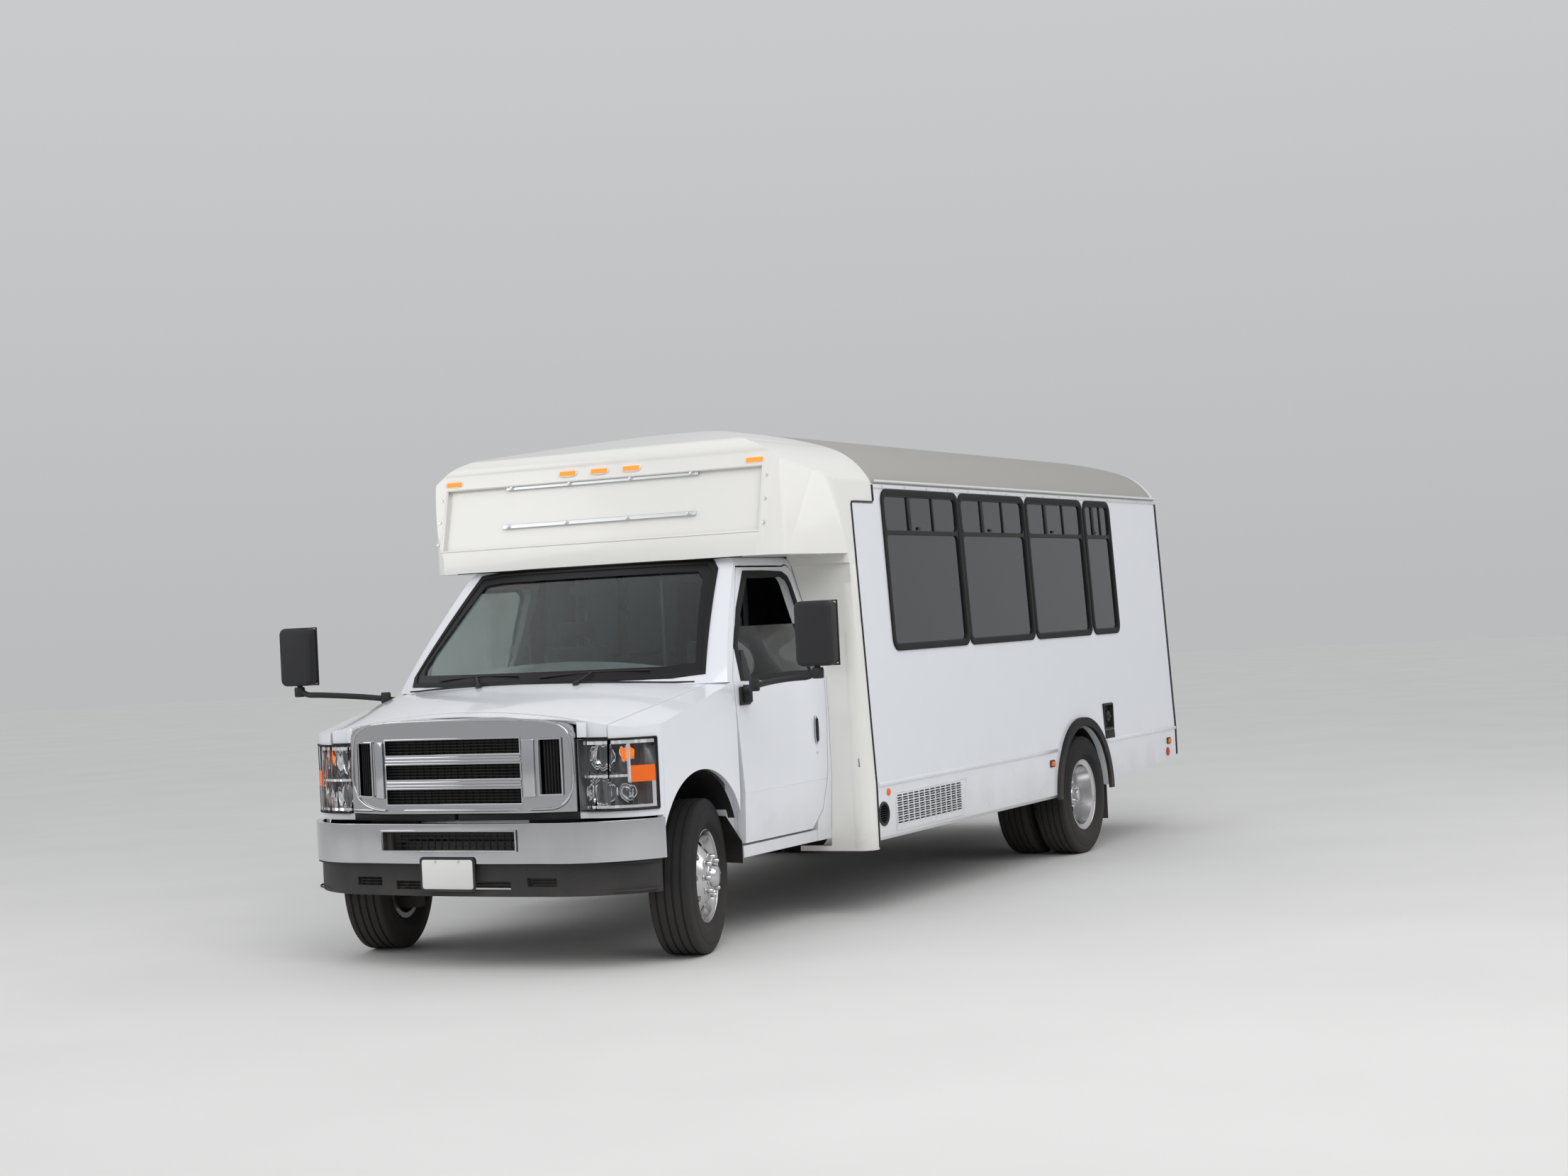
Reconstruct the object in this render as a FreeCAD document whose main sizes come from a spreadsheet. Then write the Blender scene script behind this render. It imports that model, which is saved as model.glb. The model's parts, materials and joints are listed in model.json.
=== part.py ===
import FreeCAD, Part
import math
import os
import re
from types import SimpleNamespace

import Sketcher
from FreeCAD import Placement, Rotation, Vector

# A small shuttle bus: a van's cab on a ladder frame with a wider passenger body behind it.
# Millimetres and degrees. X points forward, Y to the vehicle's left and Z up.
# Pieces are drawn from the middle of the front axle at ground level (x = 0) and then moved
# forward by axle_forward, which puts the frame's origin under the middle of the vehicle.

SIZES = (
    # name, value, what it sets
    ("axle_forward", 2865, "front axle ahead of the middle of the vehicle"),
    ("wheelbase", 4470, "front axle to rear axle"),
    ("gap", 9, "running gap round a door or lid"),
    ("seat", 0.3, "between a moving piece and what it rests on"),
    ("clearance", 5.5, "least way between a moving piece and a fixed one"),
    ("seam", 4, "visible seam between fixed panels"),
    # wheels
    ("front_half_track", 881, "middle of the vehicle to the middle of a front tyre"),
    ("outer_half_track", 1112, "middle of the vehicle to the middle of an outer rear tyre"),
    ("dual_spacing", 262, "between the middles of twin tyres"),
    ("tyre_radius", 372, "tyre"),
    ("tyre_width", 225, "tyre"),
    ("tread_width", 186, "flat of the tread"),
    ("rim_radius", 203, "bead seat of a rim"),
    ("flange_radius", 221, "flange of a rim"),
    ("rim_width", 176, "over the flanges of a rim"),
    ("rim_wall", 9, "sheet of a rim"),
    ("hub_radius", 72, "hub cap"),
    ("hole_ring", 148, "circle of the rim's hand holes"),
    ("hole_radius", 20, "hand hole"),
    ("hole_count", 8, "hand holes in a rim"),
    ("dish_depth", 118, "how far a rear rim's disc lies inside its flange"),
    ("front_bulge", 22, "how far a front hub stands out of its flange"),
    ("kingpin_half_track", 800, "middle of the vehicle to a kingpin"),
    ("kingpin_radius", 19, "kingpin"),
    ("steer_angle", 15, "front wheels turned to the left as they stand"),
    # chassis
    ("rail_half_track", 430, "middle of the vehicle to the web of a frame rail"),
    ("rail_height", 175, "frame rail"),
    ("rail_flange", 70, "frame rail"),
    ("rail_wall", 9, "frame rail"),
    ("rail_top", 605, "frame rail's upper face above the ground"),
    ("rail_front", 600, "rails' front ends"),
    ("rail_rear", -6230, "rails' rear ends"),
    ("axle_tube_radius", 52, "rear axle tube"),
    ("diff_radius", 165, "rear axle housing"),
    ("spring_width", 70, "leaf spring"),
    ("spring_half_track", 520, "middle of the vehicle to a leaf spring"),
    ("shaft_radius", 40, "propeller shaft"),
    ("engine_length", 640, "engine"),
    ("engine_width", 560, "engine"),
    ("engine_height", 600, "engine"),
    ("engine_foot", 440, "engine's lowest face"),
    ("tank_behind", 490, "fuel tank behind the rear axle"),
    ("tank_length", 900, "fuel tank"),
    ("tank_width", 700, "fuel tank"),
    ("tank_height", 260, "fuel tank"),
    ("pipe_radius", 35, "exhaust pipe"),
    ("silencer_radius", 95, "exhaust silencer"),
    # cab
    ("cab_wall", 45, "cab doors and pillars"),
    ("panel", 25, "hood and fenders"),
    ("cab_half_width", 1005, "widest, at the crease"),
    ("cab_sill_half", 985, "at the sill"),
    ("cab_belt_half", 1000, "at the window sills"),
    ("cab_roof_half", 823, "at the roof edge"),
    ("sill_height", 478, "top of the sill under the doors"),
    ("crease_low", 740, "lower edge of the widest band"),
    ("crease_high", 1050, "upper edge of the widest band"),
    ("cab_belt", 1270, "window sills"),
    ("roof_edge", 1860, "top of the door openings"),
    ("cab_roof", 1915, "cab's roof, where the cap sits on it"),
    ("cab_rear", -1335, "rear of the cab"),
    ("cab_floor", 640, "cab floor above the ground"),
    ("toe_board", -440, "front of the cab's flat floor"),
    ("firewall", -330, "front of the firewall"),
    ("screen_foot", 1290, "windscreen surface's lowest height"),
    ("screen_foot_front", 58, "foot of the windscreen at its middle"),
    ("screen_foot_sweep", 393, "how far the foot curves back at the cab's sides"),
    ("screen_head_front", -731, "head of the windscreen at its middle"),
    ("screen_head_sweep", 59, "how far the head curves back at the cab's sides"),
    ("screen_low", 1338, "windscreen opening"),
    ("screen_high", 1893, "windscreen opening"),
    ("screen_low_half", 880, "windscreen opening"),
    ("screen_high_half", 715, "windscreen opening"),
    ("glass", 6, "glass panes"),
    ("glass_inset", 8, "glass panes below the outer skin"),
    ("door_seam", -345, "front edge of a cab door at the belt"),
    ("hinge_out", 6, "cab door's axis outside its skin"),
    # nose
    ("hood_rise", 0.23, "slope of the hood"),
    ("hood_crown", 100, "fall of the hood's surface at its rear corners"),
    ("hood_height", 1175, "hood's surface carried on to nose_reach"),
    ("nose_reach", 700, "where the hood's section is drawn"),
    ("hood_front", 528, "hood's front edge"),
    ("hood_front_half", 800, "hood's front corners"),
    ("hood_rear", 75, "hood's rear edge at its middle"),
    ("hood_rear_corner", -215, "hood's rear corners"),
    ("hood_rear_half", 905, "hood's rear corners"),
    ("nose_front", 648, "front of the nose at its middle"),
    ("nose_corner", 545, "nose beside the grille"),
    ("nose_corner_half", 700, "nose beside the grille"),
    ("arch_middle", 15, "front wheel arch"),
    ("arch_height", 500, "front wheel arch"),
    ("arch_radius", 388, "front wheel arch"),
    ("lamp_low", 737, "headlamps"),
    ("lamp_high", 1073, "headlamps"),
    ("grille_half", 650, "grille surround"),
    ("grille_low", 740, "grille surround"),
    ("grille_high", 1190, "grille surround"),
    ("grille_front", 642, "face of the grille at its middle"),
    ("grille_corner", 577, "face of the grille at its outer edges"),
    ("grille_depth", 42, "grille surround"),
    ("opening_half", 390, "middle openings of the grille"),
    ("opening_low", 785, "middle openings of the grille"),
    ("opening_high", 1092, "middle openings of the grille"),
    ("grille_bar", 45, "height of a grille bar"),
    ("bumper_front", 715, "front bumper's face"),
    ("bumper_end", 397, "front bumper's ends"),
    ("bumper_half", 1015, "front bumper's ends"),
    ("bumper_low", 509, "front bumper"),
    ("bumper_high", 698, "front bumper"),
    ("bumper_wall", 30, "front bumper"),
    ("slot_half", 385, "slot in the front bumper"),
    ("slot_low", 571, "slot in the front bumper"),
    ("slot_high", 662, "slot in the front bumper"),
    ("plate_hole_spacing", 178, "between the number plate's two holes"),
    ("plate_hole_height", 530, "number plate's holes above the ground"),
    ("plate_hole_radius", 3.5, "number plate's holes"),
    ("valance_low", 354, "valance under the bumper"),
    ("valance_back", 22, "valance behind the bumper's face"),
    # coach body
    ("body_wall", 45, "coach walls and roof"),
    ("body_half", 1223, "coach at the belt and below"),
    ("body_belt", 686, "belt seam"),
    ("eaves", 2295, "foot of the roof"),
    ("eaves_half", 1148, "foot of the roof"),
    ("shoulder", 2505, "where the roof's shoulder meets its crown"),
    ("shoulder_half", 900, "where the roof's shoulder meets its crown"),
    ("roof_top", 2650, "crown of the roof"),
    ("cap_seam", -1423, "front edge of the side walls"),
    ("cap_step", 2187, "where the cap's seam steps back"),
    ("cap_rear", -1690, "rear edge of the cap's upper part"),
    ("body_rear", -6290, "rear face of the coach"),
    ("skirt_front", 392, "bottom of the side walls at the front"),
    ("skirt_rear", 493, "bottom of the side walls at the rear"),
    ("floor_low", 790, "coach floor"),
    ("floor_high", 835, "coach floor"),
    ("arch_lead", 14, "rear wheel arch ahead of the rear axle"),
    ("rear_arch_height", 380, "rear wheel arch"),
    ("rear_arch_radius", 435, "rear wheel arch"),
    ("flare_band", 50, "rubber flare round a rear arch"),
    ("flare_out", 22, "how far a flare stands out"),
    ("cap_wall", 40, "moulded cap"),
    ("cap_lip", -690, "cap's leading edge"),
    ("cap_head", -795, "cap's front face at its top"),
    ("cap_corner_half", 930, "cap's front corners"),
    ("panel_low", 2035, "recessed panel of the cap"),
    ("panel_high", 2376, "recessed panel of the cap"),
    ("panel_half", 985, "recessed panel of the cap"),
    ("panel_depth", 25, "recessed panel of the cap"),
    ("window_low", 1390, "side windows"),
    ("window_high", 2257, "side windows"),
    ("window_corner", 60, "side windows' corner radius"),
    ("frame_width", 32, "window frames"),
    ("frame_proud", 6, "window frames"),
    ("transom", 2028, "bar across a side window"),
    ("entry_front", -1500, "entry doorway's front jamb"),
    ("entry_width", 760, "entry doorway"),
    ("entry_low", 392, "entry doorway"),
    ("entry_high", 2170, "entry doorway"),
    ("leaf_thick", 32, "entry door leaf"),
    ("leaf_gap", 12, "between the two leaves"),
    ("step_depth", 270, "a tread of the step well"),
    ("rear_door_half", 430, "rear door"),
    ("rear_door_low", 850, "rear door"),
    ("rear_door_high", 2200, "rear door"),
    ("step_bumper_reach", 155, "rear bumper behind the coach"),
    ("step_bumper_half", 1150, "rear bumper"),
    ("step_bumper_low", 470, "rear bumper"),
    ("step_bumper_high", 600, "rear bumper"),
)

doc = FreeCAD.newDocument("Minibus")
sheet = doc.addObject("Spreadsheet::Sheet", "Sizes")
for line, (name, value, note) in enumerate(SIZES, start=1):
    sheet.set("A%d" % line, name)
    sheet.set("B%d" % line, str(value))
    sheet.set("C%d" % line, note)
    sheet.setAlias("B%d" % line, name)
doc.recompute()
d = SimpleNamespace(**{name: float(getattr(sheet, name)) for name, value, note in SIZES})

SUBPARTS = []
LARGE = 9000.0


# Helpers for parametric bodies

def cells(text):
    """A formula in plain size names becomes one that reads the sheet's cells."""
    return re.sub(r"[a-z][a-z_]+", lambda found: "Sizes." + found.group(0), str(text))


def body(name, at=("0", "0", "0"), turn=0.0):
    """An empty body, at a place counted from the front axle, turned about the vertical."""
    part = doc.addObject("PartDesign::Body", name)
    part.Label = name
    part.Placement = Placement(Vector(), Rotation(Vector(0, 0, 1), turn))
    part.setExpression("Placement.Base.x", cells("axle_forward + " + at[0]))
    part.setExpression("Placement.Base.y", cells(at[1]))
    part.setExpression("Placement.Base.z", cells(at[2]))
    SUBPARTS.append(part)
    return part


def origin(part, role):
    return [item for item in part.Origin.OriginFeatures if item.Role == role][0]


def sketch(part, role, shift="0"):
    """A sketch on one of the body's own planes, moved along the plane's normal."""
    drawing = part.newObject("Sketcher::SketchObject", "Sketch")
    drawing.AttachmentSupport = (origin(part, role), [""])
    drawing.MapMode = "FlatFace"
    drawing.setExpression("AttachmentOffset.Base.z", cells(shift))
    return drawing


def polygon(drawing, corners):
    """Straight lines round a list of corners, each held by two formulas."""
    first = drawing.GeometryCount
    count = len(corners)
    start = [Vector(100 * math.cos(2 * math.pi * i / count), 100 * math.sin(2 * math.pi * i / count), 0)
             for i in range(count)]
    for i in range(count):
        drawing.addGeometry(Part.LineSegment(start[i], start[(i + 1) % count]), False)
    for i in range(count):
        drawing.addConstraint(Sketcher.Constraint("Coincident", first + i, 2, first + (i + 1) % count, 1))
    for i, (across, up) in enumerate(corners):
        place(drawing, first + i, 1, start[i], across, up)


def circle(drawing, across, up, radius):
    """A circle whose middle and radius are formulas."""
    index = drawing.addGeometry(Part.Circle(Vector(50, 50, 0), Vector(0, 0, 1), 20), False)
    place(drawing, index, 3, Vector(50, 50, 0), across, up)
    size = drawing.addConstraint(Sketcher.Constraint("Radius", index, 20))
    drawing.setExpression("Constraints[%d]" % size, cells(radius))


def place(drawing, index, end, start, across, up):
    """Hold one point of a sketch by its two distances from the sketch's origin."""
    for kind, value, formula in (("DistanceX", start.x, across), ("DistanceY", start.y, up)):
        held = drawing.addConstraint(Sketcher.Constraint(kind, -1, 1, index, end, value))
        drawing.setExpression("Constraints[%d]" % held, cells(formula))


def rectangle(drawing, left, right, low, high):
    polygon(drawing, [(left, low), (right, low), (right, high), (left, high)])


def pad(part, drawing, length):
    added = part.newObject("PartDesign::Pad", "Pad")
    added.Profile = drawing
    added.setExpression("Length", cells(length))
    return added


def pocket(part, drawing, depth):
    removed = part.newObject("PartDesign::Pocket", "Pocket")
    removed.Profile = drawing
    removed.setExpression("Length", cells(depth))
    return removed


def revolution(part, drawing):
    """Turn a profile about the body's Y axis, which is the sketch's horizontal one."""
    turned = part.newObject("PartDesign::Revolution", "Revolution")
    turned.Profile = drawing
    turned.ReferenceAxis = (drawing, ["H_Axis"])
    turned.Angle = 360.0
    return turned


def round_pattern(part, original, count):
    ring = part.newObject("PartDesign::PolarPattern", "Pattern")
    ring.Originals = [original]
    ring.Axis = (origin(part, "Y_Axis"), [""])
    ring.Angle = 360.0
    ring.setExpression("Occurrences", cells(count))
    part.Tip = ring


def mirror_pattern(part, originals):
    part.AllowCompound = True
    pair = part.newObject("PartDesign::Mirrored", "Mirrored")
    pair.Originals = originals
    pair.MirrorPlane = (origin(part, "XZ_Plane"), [""])
    part.Tip = pair


# Helpers for panels cut from curved shells

def spot(plane, across, up, depth):
    if plane == "xz":
        return Vector(across, depth, up)
    if plane == "yz":
        return Vector(depth, across, up)
    return Vector(across, up, depth)


def face(plane, depth, items):
    """A flat face. An item is a corner, or an arc given by its middle and its end."""
    first = spot(plane, items[0][0], items[0][1], depth)
    here = first
    edges = []
    for item in items[1:]:
        end = spot(plane, item[-2], item[-1], depth)
        if len(item) == 4:
            edges.append(Part.Arc(here, spot(plane, item[0], item[1], depth), end).toShape())
        elif here.distanceToPoint(end) > 0.001:
            edges.append(Part.makeLine(here, end))
        here = end
    if here.distanceToPoint(first) > 0.001:
        edges.append(Part.makeLine(here, first))
    return Part.Face(Part.Wire(edges))


def prism(plane, low, high, items, grow=0.0):
    """A solid between two depths, whose outline may be grown or shrunk all round."""
    flat = face(plane, low, items)
    if grow:
        flat = flat.makeOffset2D(grow, 2)
    return flat.extrude(spot(plane, 0, 0, high - low))


def box(x0, x1, y0, y1, z0, z1):
    return Part.makeBox(x1 - x0, y1 - y0, z1 - z0, Vector(x0, y0, z0))


def both_sides(shape):
    """The shape with its mirror image on the vehicle's other side."""
    return Part.makeCompound([shape, other_side(shape)])


def other_side(shape):
    return shape.mirror(Vector(0, 0, 0), Vector(0, 1, 0))


def rounded(plane, left, right, low, high, radius):
    """The outline of a rectangle with round corners."""
    k = radius * (1 - math.sqrt(0.5))
    return [(left + radius, low), (right - radius, low), (right - k, low + k, right, low + radius),
            (right, high - radius), (right - k, high - k, right - radius, high),
            (left + radius, high), (left + k, high - k, left, high - radius),
            (left, low + radius), (left + k, low + k, left + radius, low)]


def tube(points, radius):
    """A round bar or pipe through a few points, with a ball at each bend."""
    shapes = []
    for a, b in zip(points, points[1:]):
        run = Vector(*b) - Vector(*a)
        shapes.append(Part.makeCylinder(radius, run.Length, Vector(*a), run))
    for bend in points[1:-1]:
        shapes.append(Part.makeSphere(radius, Vector(*bend)))
    return shapes[0].multiFuse(shapes[1:]) if len(shapes) > 1 else shapes[0]


def feature(name, shape, at=None):
    """A sub-part whose shape was worked out above, counted from the front axle."""
    part = doc.addObject("Part::Feature", name)
    part.Label = name
    part.Shape = shape
    part.Placement = at or Placement(Vector(d.axle_forward, 0, 0), Rotation())
    SUBPARTS.append(part)
    return part


# Forms that several panels share

def cab_section(inset, x0, x1):
    """The cab seen from the front, from below the sill to the roof."""
    edge = d.cab_roof_half - inset
    roof = d.cab_roof - inset
    half = [(d.cab_sill_half - inset, d.sill_height - 100), (d.cab_half_width - inset, d.crease_low),
            (d.cab_half_width - inset, d.crease_high), (d.cab_belt_half - inset, d.cab_belt),
            (edge, d.roof_edge - inset)]
    middle = (edge - 26, roof - 12)
    flat = (edge - 96, roof)
    items = [(-y, z) for y, z in half]
    items += [(-middle[0], middle[1], -flat[0], flat[1]), flat, middle + half[-1]]
    items += list(reversed(half))[1:]
    return prism("yz", x0, x1, items)


def screen_form(inset):
    """Everything behind the windscreen's surface, which is ruled between two arcs."""
    wires = []
    back = inset * 1.4
    for height, front, sweep in ((d.screen_foot, d.screen_foot_front, d.screen_foot_sweep),
                                 (d.cab_roof + 15, d.screen_head_front, d.screen_head_sweep)):
        wide = d.cab_half_width + 45
        corner = front - sweep - back
        items = [(-LARGE, -wide), (corner, -wide), (front - back, 0, corner, wide), (-LARGE, wide)]
        wires.append(face("xy", height, items).OuterWire)
    return Part.makeLoft(wires, True, True)


def hood_form(inset):
    """Everything under the hood's crowned and sloping surface."""
    edge = d.cab_half_width + 95
    fall = d.hood_crown * (edge / d.hood_rear_half) ** 2
    top = d.hood_height - inset
    items = [(-edge, 200), (-edge, top - fall), (0, top, edge, top - fall), (edge, 200)]
    run = 1150.0
    return face("yz", d.nose_reach, items).extrude(Vector(-run, 0, run * d.hood_rise))


def nose_form(inset):
    """The nose seen from above: flat across, round at its corners."""
    side = d.cab_half_width + 75
    start = d.cab_half_width - 5 - inset
    turn = 372 - inset / 2
    corner = (d.nose_corner - inset * 0.9, d.nose_corner_half - inset * 0.3)
    middle = (470 - inset * 0.75, start - 75)
    items = [(-400, -side), (turn - 40, -side), (turn, -start),
             (middle[0], -middle[1], corner[0], -corner[1]),
             (d.nose_front - inset, 0) + corner, middle + (turn, start), (turn - 40, side), (-400, side)]
    return prism("xy", 200, 1600, items)


def nose(inset):
    shell = cab_section(inset, -400, d.nose_reach)
    return shell.common(nose_form(inset)).common(hood_form(inset))


def coach(inset, x0, x1):
    """The coach between two stations, from under its skirt to its crown."""
    low = d.skirt_front - 120
    eaves_half = d.eaves_half - inset
    shoulder = (d.shoulder_half - 0.31 * inset, d.shoulder - 0.95 * inset)
    run = eaves_half - shoulder[0]
    middle = (eaves_half - run * 0.414, d.eaves + (shoulder[1] - d.eaves) * 0.614)
    half = [(d.body_half - inset, low), (d.body_half - inset, d.body_belt), (eaves_half, d.eaves)]
    items = [(-y, z) for y, z in half]
    items.append((-middle[0], middle[1], -shoulder[0], shoulder[1]))
    items.append((0, d.roof_top - inset) + shoulder)
    items.append(middle + half[-1])
    items += list(reversed(half))[1:]
    return prism("yz", x0, x1, items)


# Wheels

HALF_TYRE = (("rim_width / 2 - 21", "rim_radius + seat"), ("rim_width / 2 - 9", "flange_radius + seat"),
             ("tyre_width / 2", "rim_radius + 55"), ("tyre_width / 2 - 2", "rim_radius + 110"),
             ("tread_width / 2 + 8", "tyre_radius - 12"), ("tread_width / 2", "tyre_radius"))
TYRE = HALF_TYRE + tuple(("-(%s)" % across, up) for across, up in reversed(HALF_TYRE))


def tyre(name, at, turn):
    """A tyre lying about its own Y axis."""
    part = body(name, at, turn)
    profile = sketch(part, "YZ_Plane")
    polygon(profile, TYRE)
    revolution(part, profile)
    return part


def front_rim(name, at, turn):
    """A front rim: a drop-centre barrel and a disc that bulges out past the flange."""
    part = body(name, at, turn)
    profile = sketch(part, "YZ_Plane")
    polygon(profile, [
        ("rim_width / 2 + front_bulge", "0"), ("rim_width / 2 + front_bulge", "hub_radius"),
        ("rim_width / 2 + front_bulge - 14", "hub_radius + 36"), ("rim_width / 2 - 44", "rim_radius - 22"),
        ("rim_width / 2 - 6", "rim_radius - 8"), ("rim_width / 2", "flange_radius"),
        ("rim_width / 2 - 8", "flange_radius"), ("rim_width / 2 - 20", "rim_radius"),
        ("-rim_width / 2 + 8", "rim_radius"), ("-rim_width / 2 + 8", "flange_radius"),
        ("-rim_width / 2", "flange_radius"), ("-rim_width / 2", "rim_radius - rim_wall"),
        ("rim_width / 2 - 58", "rim_radius - 28"), ("rim_width / 2 + front_bulge - 30", "hub_radius + 30"),
        ("rim_width / 2 + front_bulge - 30", "0")])
    revolution(part, profile)
    hand_holes(part)
    return part


def rear_rims(name, at, turn):
    """A pair of rear rims, back to back, bolted to one hub: one deep dish shows outside."""
    part = body(name, at, turn)
    profile = sketch(part, "YZ_Plane")
    polygon(profile, [
        ("rim_width / 2 - dish_depth + 30", "0"), ("rim_width / 2 - dish_depth + 30", "hub_radius"),
        ("rim_width / 2 - dish_depth", "hub_radius + 12"), ("rim_width / 2 - dish_depth", "rim_radius - 34"),
        ("rim_width / 2 - 12", "rim_radius - 12"), ("rim_width / 2", "flange_radius"),
        ("rim_width / 2 - 8", "flange_radius"), ("rim_width / 2 - 20", "rim_radius"),
        ("-rim_width / 2 + 8", "rim_radius"), ("-rim_width / 2 + 8", "flange_radius"),
        ("-rim_width / 2", "flange_radius"), ("-rim_width / 2", "rim_radius - rim_wall"),
        ("rim_width / 2 - dish_depth - 14", "rim_radius - 20"),
        ("rim_width / 2 - dish_depth - 14", "hub_radius + 50"),
        ("-dual_spacing + rim_width / 2 - 20", "hub_radius + 50"),
        ("-dual_spacing + rim_width / 2 - 20", "rim_radius - rim_wall"),
        ("-dual_spacing + rim_width / 2", "rim_radius - rim_wall"),
        ("-dual_spacing + rim_width / 2", "flange_radius"),
        ("-dual_spacing + rim_width / 2 - 8", "flange_radius"),
        ("-dual_spacing + rim_width / 2 - 8", "rim_radius"),
        ("-dual_spacing - rim_width / 2 + 8", "rim_radius"),
        ("-dual_spacing - rim_width / 2 + 8", "flange_radius"),
        ("-dual_spacing - rim_width / 2", "flange_radius"),
        ("-dual_spacing - rim_width / 2", "rim_radius - rim_wall"),
        ("-dual_spacing + rim_width / 2 - 40", "rim_radius - rim_wall - 6"),
        ("-dual_spacing + rim_width / 2 - 40", "0")])
    revolution(part, profile)
    hand_holes(part)
    return part


def hand_holes(part):
    """A ring of round holes through the disc."""
    drawing = sketch(part, "XZ_Plane", "-rim_width / 2 - front_bulge - 5")
    circle(drawing, "hole_ring", "0", "hole_radius")
    first = pocket(part, drawing, "dish_depth + front_bulge + 50")
    first.Reversed = True
    round_pattern(part, first, "hole_count")


def steered(side, reach):
    """The placement of a piece that lies outboard of a kingpin, turned with the front wheels."""
    turn = math.radians(d.steer_angle)
    forward = -side * reach * math.sin(turn)
    across = side * (d.kingpin_half_track + reach * math.cos(turn))
    return Placement(Vector(d.axle_forward + forward, across, d.tyre_radius),
                     Rotation(Vector(0, 0, 1), d.steer_angle + (0 if side > 0 else 180)))


def build_wheels():
    reach = d.front_half_track - d.kingpin_half_track
    for side, word in ((1, "left"), (-1, "right")):
        for make, kind in ((tyre, "front_tyre_"), (front_rim, "front_rim_")):
            part = make(kind + word, ("0", "0", "tyre_radius"), 0)
            part.setExpression("Placement.Base.x", None)
            part.setExpression("Placement.Base.y", None)
            part.Placement = steered(side, reach)
        turn = 0 if side > 0 else 180
        sign = "" if side > 0 else "-"
        rear_rims("rear_rims_" + word, ("-wheelbase", sign + "outer_half_track", "tyre_radius"), turn)
        twin_tyres("rear_tyres_" + word, ("-wheelbase", sign + "outer_half_track", "tyre_radius"), turn)
        knuckle("knuckle_" + word, side)


def twin_tyres(name, at, turn):
    """Two tyres side by side on one hub."""
    part = body(name, at, turn)
    part.AllowCompound = True
    profile = sketch(part, "YZ_Plane")
    polygon(profile, TYRE)
    polygon(profile, [("%s - dual_spacing" % across, up) for across, up in TYRE])
    revolution(part, profile)
    return part


def knuckle(name, side):
    """A steering knuckle: its kingpin boss, the spindle out to the hub and the steering arm."""
    part = body(name, ("0", "0", "tyre_radius"))
    boss = sketch(part, "XY_Plane", "-105")
    circle(boss, "0", "0", "kingpin_radius + 26")
    pad(part, boss, "210")
    reach = "(front_half_track - kingpin_half_track + rim_width / 2 + front_bulge - 30 - seat)"
    spindle = sketch(part, "XZ_Plane", "-" + reach)
    circle(spindle, "0", "0", "44")
    pad(part, spindle, reach)
    arm = sketch(part, "XY_Plane", "-70")
    back = "-" if side > 0 else ""
    polygon(arm, [(back + "20", "-15"), (back + "150", "-22"), (back + "156", "10"), (back + "20", "25")])
    pad(part, arm, "28")
    bore = sketch(part, "XY_Plane", "110")
    circle(bore, "0", "0", "kingpin_radius + seat")
    pocket(part, bore, "220")
    part.setExpression("Placement.Base.x", None)
    part.setExpression("Placement.Base.y", None)
    part.Placement = steered(side, 0.0)
    return part


# Chassis

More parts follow.
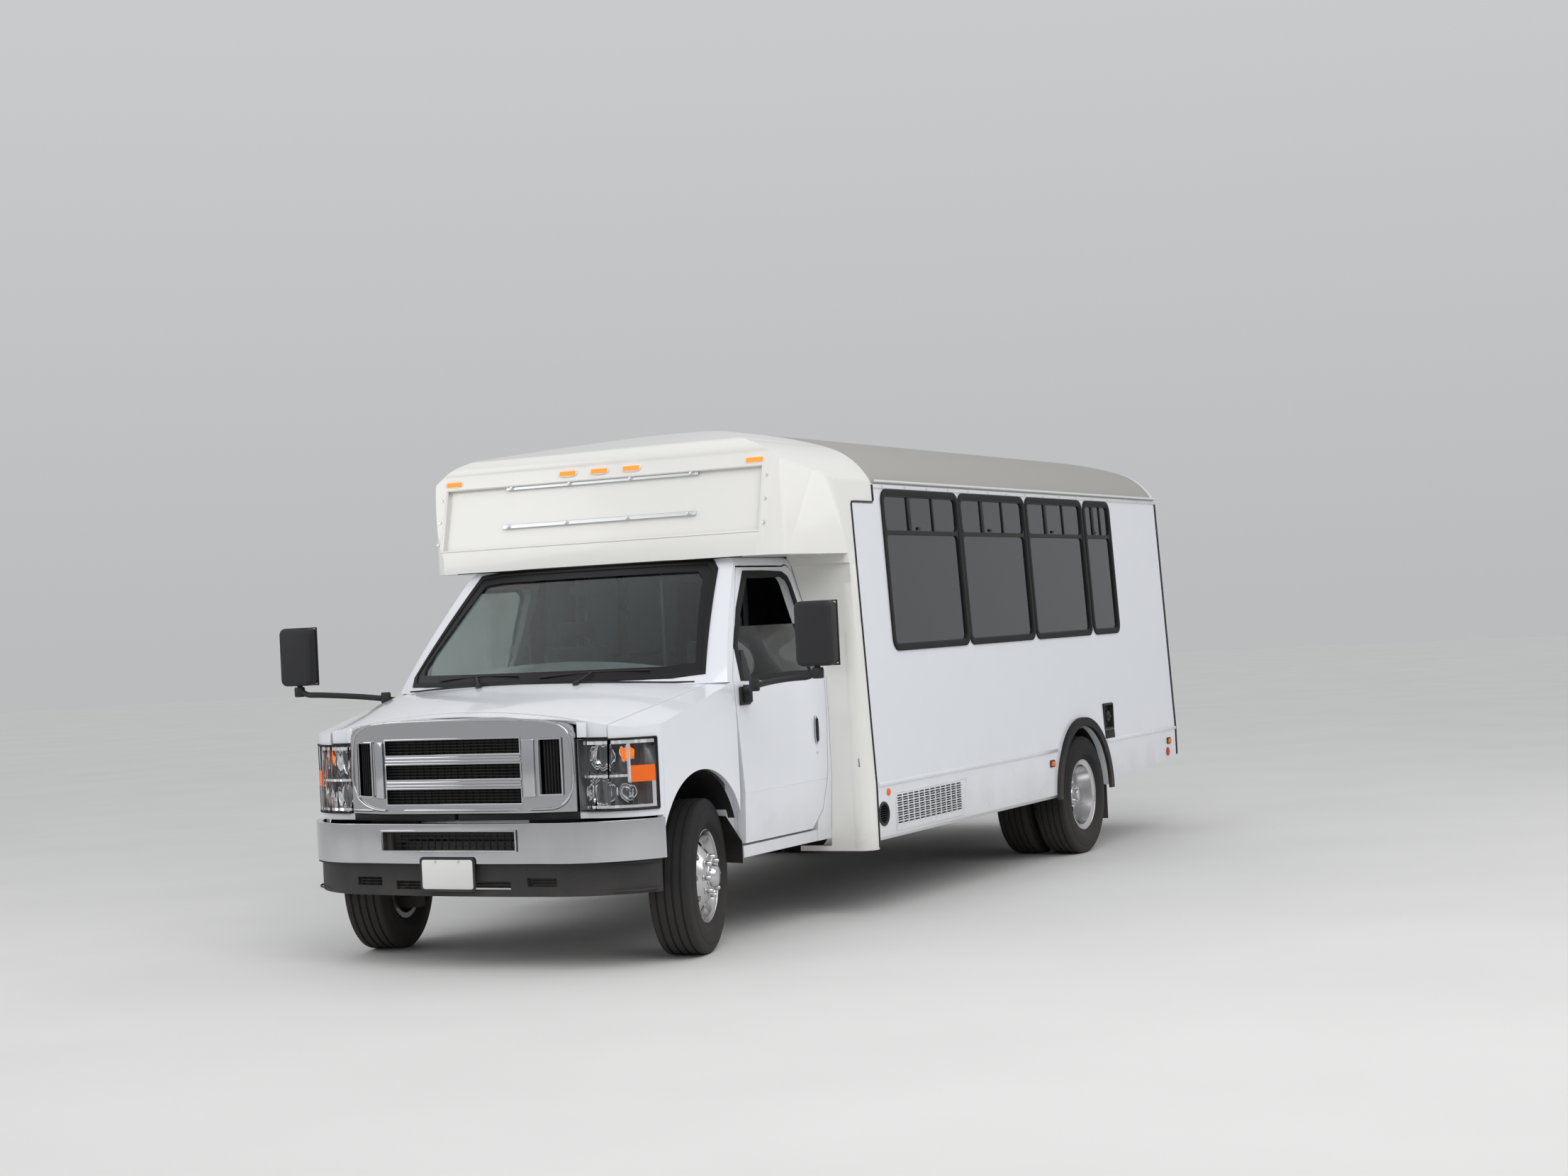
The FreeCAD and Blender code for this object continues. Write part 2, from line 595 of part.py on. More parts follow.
def build_chassis():
    rails = body("frame_rails")
    section = sketch(rails, "YZ_Plane", "rail_rear")
    polygon(section, [
        ("rail_half_track", "rail_top"), ("rail_half_track - rail_flange", "rail_top"),
        ("rail_half_track - rail_flange", "rail_top - rail_wall"),
        ("rail_half_track - rail_wall", "rail_top - rail_wall"),
        ("rail_half_track - rail_wall", "rail_top - rail_height + rail_wall"),
        ("rail_half_track - rail_flange", "rail_top - rail_height + rail_wall"),
        ("rail_half_track - rail_flange", "rail_top - rail_height"),
        ("rail_half_track", "rail_top - rail_height")])
    mirror_pattern(rails, [pad(rails, section, "rail_front - rail_rear")])

    inner = d.rail_half_track - d.rail_wall
    low = d.rail_top - d.rail_height + d.rail_wall
    members = []
    for x in (d.rail_front - 90, -1330, -2200, -3500, -5050, d.rail_rear + 60):
        members.append(box(x - 35, x + 35, -inner, inner, low, d.rail_top - d.rail_wall))
    for s in (1, -1):
        y = sorted((s * (d.rail_half_track - 70), s * d.rail_half_track))
        members.append(box(d.rail_front, d.bumper_front - d.bumper_wall - 18, y[0], y[1],
                           d.rail_top - d.rail_height + 90, d.rail_top + 60))
        y = sorted((s * d.engine_width / 2, s * inner))
        members.append(box(60, 140, y[0], y[1], d.rail_top - 70, d.rail_top - 20))
    feature("crossmembers", Part.makeCompound(members))

    engine = body("engine_block", ("firewall + 30", "0", "engine_foot"))
    side = sketch(engine, "XZ_Plane", "-engine_width / 2")
    polygon(side, [("0", "60"), ("160", "0"), ("engine_length - 60", "0"), ("engine_length", "90"),
                   ("engine_length", "engine_height - 110"), ("engine_length - 90", "engine_height"),
                   ("0", "engine_height")])
    pad(engine, side, "engine_width")

    tank = body("fuel_tank", ("-wheelbase - tank_behind", "0",
                              "rail_top - rail_height + rail_wall - tank_height + 20"))
    end = sketch(tank, "YZ_Plane")
    polygon(end, [("-tank_width / 2 + 60", "0"), ("tank_width / 2 - 60", "0"), ("tank_width / 2", "60"),
                  ("tank_width / 2", "tank_height - 20"), ("-tank_width / 2", "tank_height - 20"),
                  ("-tank_width / 2", "60")])
    shell = pad(tank, end, "tank_length")
    shell.Reversed = True

    # Rear axle: tube, housing, springs and their hangers, made of primitives
    tube_half = d.outer_half_track - d.dual_spacing + d.rim_width / 2 - 40 - d.seat
    pieces = [Part.makeCylinder(d.axle_tube_radius, 2 * tube_half,
                                Vector(-d.wheelbase, -tube_half, d.tyre_radius), Vector(0, 1, 0)),
              Part.makeSphere(d.diff_radius, Vector(-d.wheelbase, 0, d.tyre_radius)),
              Part.makeCylinder(70, 140, Vector(-d.wheelbase + 100, 0, d.tyre_radius), Vector(1, 0, 0))]
    low = d.tyre_radius + d.axle_tube_radius - 10
    for side in (1, -1):
        y = side * d.spring_half_track
        arch = [(-690, low + 55), (0, low - 25, 690, low + 55), (690, low + 100),
                (0, low + 30, -690, low + 100)]
        spring = prism("xz", y - d.spring_width / 2, y + d.spring_width / 2, arch)
        spring.translate(Vector(-d.wheelbase, 0, 0))
        pieces.append(spring)
        web = side * d.rail_half_track
        for x in (-d.wheelbase - 665, -d.wheelbase + 665):
            edges = sorted((web, side * (d.spring_half_track + d.spring_width / 2)))
            pieces.append(box(x - 30, x + 30, edges[0], edges[1], low + 60, d.rail_top - 30))
    axle = pieces[0].multiFuse(pieces[1:])
    feature("rear_axle", axle)

    shaft_start = Vector(-d.wheelbase + 240 + d.seat, 0, d.tyre_radius)
    shaft_end = Vector(-1250, 0, 385)
    gearbox = Part.makeCone(98, 80, 950, Vector(d.firewall + 30, 0, 440), Vector(-1, 0, 0))
    shaft = Part.makeCylinder(d.shaft_radius, (shaft_end - shaft_start).Length, shaft_start,
                              shaft_end - shaft_start)
    feature("driveline", gearbox.fuse(shaft))

    # Front axle: a beam that drops between its kingpin eyes, with a coil spring tower each side
    eye = d.kingpin_half_track
    z = d.tyre_radius
    beam = prism("yz", -35, 35, [(-eye - 40, z + 165), (-eye - 40, z + 112), (-eye + 60, z + 112),
                                 (-520, z - 60), (520, z - 60), (eye - 60, z + 112), (eye + 40, z + 112),
                                 (eye + 40, z + 165), (eye - 100, z + 165), (480, z + 10),
                                 (-480, z + 10), (-eye + 100, z + 165)])
    feet = [Part.makeCylinder(d.kingpin_radius, 270, Vector(0, s * eye, z - 108)) for s in (1, -1)]
    caps = []
    for s in (1, -1):
        inner_y = sorted((s * (eye - 95), s * (eye + 40)))
        caps.append(box(-35, 35, inner_y[0], inner_y[1], z - 165, z - 112 + 4))
        yoke = sorted((s * (eye - 95), s * (eye - 62)))
        caps.append(box(-35, 35, yoke[0], yoke[1], z - 165, z + 130))
    top = d.rail_top - 10
    coils = [Part.makeCylinder(58, top - z - 5, Vector(0, s * 492, z + 5)) for s in (1, -1)]
    for s in (1, -1):
        y = sorted((s * d.rail_half_track, s * 550))
        coils.append(box(-70, 70, y[0], y[1], top - 30, top))
    feature("front_axle", beam.multiFuse(feet + caps + coils))

    low = 335
    beside = -d.engine_width / 2 - d.pipe_radius - d.seat
    run = [(-250, beside, 490), (-700, beside, low), (-3600, -300, low), (-3760, -560, low),
           (-3760, 53 - d.body_half, low)]
    pipe = tube(run, d.pipe_radius)
    silencer = Part.makeCylinder(d.silencer_radius, 700, Vector(-2900, -300, low), Vector(1, 0, 0))
    feature("exhaust", pipe.fuse(silencer))


# Cab

DOOR_REAR = -1318
DOOR = ((-400, 490), (-394, 749), (-358, 1065), (-345, 1290), (-737, 1860), (-1240, 1860),
        (-1300, 1855, DOOR_REAR, 1790), (-1309, 1115), (-1291, 776), (-1232, 583), (-1120, 490))
DOOR_GLASS = ((-440, 1300), (-478, 1466), (-797, 1822), (-1190, 1822), (-1238, 1800, -1252, 1760),
              (-1246, 1300))


def wheel_room():
    """The space that the steered front wheels sweep through, on both sides."""
    low = Part.makeCylinder(430, 500, Vector(0, d.kingpin_half_track, 0))
    high = Part.makeCone(430, 320, 160, Vector(0, d.kingpin_half_track, 500))
    return both_sides(low.fuse(high))


def build_cab():
    wall = d.cab_wall
    roof_line = box(-LARGE, LARGE, -LARGE, LARGE, d.screen_foot, d.cab_roof)
    outer = cab_section(0, d.cab_rear, 200).common(screen_form(0))
    inner = cab_section(35, d.cab_rear - 50, 200).common(screen_form(35))
    upper = outer.cut(inner).common(roof_line)
    opening = [(-d.screen_low_half, d.screen_low), (d.screen_low_half, d.screen_low),
               (d.screen_high_half, d.screen_high), (-d.screen_high_half, d.screen_high)]
    screen_way = prism("yz", -1200, 400, opening)
    door_way = prism("xz", -LARGE, LARGE, DOOR, d.gap)
    upper = upper.cut(screen_way)

    side = cab_section(0, d.cab_rear, -1180).cut(cab_section(wall, d.cab_rear - 10, -1170))
    pillars = side.common(box(-LARGE, LARGE, -LARGE, LARGE, 420, d.screen_foot + 5))
    shells = upper.fuse(pillars).cut(door_way)

    jamb = d.cab_sill_half - wall - 14
    fixed = []
    for s in (1, -1):
        y = sorted((s * 862, s * (d.cab_sill_half - 3)))
        fixed.append(box(d.cab_rear, d.door_seam + 5, y[0], y[1], 420, d.sill_height))
        y = sorted((s * 862, s * jamb))
        fixed.append(box(-1240, d.door_seam, y[0], y[1], 440, 500))
        y = sorted((s * 862, s * jamb))
        fixed.append(box(-425, d.firewall, y[0], y[1], 470, d.screen_foot - 2))
        y = sorted((s * (jamb - 5), s * 1000))
        seal = box(-424, -404, y[0], y[1], 530, d.cab_belt - 20)
        fixed.append(seal.common(cab_section(wall + d.seat, -600, -300)))
    fixed.append(box(d.cab_rear, d.toe_board, -jamb, jamb, d.cab_floor - 35, d.cab_floor))
    toe = [(d.toe_board - 10, d.cab_floor - 35), (d.toe_board - 10, d.cab_floor), (d.firewall - 30, 812),
           (d.firewall, 812), (d.firewall, 776), (d.toe_board + 15, d.cab_floor - 35)]
    fixed.append(prism("xz", -jamb, jamb, toe))
    fixed.append(box(d.firewall - 30, d.firewall, -jamb, jamb, 790, 1288))
    for s in (1, -1):
        y = sorted((s * 862, s * jamb))
        fixed.append(box(-1240, d.toe_board + 20, y[0], y[1], 490, d.cab_floor - 30))
    rear = -d.hood_rear_half - 6
    corner = d.hood_rear_corner - 1.5 * d.gap
    cowl = prism("xy", 1000, 1600, [(corner, rear), (d.hood_rear - 1.5 * d.gap, 0, corner, -rear),
                                    (d.firewall - 30, -rear), (d.firewall - 30, rear)])
    skin = hood_form(0).cut(hood_form(30)).common(cowl)
    skin = skin.common(cab_section(0, -600, 400))
    cab = shells.multiFuse(fixed + [skin]).cut(wheel_room()).removeSplitter()
    feature("cab_body", cab)

    pane = screen_form(d.glass_inset).cut(screen_form(d.glass_inset + d.glass)).common(screen_way).cut(cab)
    feature("windshield", pane)

    # Doors with their panes
    slab = cab_section(0, -1500, 0).cut(cab_section(wall, -1600, 100))
    leaf = slab.common(prism("xz", 0, LARGE, DOOR))
    leaf = leaf.cut(prism("xz", 0, LARGE, DOOR_GLASS))
    sheet_glass = cab_section(d.glass_inset, -1500, 0).cut(cab_section(d.glass_inset + d.glass, -1600, 100))
    pane = sheet_glass.common(prism("xz", 0, LARGE, DOOR_GLASS))
    feature("driver_door", leaf)
    feature("driver_door_glass", pane)
    feature("passenger_door", other_side(leaf))
    feature("passenger_door_glass", other_side(pane))

    # Nose: hood, fenders and lamps from the same three forms
    hood_plan = [(d.hood_front, -d.hood_front_half), (d.hood_front, d.hood_front_half),
                 (d.hood_rear_corner, d.hood_rear_half),
                 (d.hood_rear, 0, d.hood_rear_corner, -d.hood_rear_half)]
    skin = nose(0).cut(nose(d.panel))
    feature("hood", skin.common(prism("xy", d.lamp_high + 6, 1600, hood_plan)))

    front = d.hood_front_half + d.gap
    rear = d.hood_rear_half + d.gap
    wide_plan = [(d.nose_reach, -front), (d.nose_reach, front), (d.hood_front, front),
                 (d.hood_rear_corner, rear), (-LARGE, rear), (-LARGE, -rear),
                 (d.hood_rear_corner, -rear), (d.hood_front, -front)]
    fenders = skin.common(box(d.door_seam + 3, LARGE, -LARGE, LARGE, d.sill_height - 4, LARGE))
    fenders = fenders.cut(box(-LARGE, LARGE, -880, 880, 200, 900).cut(
        box(400, LARGE, -LARGE, LARGE, d.bumper_high + 8, LARGE)))
    fenders = fenders.cut(prism("xy", 1000, 1600, wide_plan))
    fenders = fenders.cut(box(380, LARGE, -LARGE, LARGE, 300, d.bumper_high + 8))
    fenders = fenders.cut(prism("xz", -LARGE, LARGE, DOOR, d.gap))
    fenders = fenders.cut(box(d.nose_corner - 150, LARGE, -d.grille_half, d.grille_half, 300, LARGE))
    arch = Part.makeCylinder(d.arch_radius, 2 * LARGE, Vector(d.arch_middle, -LARGE, d.arch_height),
                             Vector(0, 1, 0))
    lamp_way = box(400, LARGE, -LARGE, LARGE, d.lamp_low, d.lamp_high)
    fenders = fenders.cut(arch).cut(lamp_way).cut(cab)
    feature("front_fenders", fenders)

    lamp = nose(-4).cut(nose(55)).common(box(400, LARGE, d.grille_half + 7, LARGE, d.lamp_low, d.lamp_high))
    feature("headlamps", both_sides(lamp))


# The front end

def build_front():
    # Grille surround: a bent strip, with three openings between two bars and a pocket each side
    surround = body("grille", ("0", "0", "grille_low"))
    plan = sketch(surround, "XY_Plane")
    polygon(plan, [
        ("grille_corner", "-grille_half"), ("grille_front", "-opening_half - 10"),
        ("grille_front", "opening_half + 10"), ("grille_corner", "grille_half"),
        ("grille_corner - grille_depth", "grille_half"), ("grille_front - grille_depth", "opening_half + 10"),
        ("grille_front - grille_depth", "-opening_half - 10"),
        ("grille_corner - grille_depth", "-grille_half")])
    pad(surround, plan, "grille_high - grille_low")
    cuts = sketch(surround, "YZ_Plane", "grille_front + 30")
    clear = "(opening_high - opening_low - 2 * grille_bar) / 3"
    low = "opening_low - grille_low"
    for row in range(3):
        foot = "%s + %d * (%s + grille_bar)" % (low, row, clear)
        rectangle(cuts, "-opening_half", "opening_half", foot, foot + " + " + clear)
    for side in ("", "-"):
        rectangle(cuts, side + "486", side + "590", "opening_low - grille_low + 40",
                  "opening_high - grille_low - 10")
    pocket(surround, cuts, "300")
    corners = sketch(surround, "YZ_Plane", "grille_front + 30")
    for side in ("", "-"):
        polygon(corners, [(side + "(grille_half + 10)", "grille_high - grille_low + 10"),
                          (side + "(grille_half - 400)", "grille_high - grille_low + 10"),
                          (side + "(grille_half - 370)", "grille_high - grille_low"),
                          (side + "(grille_half - 80)", "grille_high - grille_low - 30"),
                          (side + "(grille_half + 10)", "grille_high - grille_low - 110")])
    pocket(surround, corners, "300")

    back = d.grille_front - d.grille_depth
    side_back = d.grille_corner - d.grille_depth
    half = [(side_back, d.grille_half), (back, d.opening_half + 10), (back - 10, d.opening_half + 10),
            (side_back - 10, d.grille_half)]
    mesh = [(side_back, -d.grille_half), (back, -d.opening_half - 10)] + [half[1], half[0], half[3], half[2]]
    mesh += [(back - 10, -d.opening_half - 10), (side_back - 10, -d.grille_half)]
    feature("grille_mesh", prism("xy", d.grille_low + 15, d.grille_high - 70, mesh))
    bumper = bumper_strip(0.0, d.bumper_low, d.bumper_high)
    bumper = bumper.cut(box(0, LARGE, -d.slot_half, d.slot_half, d.slot_low, d.slot_high))
    for s in (1, -1):
        hole = Vector(d.bumper_front - 100, s * d.plate_hole_spacing / 2, d.plate_hole_height)
        bumper = bumper.cut(Part.makeCylinder(d.plate_hole_radius, 200, hole, Vector(1, 0, 0)))
    feature("front_bumper", bumper)
    valance = bumper_strip(d.valance_back, d.valance_low, d.bumper_low)
    for y0, y1, z0, z1 in ((-575, -420, 400, 440), (420, 575, 400, 440), (-330, 330, 385, 425)):
        valance = valance.cut(box(0, LARGE, y0, y1, z0, z1))
    feature("bumper_valance", valance)

    # Radiator support: it carries the grille, and its two stops carry the shut hood
    x0 = d.rail_front - 95
    support = box(x0 - 25, x0, -600, 600, d.rail_top, 1080)
    support = support.cut(box(x0 - 60, x0 + 60, -330, 330, d.rail_top + 60, 1020))
    stops = [Part.makeCylinder(18, 200, Vector(x0 - 14, s * 560, 1000)) for s in (1, -1)]
    under = hood_form(d.panel + d.seat)
    arms = [box(x0 - 5, back - 10, y, y + 50, 780, 820) for y in (340, -390)]
    feature("radiator_support", support.multiFuse([stop.common(under) for stop in stops] + arms))


def bumper_strip(back, low, high):
    """A bent strip that wraps the nose, open to the rear."""
    front = d.bumper_front - back
    half = d.bumper_half - back
    end = d.bumper_end + back / 2

    def outline(inset):
        return [(end - 1 - (200 if inset else 0), -half + inset),
                (front - 150 - inset * 0.7, -half + 130 + inset * 0.5,
                 front - 24 - inset, -d.slot_half - 120),
                (front - inset, 0, front - 24 - inset, d.slot_half + 120),
                (front - 150 - inset * 0.7, half - 130 - inset * 0.5,
                 end - 1 - (200 if inset else 0), half - inset)]
    solid = prism("xy", low, high, outline(0.0))
    hollow = prism("xy", low - 5, high + 5, outline(d.bumper_wall))
    return solid.cut(hollow)


# The moulded cap over the cab

def cap_slope():
    """How far the cap's face leans back for each millimetre of height."""
    return (d.cap_head - d.cap_lip) / (2440 - 1985)


def cap_form(inset):
    """The cap as a solid; with an inset, the hollow inside it, which runs out at the rear."""
    rear = d.cap_rear - (100 if inset else 0)
    lip = d.cap_lip - inset
    head = d.cap_head - inset
    side = [(rear, d.cab_roof + inset), (lip, d.cab_roof + inset), (lip, 1985), (head, 2440),
            (head - 12, 2500 - inset * 0.7, head - 70, 2532 - inset), (d.cap_rear, 2663 - inset),
            (rear, 2663 - inset)]
    front = lip + 6
    corner_half = d.cap_corner_half - inset * 0.4
    half = [(rear, 1185 - inset), (d.cap_seam, 1180 - inset), (-830, 1075 - inset)]
    middle = (-735 - inset * 0.7, 1030 - inset * 0.8)
    plan = [(x, -y) for x, y in half]
    plan += [(middle[0], -middle[1], front, -corner_half), (front, corner_half), middle + half[2],
             half[1], half[0]]
    form = prism("xz", -LARGE, LARGE, side).common(prism("xy", 1800, 2800, plan))
    return form.common(coach(inset, rear, -600))


def wing_plan(inset):
    """The cap's leg beside the cab door, seen from above, on the vehicle's left."""
    front = d.cab_rear
    if inset:
        return [(d.cap_seam - 50, 780), (front - d.cap_wall, 780), (front - d.cap_wall, 1150),
                (front - 60, 1180), (d.cap_seam - 50, 1183)]
    return [(d.cap_seam, 800), (front, 800), (front, 1120), (front - 18, 1198, front - 70, 1224),
            (d.cap_seam, 1226)]


def door_swing():
    """What the rear edge of the leaning driver's door sweeps through, above the belt."""
    across = d.cab_half_width + d.hinge_out
    radii = []
    for half in (d.cab_belt_half, d.cab_roof_half):
        inner = across - half + d.cab_wall
        radii.append(math.hypot(DOOR_REAR - d.door_seam, inner) + 2 * d.clearance)
    low = Vector(d.door_seam, across, d.cab_belt)
    high = Vector(d.door_seam, across, d.roof_edge)
    swept = Part.makeCone(radii[0], radii[1], high.z - low.z, low)
    return swept.fuse(Part.makeCylinder(radii[1], d.clearance, high))


def build_cap():
    shell = cap_form(0).cut(cap_form(d.cap_wall))
    shell = shell.cut(box(-LARGE, d.cap_seam, -LARGE, LARGE, 0, d.cap_step))
    slope = cap_slope()
    low = d.cap_lip + slope * (d.panel_low - 1985)
    high = d.cap_lip + slope * (d.panel_high - 1985)
    recess = prism("xz", -d.panel_half, d.panel_half,
                   [(low - d.panel_depth, d.panel_low), (high - d.panel_depth, d.panel_high),
                    (high + 60, d.panel_high), (low + 60, d.panel_low)])
    shell = shell.cut(recess)
    legs = []
    for s in (1, -1):
        leg = prism("xy", 350, d.cab_roof + 20, wing_plan(0)).cut(
            prism("xy", 300, d.cab_roof + 40, wing_plan(1)))
        legs.append(leg if s > 0 else other_side(leg))
    legs = [leg.common(coach(0, d.cap_seam - 1, -1000)) for leg in legs]
    legs = [leg.cut(cab_section(-1, -1500, -1200)) for leg in legs]
    cap = shell.multiFuse(legs).cut(both_sides(door_swing()))
    feature("front_cap", cap)

    rails = []
    for height in (2142, 2350):
        x = d.cap_lip + slope * (height - 1985) - d.panel_depth
        lean = slope * 22
        rails.append(prism("xz", -598, 598, [(x, height), (x + lean, height + 22),
                                             (x + lean + 16, height + 22), (x + 16, height)]))
    feature("sign_rails", Part.makeCompound(rails))

    lamps = []
    for y, z in ((-936, 2405), (-198, 2415), (0, 2415), (198, 2415), (936, 2405)):
        x = d.cap_lip + slope * (z - 1985)
        if abs(y) > 900:
            x -= 4
        lamps.append(prism("xz", y - 48, y + 48, [(x - 12, z - 16), (x + 14, z - 12), (x + 12, z + 10),
                                                  (x - 14, z + 16)]).cut(cap))
    feature("roof_lamps", Part.makeCompound(lamps))
    return cap


# The coach body

WINDOWS = (
    # name, front edge, rear edge, on the left, on the right
    ("first", -1790, -2805, True, False),
    ("short", -2330, -2805, False, True),
    ("second", -2822, -3815, True, True),
    ("third", -3842, -4805, True, True),
    ("fourth", -4843, -5320, True, True),
)


def arch_middle():
    return d.arch_lead - d.wheelbase


def skirt_cut():
    """What lies under the side walls' lower edge."""
    rear = arch_middle() - d.rear_arch_radius
    return prism("xz", -LARGE, LARGE, [(0, 0), (0, d.skirt_front), (rear, d.skirt_front + 8),
                                       (rear - 60, d.skirt_front + 14), (d.body_rear - 10, d.skirt_rear),
                                       (d.body_rear - 10, 0)])


def build_coach(cap):
    wall = d.body_wall
    rear_inner = d.body_rear + wall
    shell = coach(0, rear_inner, d.cap_seam - d.seam).cut(coach(wall, rear_inner - 5, d.cap_seam + 5))
    walls = shell.common(box(-LARGE, LARGE, -LARGE, LARGE, 0, d.eaves))
    walls = walls.cut(box(d.cap_rear - d.seam, 0, -LARGE, LARGE, d.cap_step - d.seam, LARGE))
    walls = walls.cut(skirt_cut())
    arch = Part.makeCylinder(d.rear_arch_radius, 2 * LARGE,
                             Vector(arch_middle(), -LARGE, d.rear_arch_height), Vector(0, 1, 0))
    walls = walls.cut(arch)
    bottom = box(arch_middle() - d.rear_arch_radius, arch_middle() + d.rear_arch_radius,
                 -LARGE, LARGE, 0, d.rear_arch_height)
    walls = walls.cut(bottom)

    outlines = {1: [], -1: []}
    for name, front, rear, left, right in WINDOWS:
        outline = rounded("xz", rear, front, d.window_low, d.window_high, d.window_corner)
        for side, wanted in ((1, left), (-1, right)):
            if wanted:
                outlines[side].append((front, rear, outline))
    ways = []
    frames = []
    panes = []
    ring_shell = coach(-d.frame_proud, rear_inner, d.cap_seam).cut(coach(24, rear_inner, d.cap_seam))
    pane_shell = coach(4, rear_inner, d.cap_seam).cut(coach(4 + d.glass, rear_inner, d.cap_seam))
    for side in (1, -1):
        reach = (0, LARGE) if side > 0 else (-LARGE, 0)
        for front, rear, outline in outlines[side]:
            ways.append(prism("xz", reach[0], reach[1], outline))
            ring = prism("xz", reach[0], reach[1], outline)
            slots = []
            inner_low = d.window_low + d.frame_width
            inner_high = d.window_high - d.frame_width
            for low, high in ((inner_low, d.transom - 12), (d.transom + 12, inner_high)):
                slots.append(prism("xz", reach[0], reach[1], rounded(
                    "xz", rear + d.frame_width, front - d.frame_width, low, high, 35)))
            frames.append(ring_shell.common(ring.cut(slots[0]).cut(slots[1])))
            for slot in slots:
                panes.append(pane_shell.common(slot))
    walls = walls.cut(Part.makeCompound(ways))

    left = walls.common(box(-LARGE, LARGE, 0, LARGE, 0, LARGE))
    slots = [box(-2520, -1650, 0, LARGE, z, z + 12) for z in (462, 488, 514, 540, 566, 592)]
    slots.append(Part.makeCylinder(62, 400, Vector(-1494, d.body_half - 223, 530), Vector(0, 1, 0)))
    slots.append(box(-5045, -4875, 0, LARGE, 762, 925))
    left = left.cut(Part.makeCompound(slots))
    feature("side_wall_left", left)

    right = walls.common(box(-LARGE, LARGE, -LARGE, 0, 0, LARGE))
    entry_rear = d.entry_front - d.entry_width
    right = right.cut(box(entry_rear, d.entry_front, -LARGE, 0, 0, d.entry_high))
    feature("side_wall_right", right)
    feature("roof", roof(rear_inner))
    build_rear(rear_inner, frames, panes)
    feature("window_frames", Part.makeCompound(frames))
    feature("window_glass", Part.makeCompound(panes))
    build_entry(entry_rear)
    build_floor(entry_rear, rear_inner, cap)
    build_trim()


def roof(rear_inner):
    """The roof panel with its drip rails."""
    wall = d.body_wall
    shell = coach(0, rear_inner, d.cap_rear - d.seam).cut(coach(wall, rear_inner - 5, d.cap_rear + 5))
    top = shell.common(box(-LARGE, LARGE, -LARGE, LARGE, d.eaves, LARGE))
    rails = []
    for s in (1, -1):
        y = sorted((s * (d.eaves_half - 14), s * (d.eaves_half + 14)))
        rails.append(box(rear_inner, d.cap_rear - d.seam, y[0], y[1], d.eaves, d.eaves + 14))
    return top.multiFuse(rails)


def build_rear(rear_inner, frames, panes):
    """The rear wall with its door and two windows."""
    whole = coach(0, d.body_rear, rear_inner)
    whole = whole.common(box(-LARGE, LARGE, -LARGE, LARGE, d.skirt_rear, LARGE))
    door = rounded("yz", -d.rear_door_half, d.rear_door_half, d.rear_door_low, d.rear_door_high, 60)
    view = rounded("yz", -d.rear_door_half + 90, d.rear_door_half - 90, 1420, d.rear_door_high - 90, 50)
    way = rounded("yz", -d.rear_door_half - d.gap, d.rear_door_half + d.gap, d.rear_door_low - d.gap,
                  d.rear_door_high + d.gap, 60 + d.gap)
    whole = whole.cut(prism("yz", d.body_rear - 50, rear_inner + 50, way))
    x0 = d.body_rear - d.frame_proud
    for s in (1, -1):
        y = sorted((s * 540, s * 1010))
        outline = rounded("yz", y[0], y[1], 1420, 2110, 50)
        inside = rounded("yz", y[0] + d.frame_width, y[1] - d.frame_width,
                         1420 + d.frame_width, 2110 - d.frame_width, 35)
        whole = whole.cut(prism("yz", d.body_rear - 50, rear_inner + 50, outline))
        ring = prism("yz", x0, d.body_rear + 24, outline)
        frames.append(ring.cut(prism("yz", x0, d.body_rear + 24, inside)))
        panes.append(prism("yz", d.body_rear + 4, d.body_rear + 4 + d.glass, inside))
    ledge = box(rear_inner - 5 + d.seat, rear_inner, -d.rear_door_half + 60, d.rear_door_half - 60,
                d.rear_door_low - 40, d.rear_door_low + 14)
    feature("rear_wall", whole.fuse(ledge))
    leaf = prism("yz", d.body_rear, rear_inner - 5, door)
    leaf = leaf.cut(prism("yz", d.body_rear - 5, rear_inner + 5, view))
    feature("rear_door", leaf)
    feature("rear_door_glass", prism("yz", d.body_rear + 4, d.body_rear + 4 + d.glass, view))


def build_entry(entry_rear):
    """The two leaves of the entry door, each with its tall pane."""
    slab = coach(0, entry_rear, d.entry_front).cut(coach(d.leaf_thick, entry_rear - 5, d.entry_front + 5))
    sheet_glass = coach(6, entry_rear, d.entry_front).cut(
        coach(6 + d.glass, entry_rear - 5, d.entry_front + 5))
    width = (d.entry_width - 2 * d.gap - d.leaf_gap) / 2
    low = d.entry_low + d.gap
    high = d.entry_high - d.gap
    starts = (("entry_door_front", d.entry_front - d.gap - width), ("entry_door_rear", entry_rear + d.gap))
    for name, start in starts:
        outline = [(start, low), (start + width, low), (start + width, high), (start, high)]
        view = rounded("xz", start + 55, start + width - 55, low + 130, high - 70, 45)
        leaf = slab.common(prism("xz", -LARGE, 0, outline)).cut(prism("xz", -LARGE, 0, view))
        feature(name, leaf)
        feature(name + "_glass", sheet_glass.common(prism("xz", -LARGE, 0, view)))


SEAT_ROW = -2650
SEAT_PITCH = 750


def deck_seam(half):
    """The shallow seam round the luggage deck behind the last seats."""
    front = SEAT_ROW - 3 * SEAT_PITCH - 150
    rear = d.body_rear + d.body_wall + 35
    side = half - 48
    outer = box(rear, front, -side, side, d.floor_high - 1, LARGE)
    return outer.cut(box(rear + d.seam, front - d.seam, d.seam - side, side - d.seam, 0, LARGE))


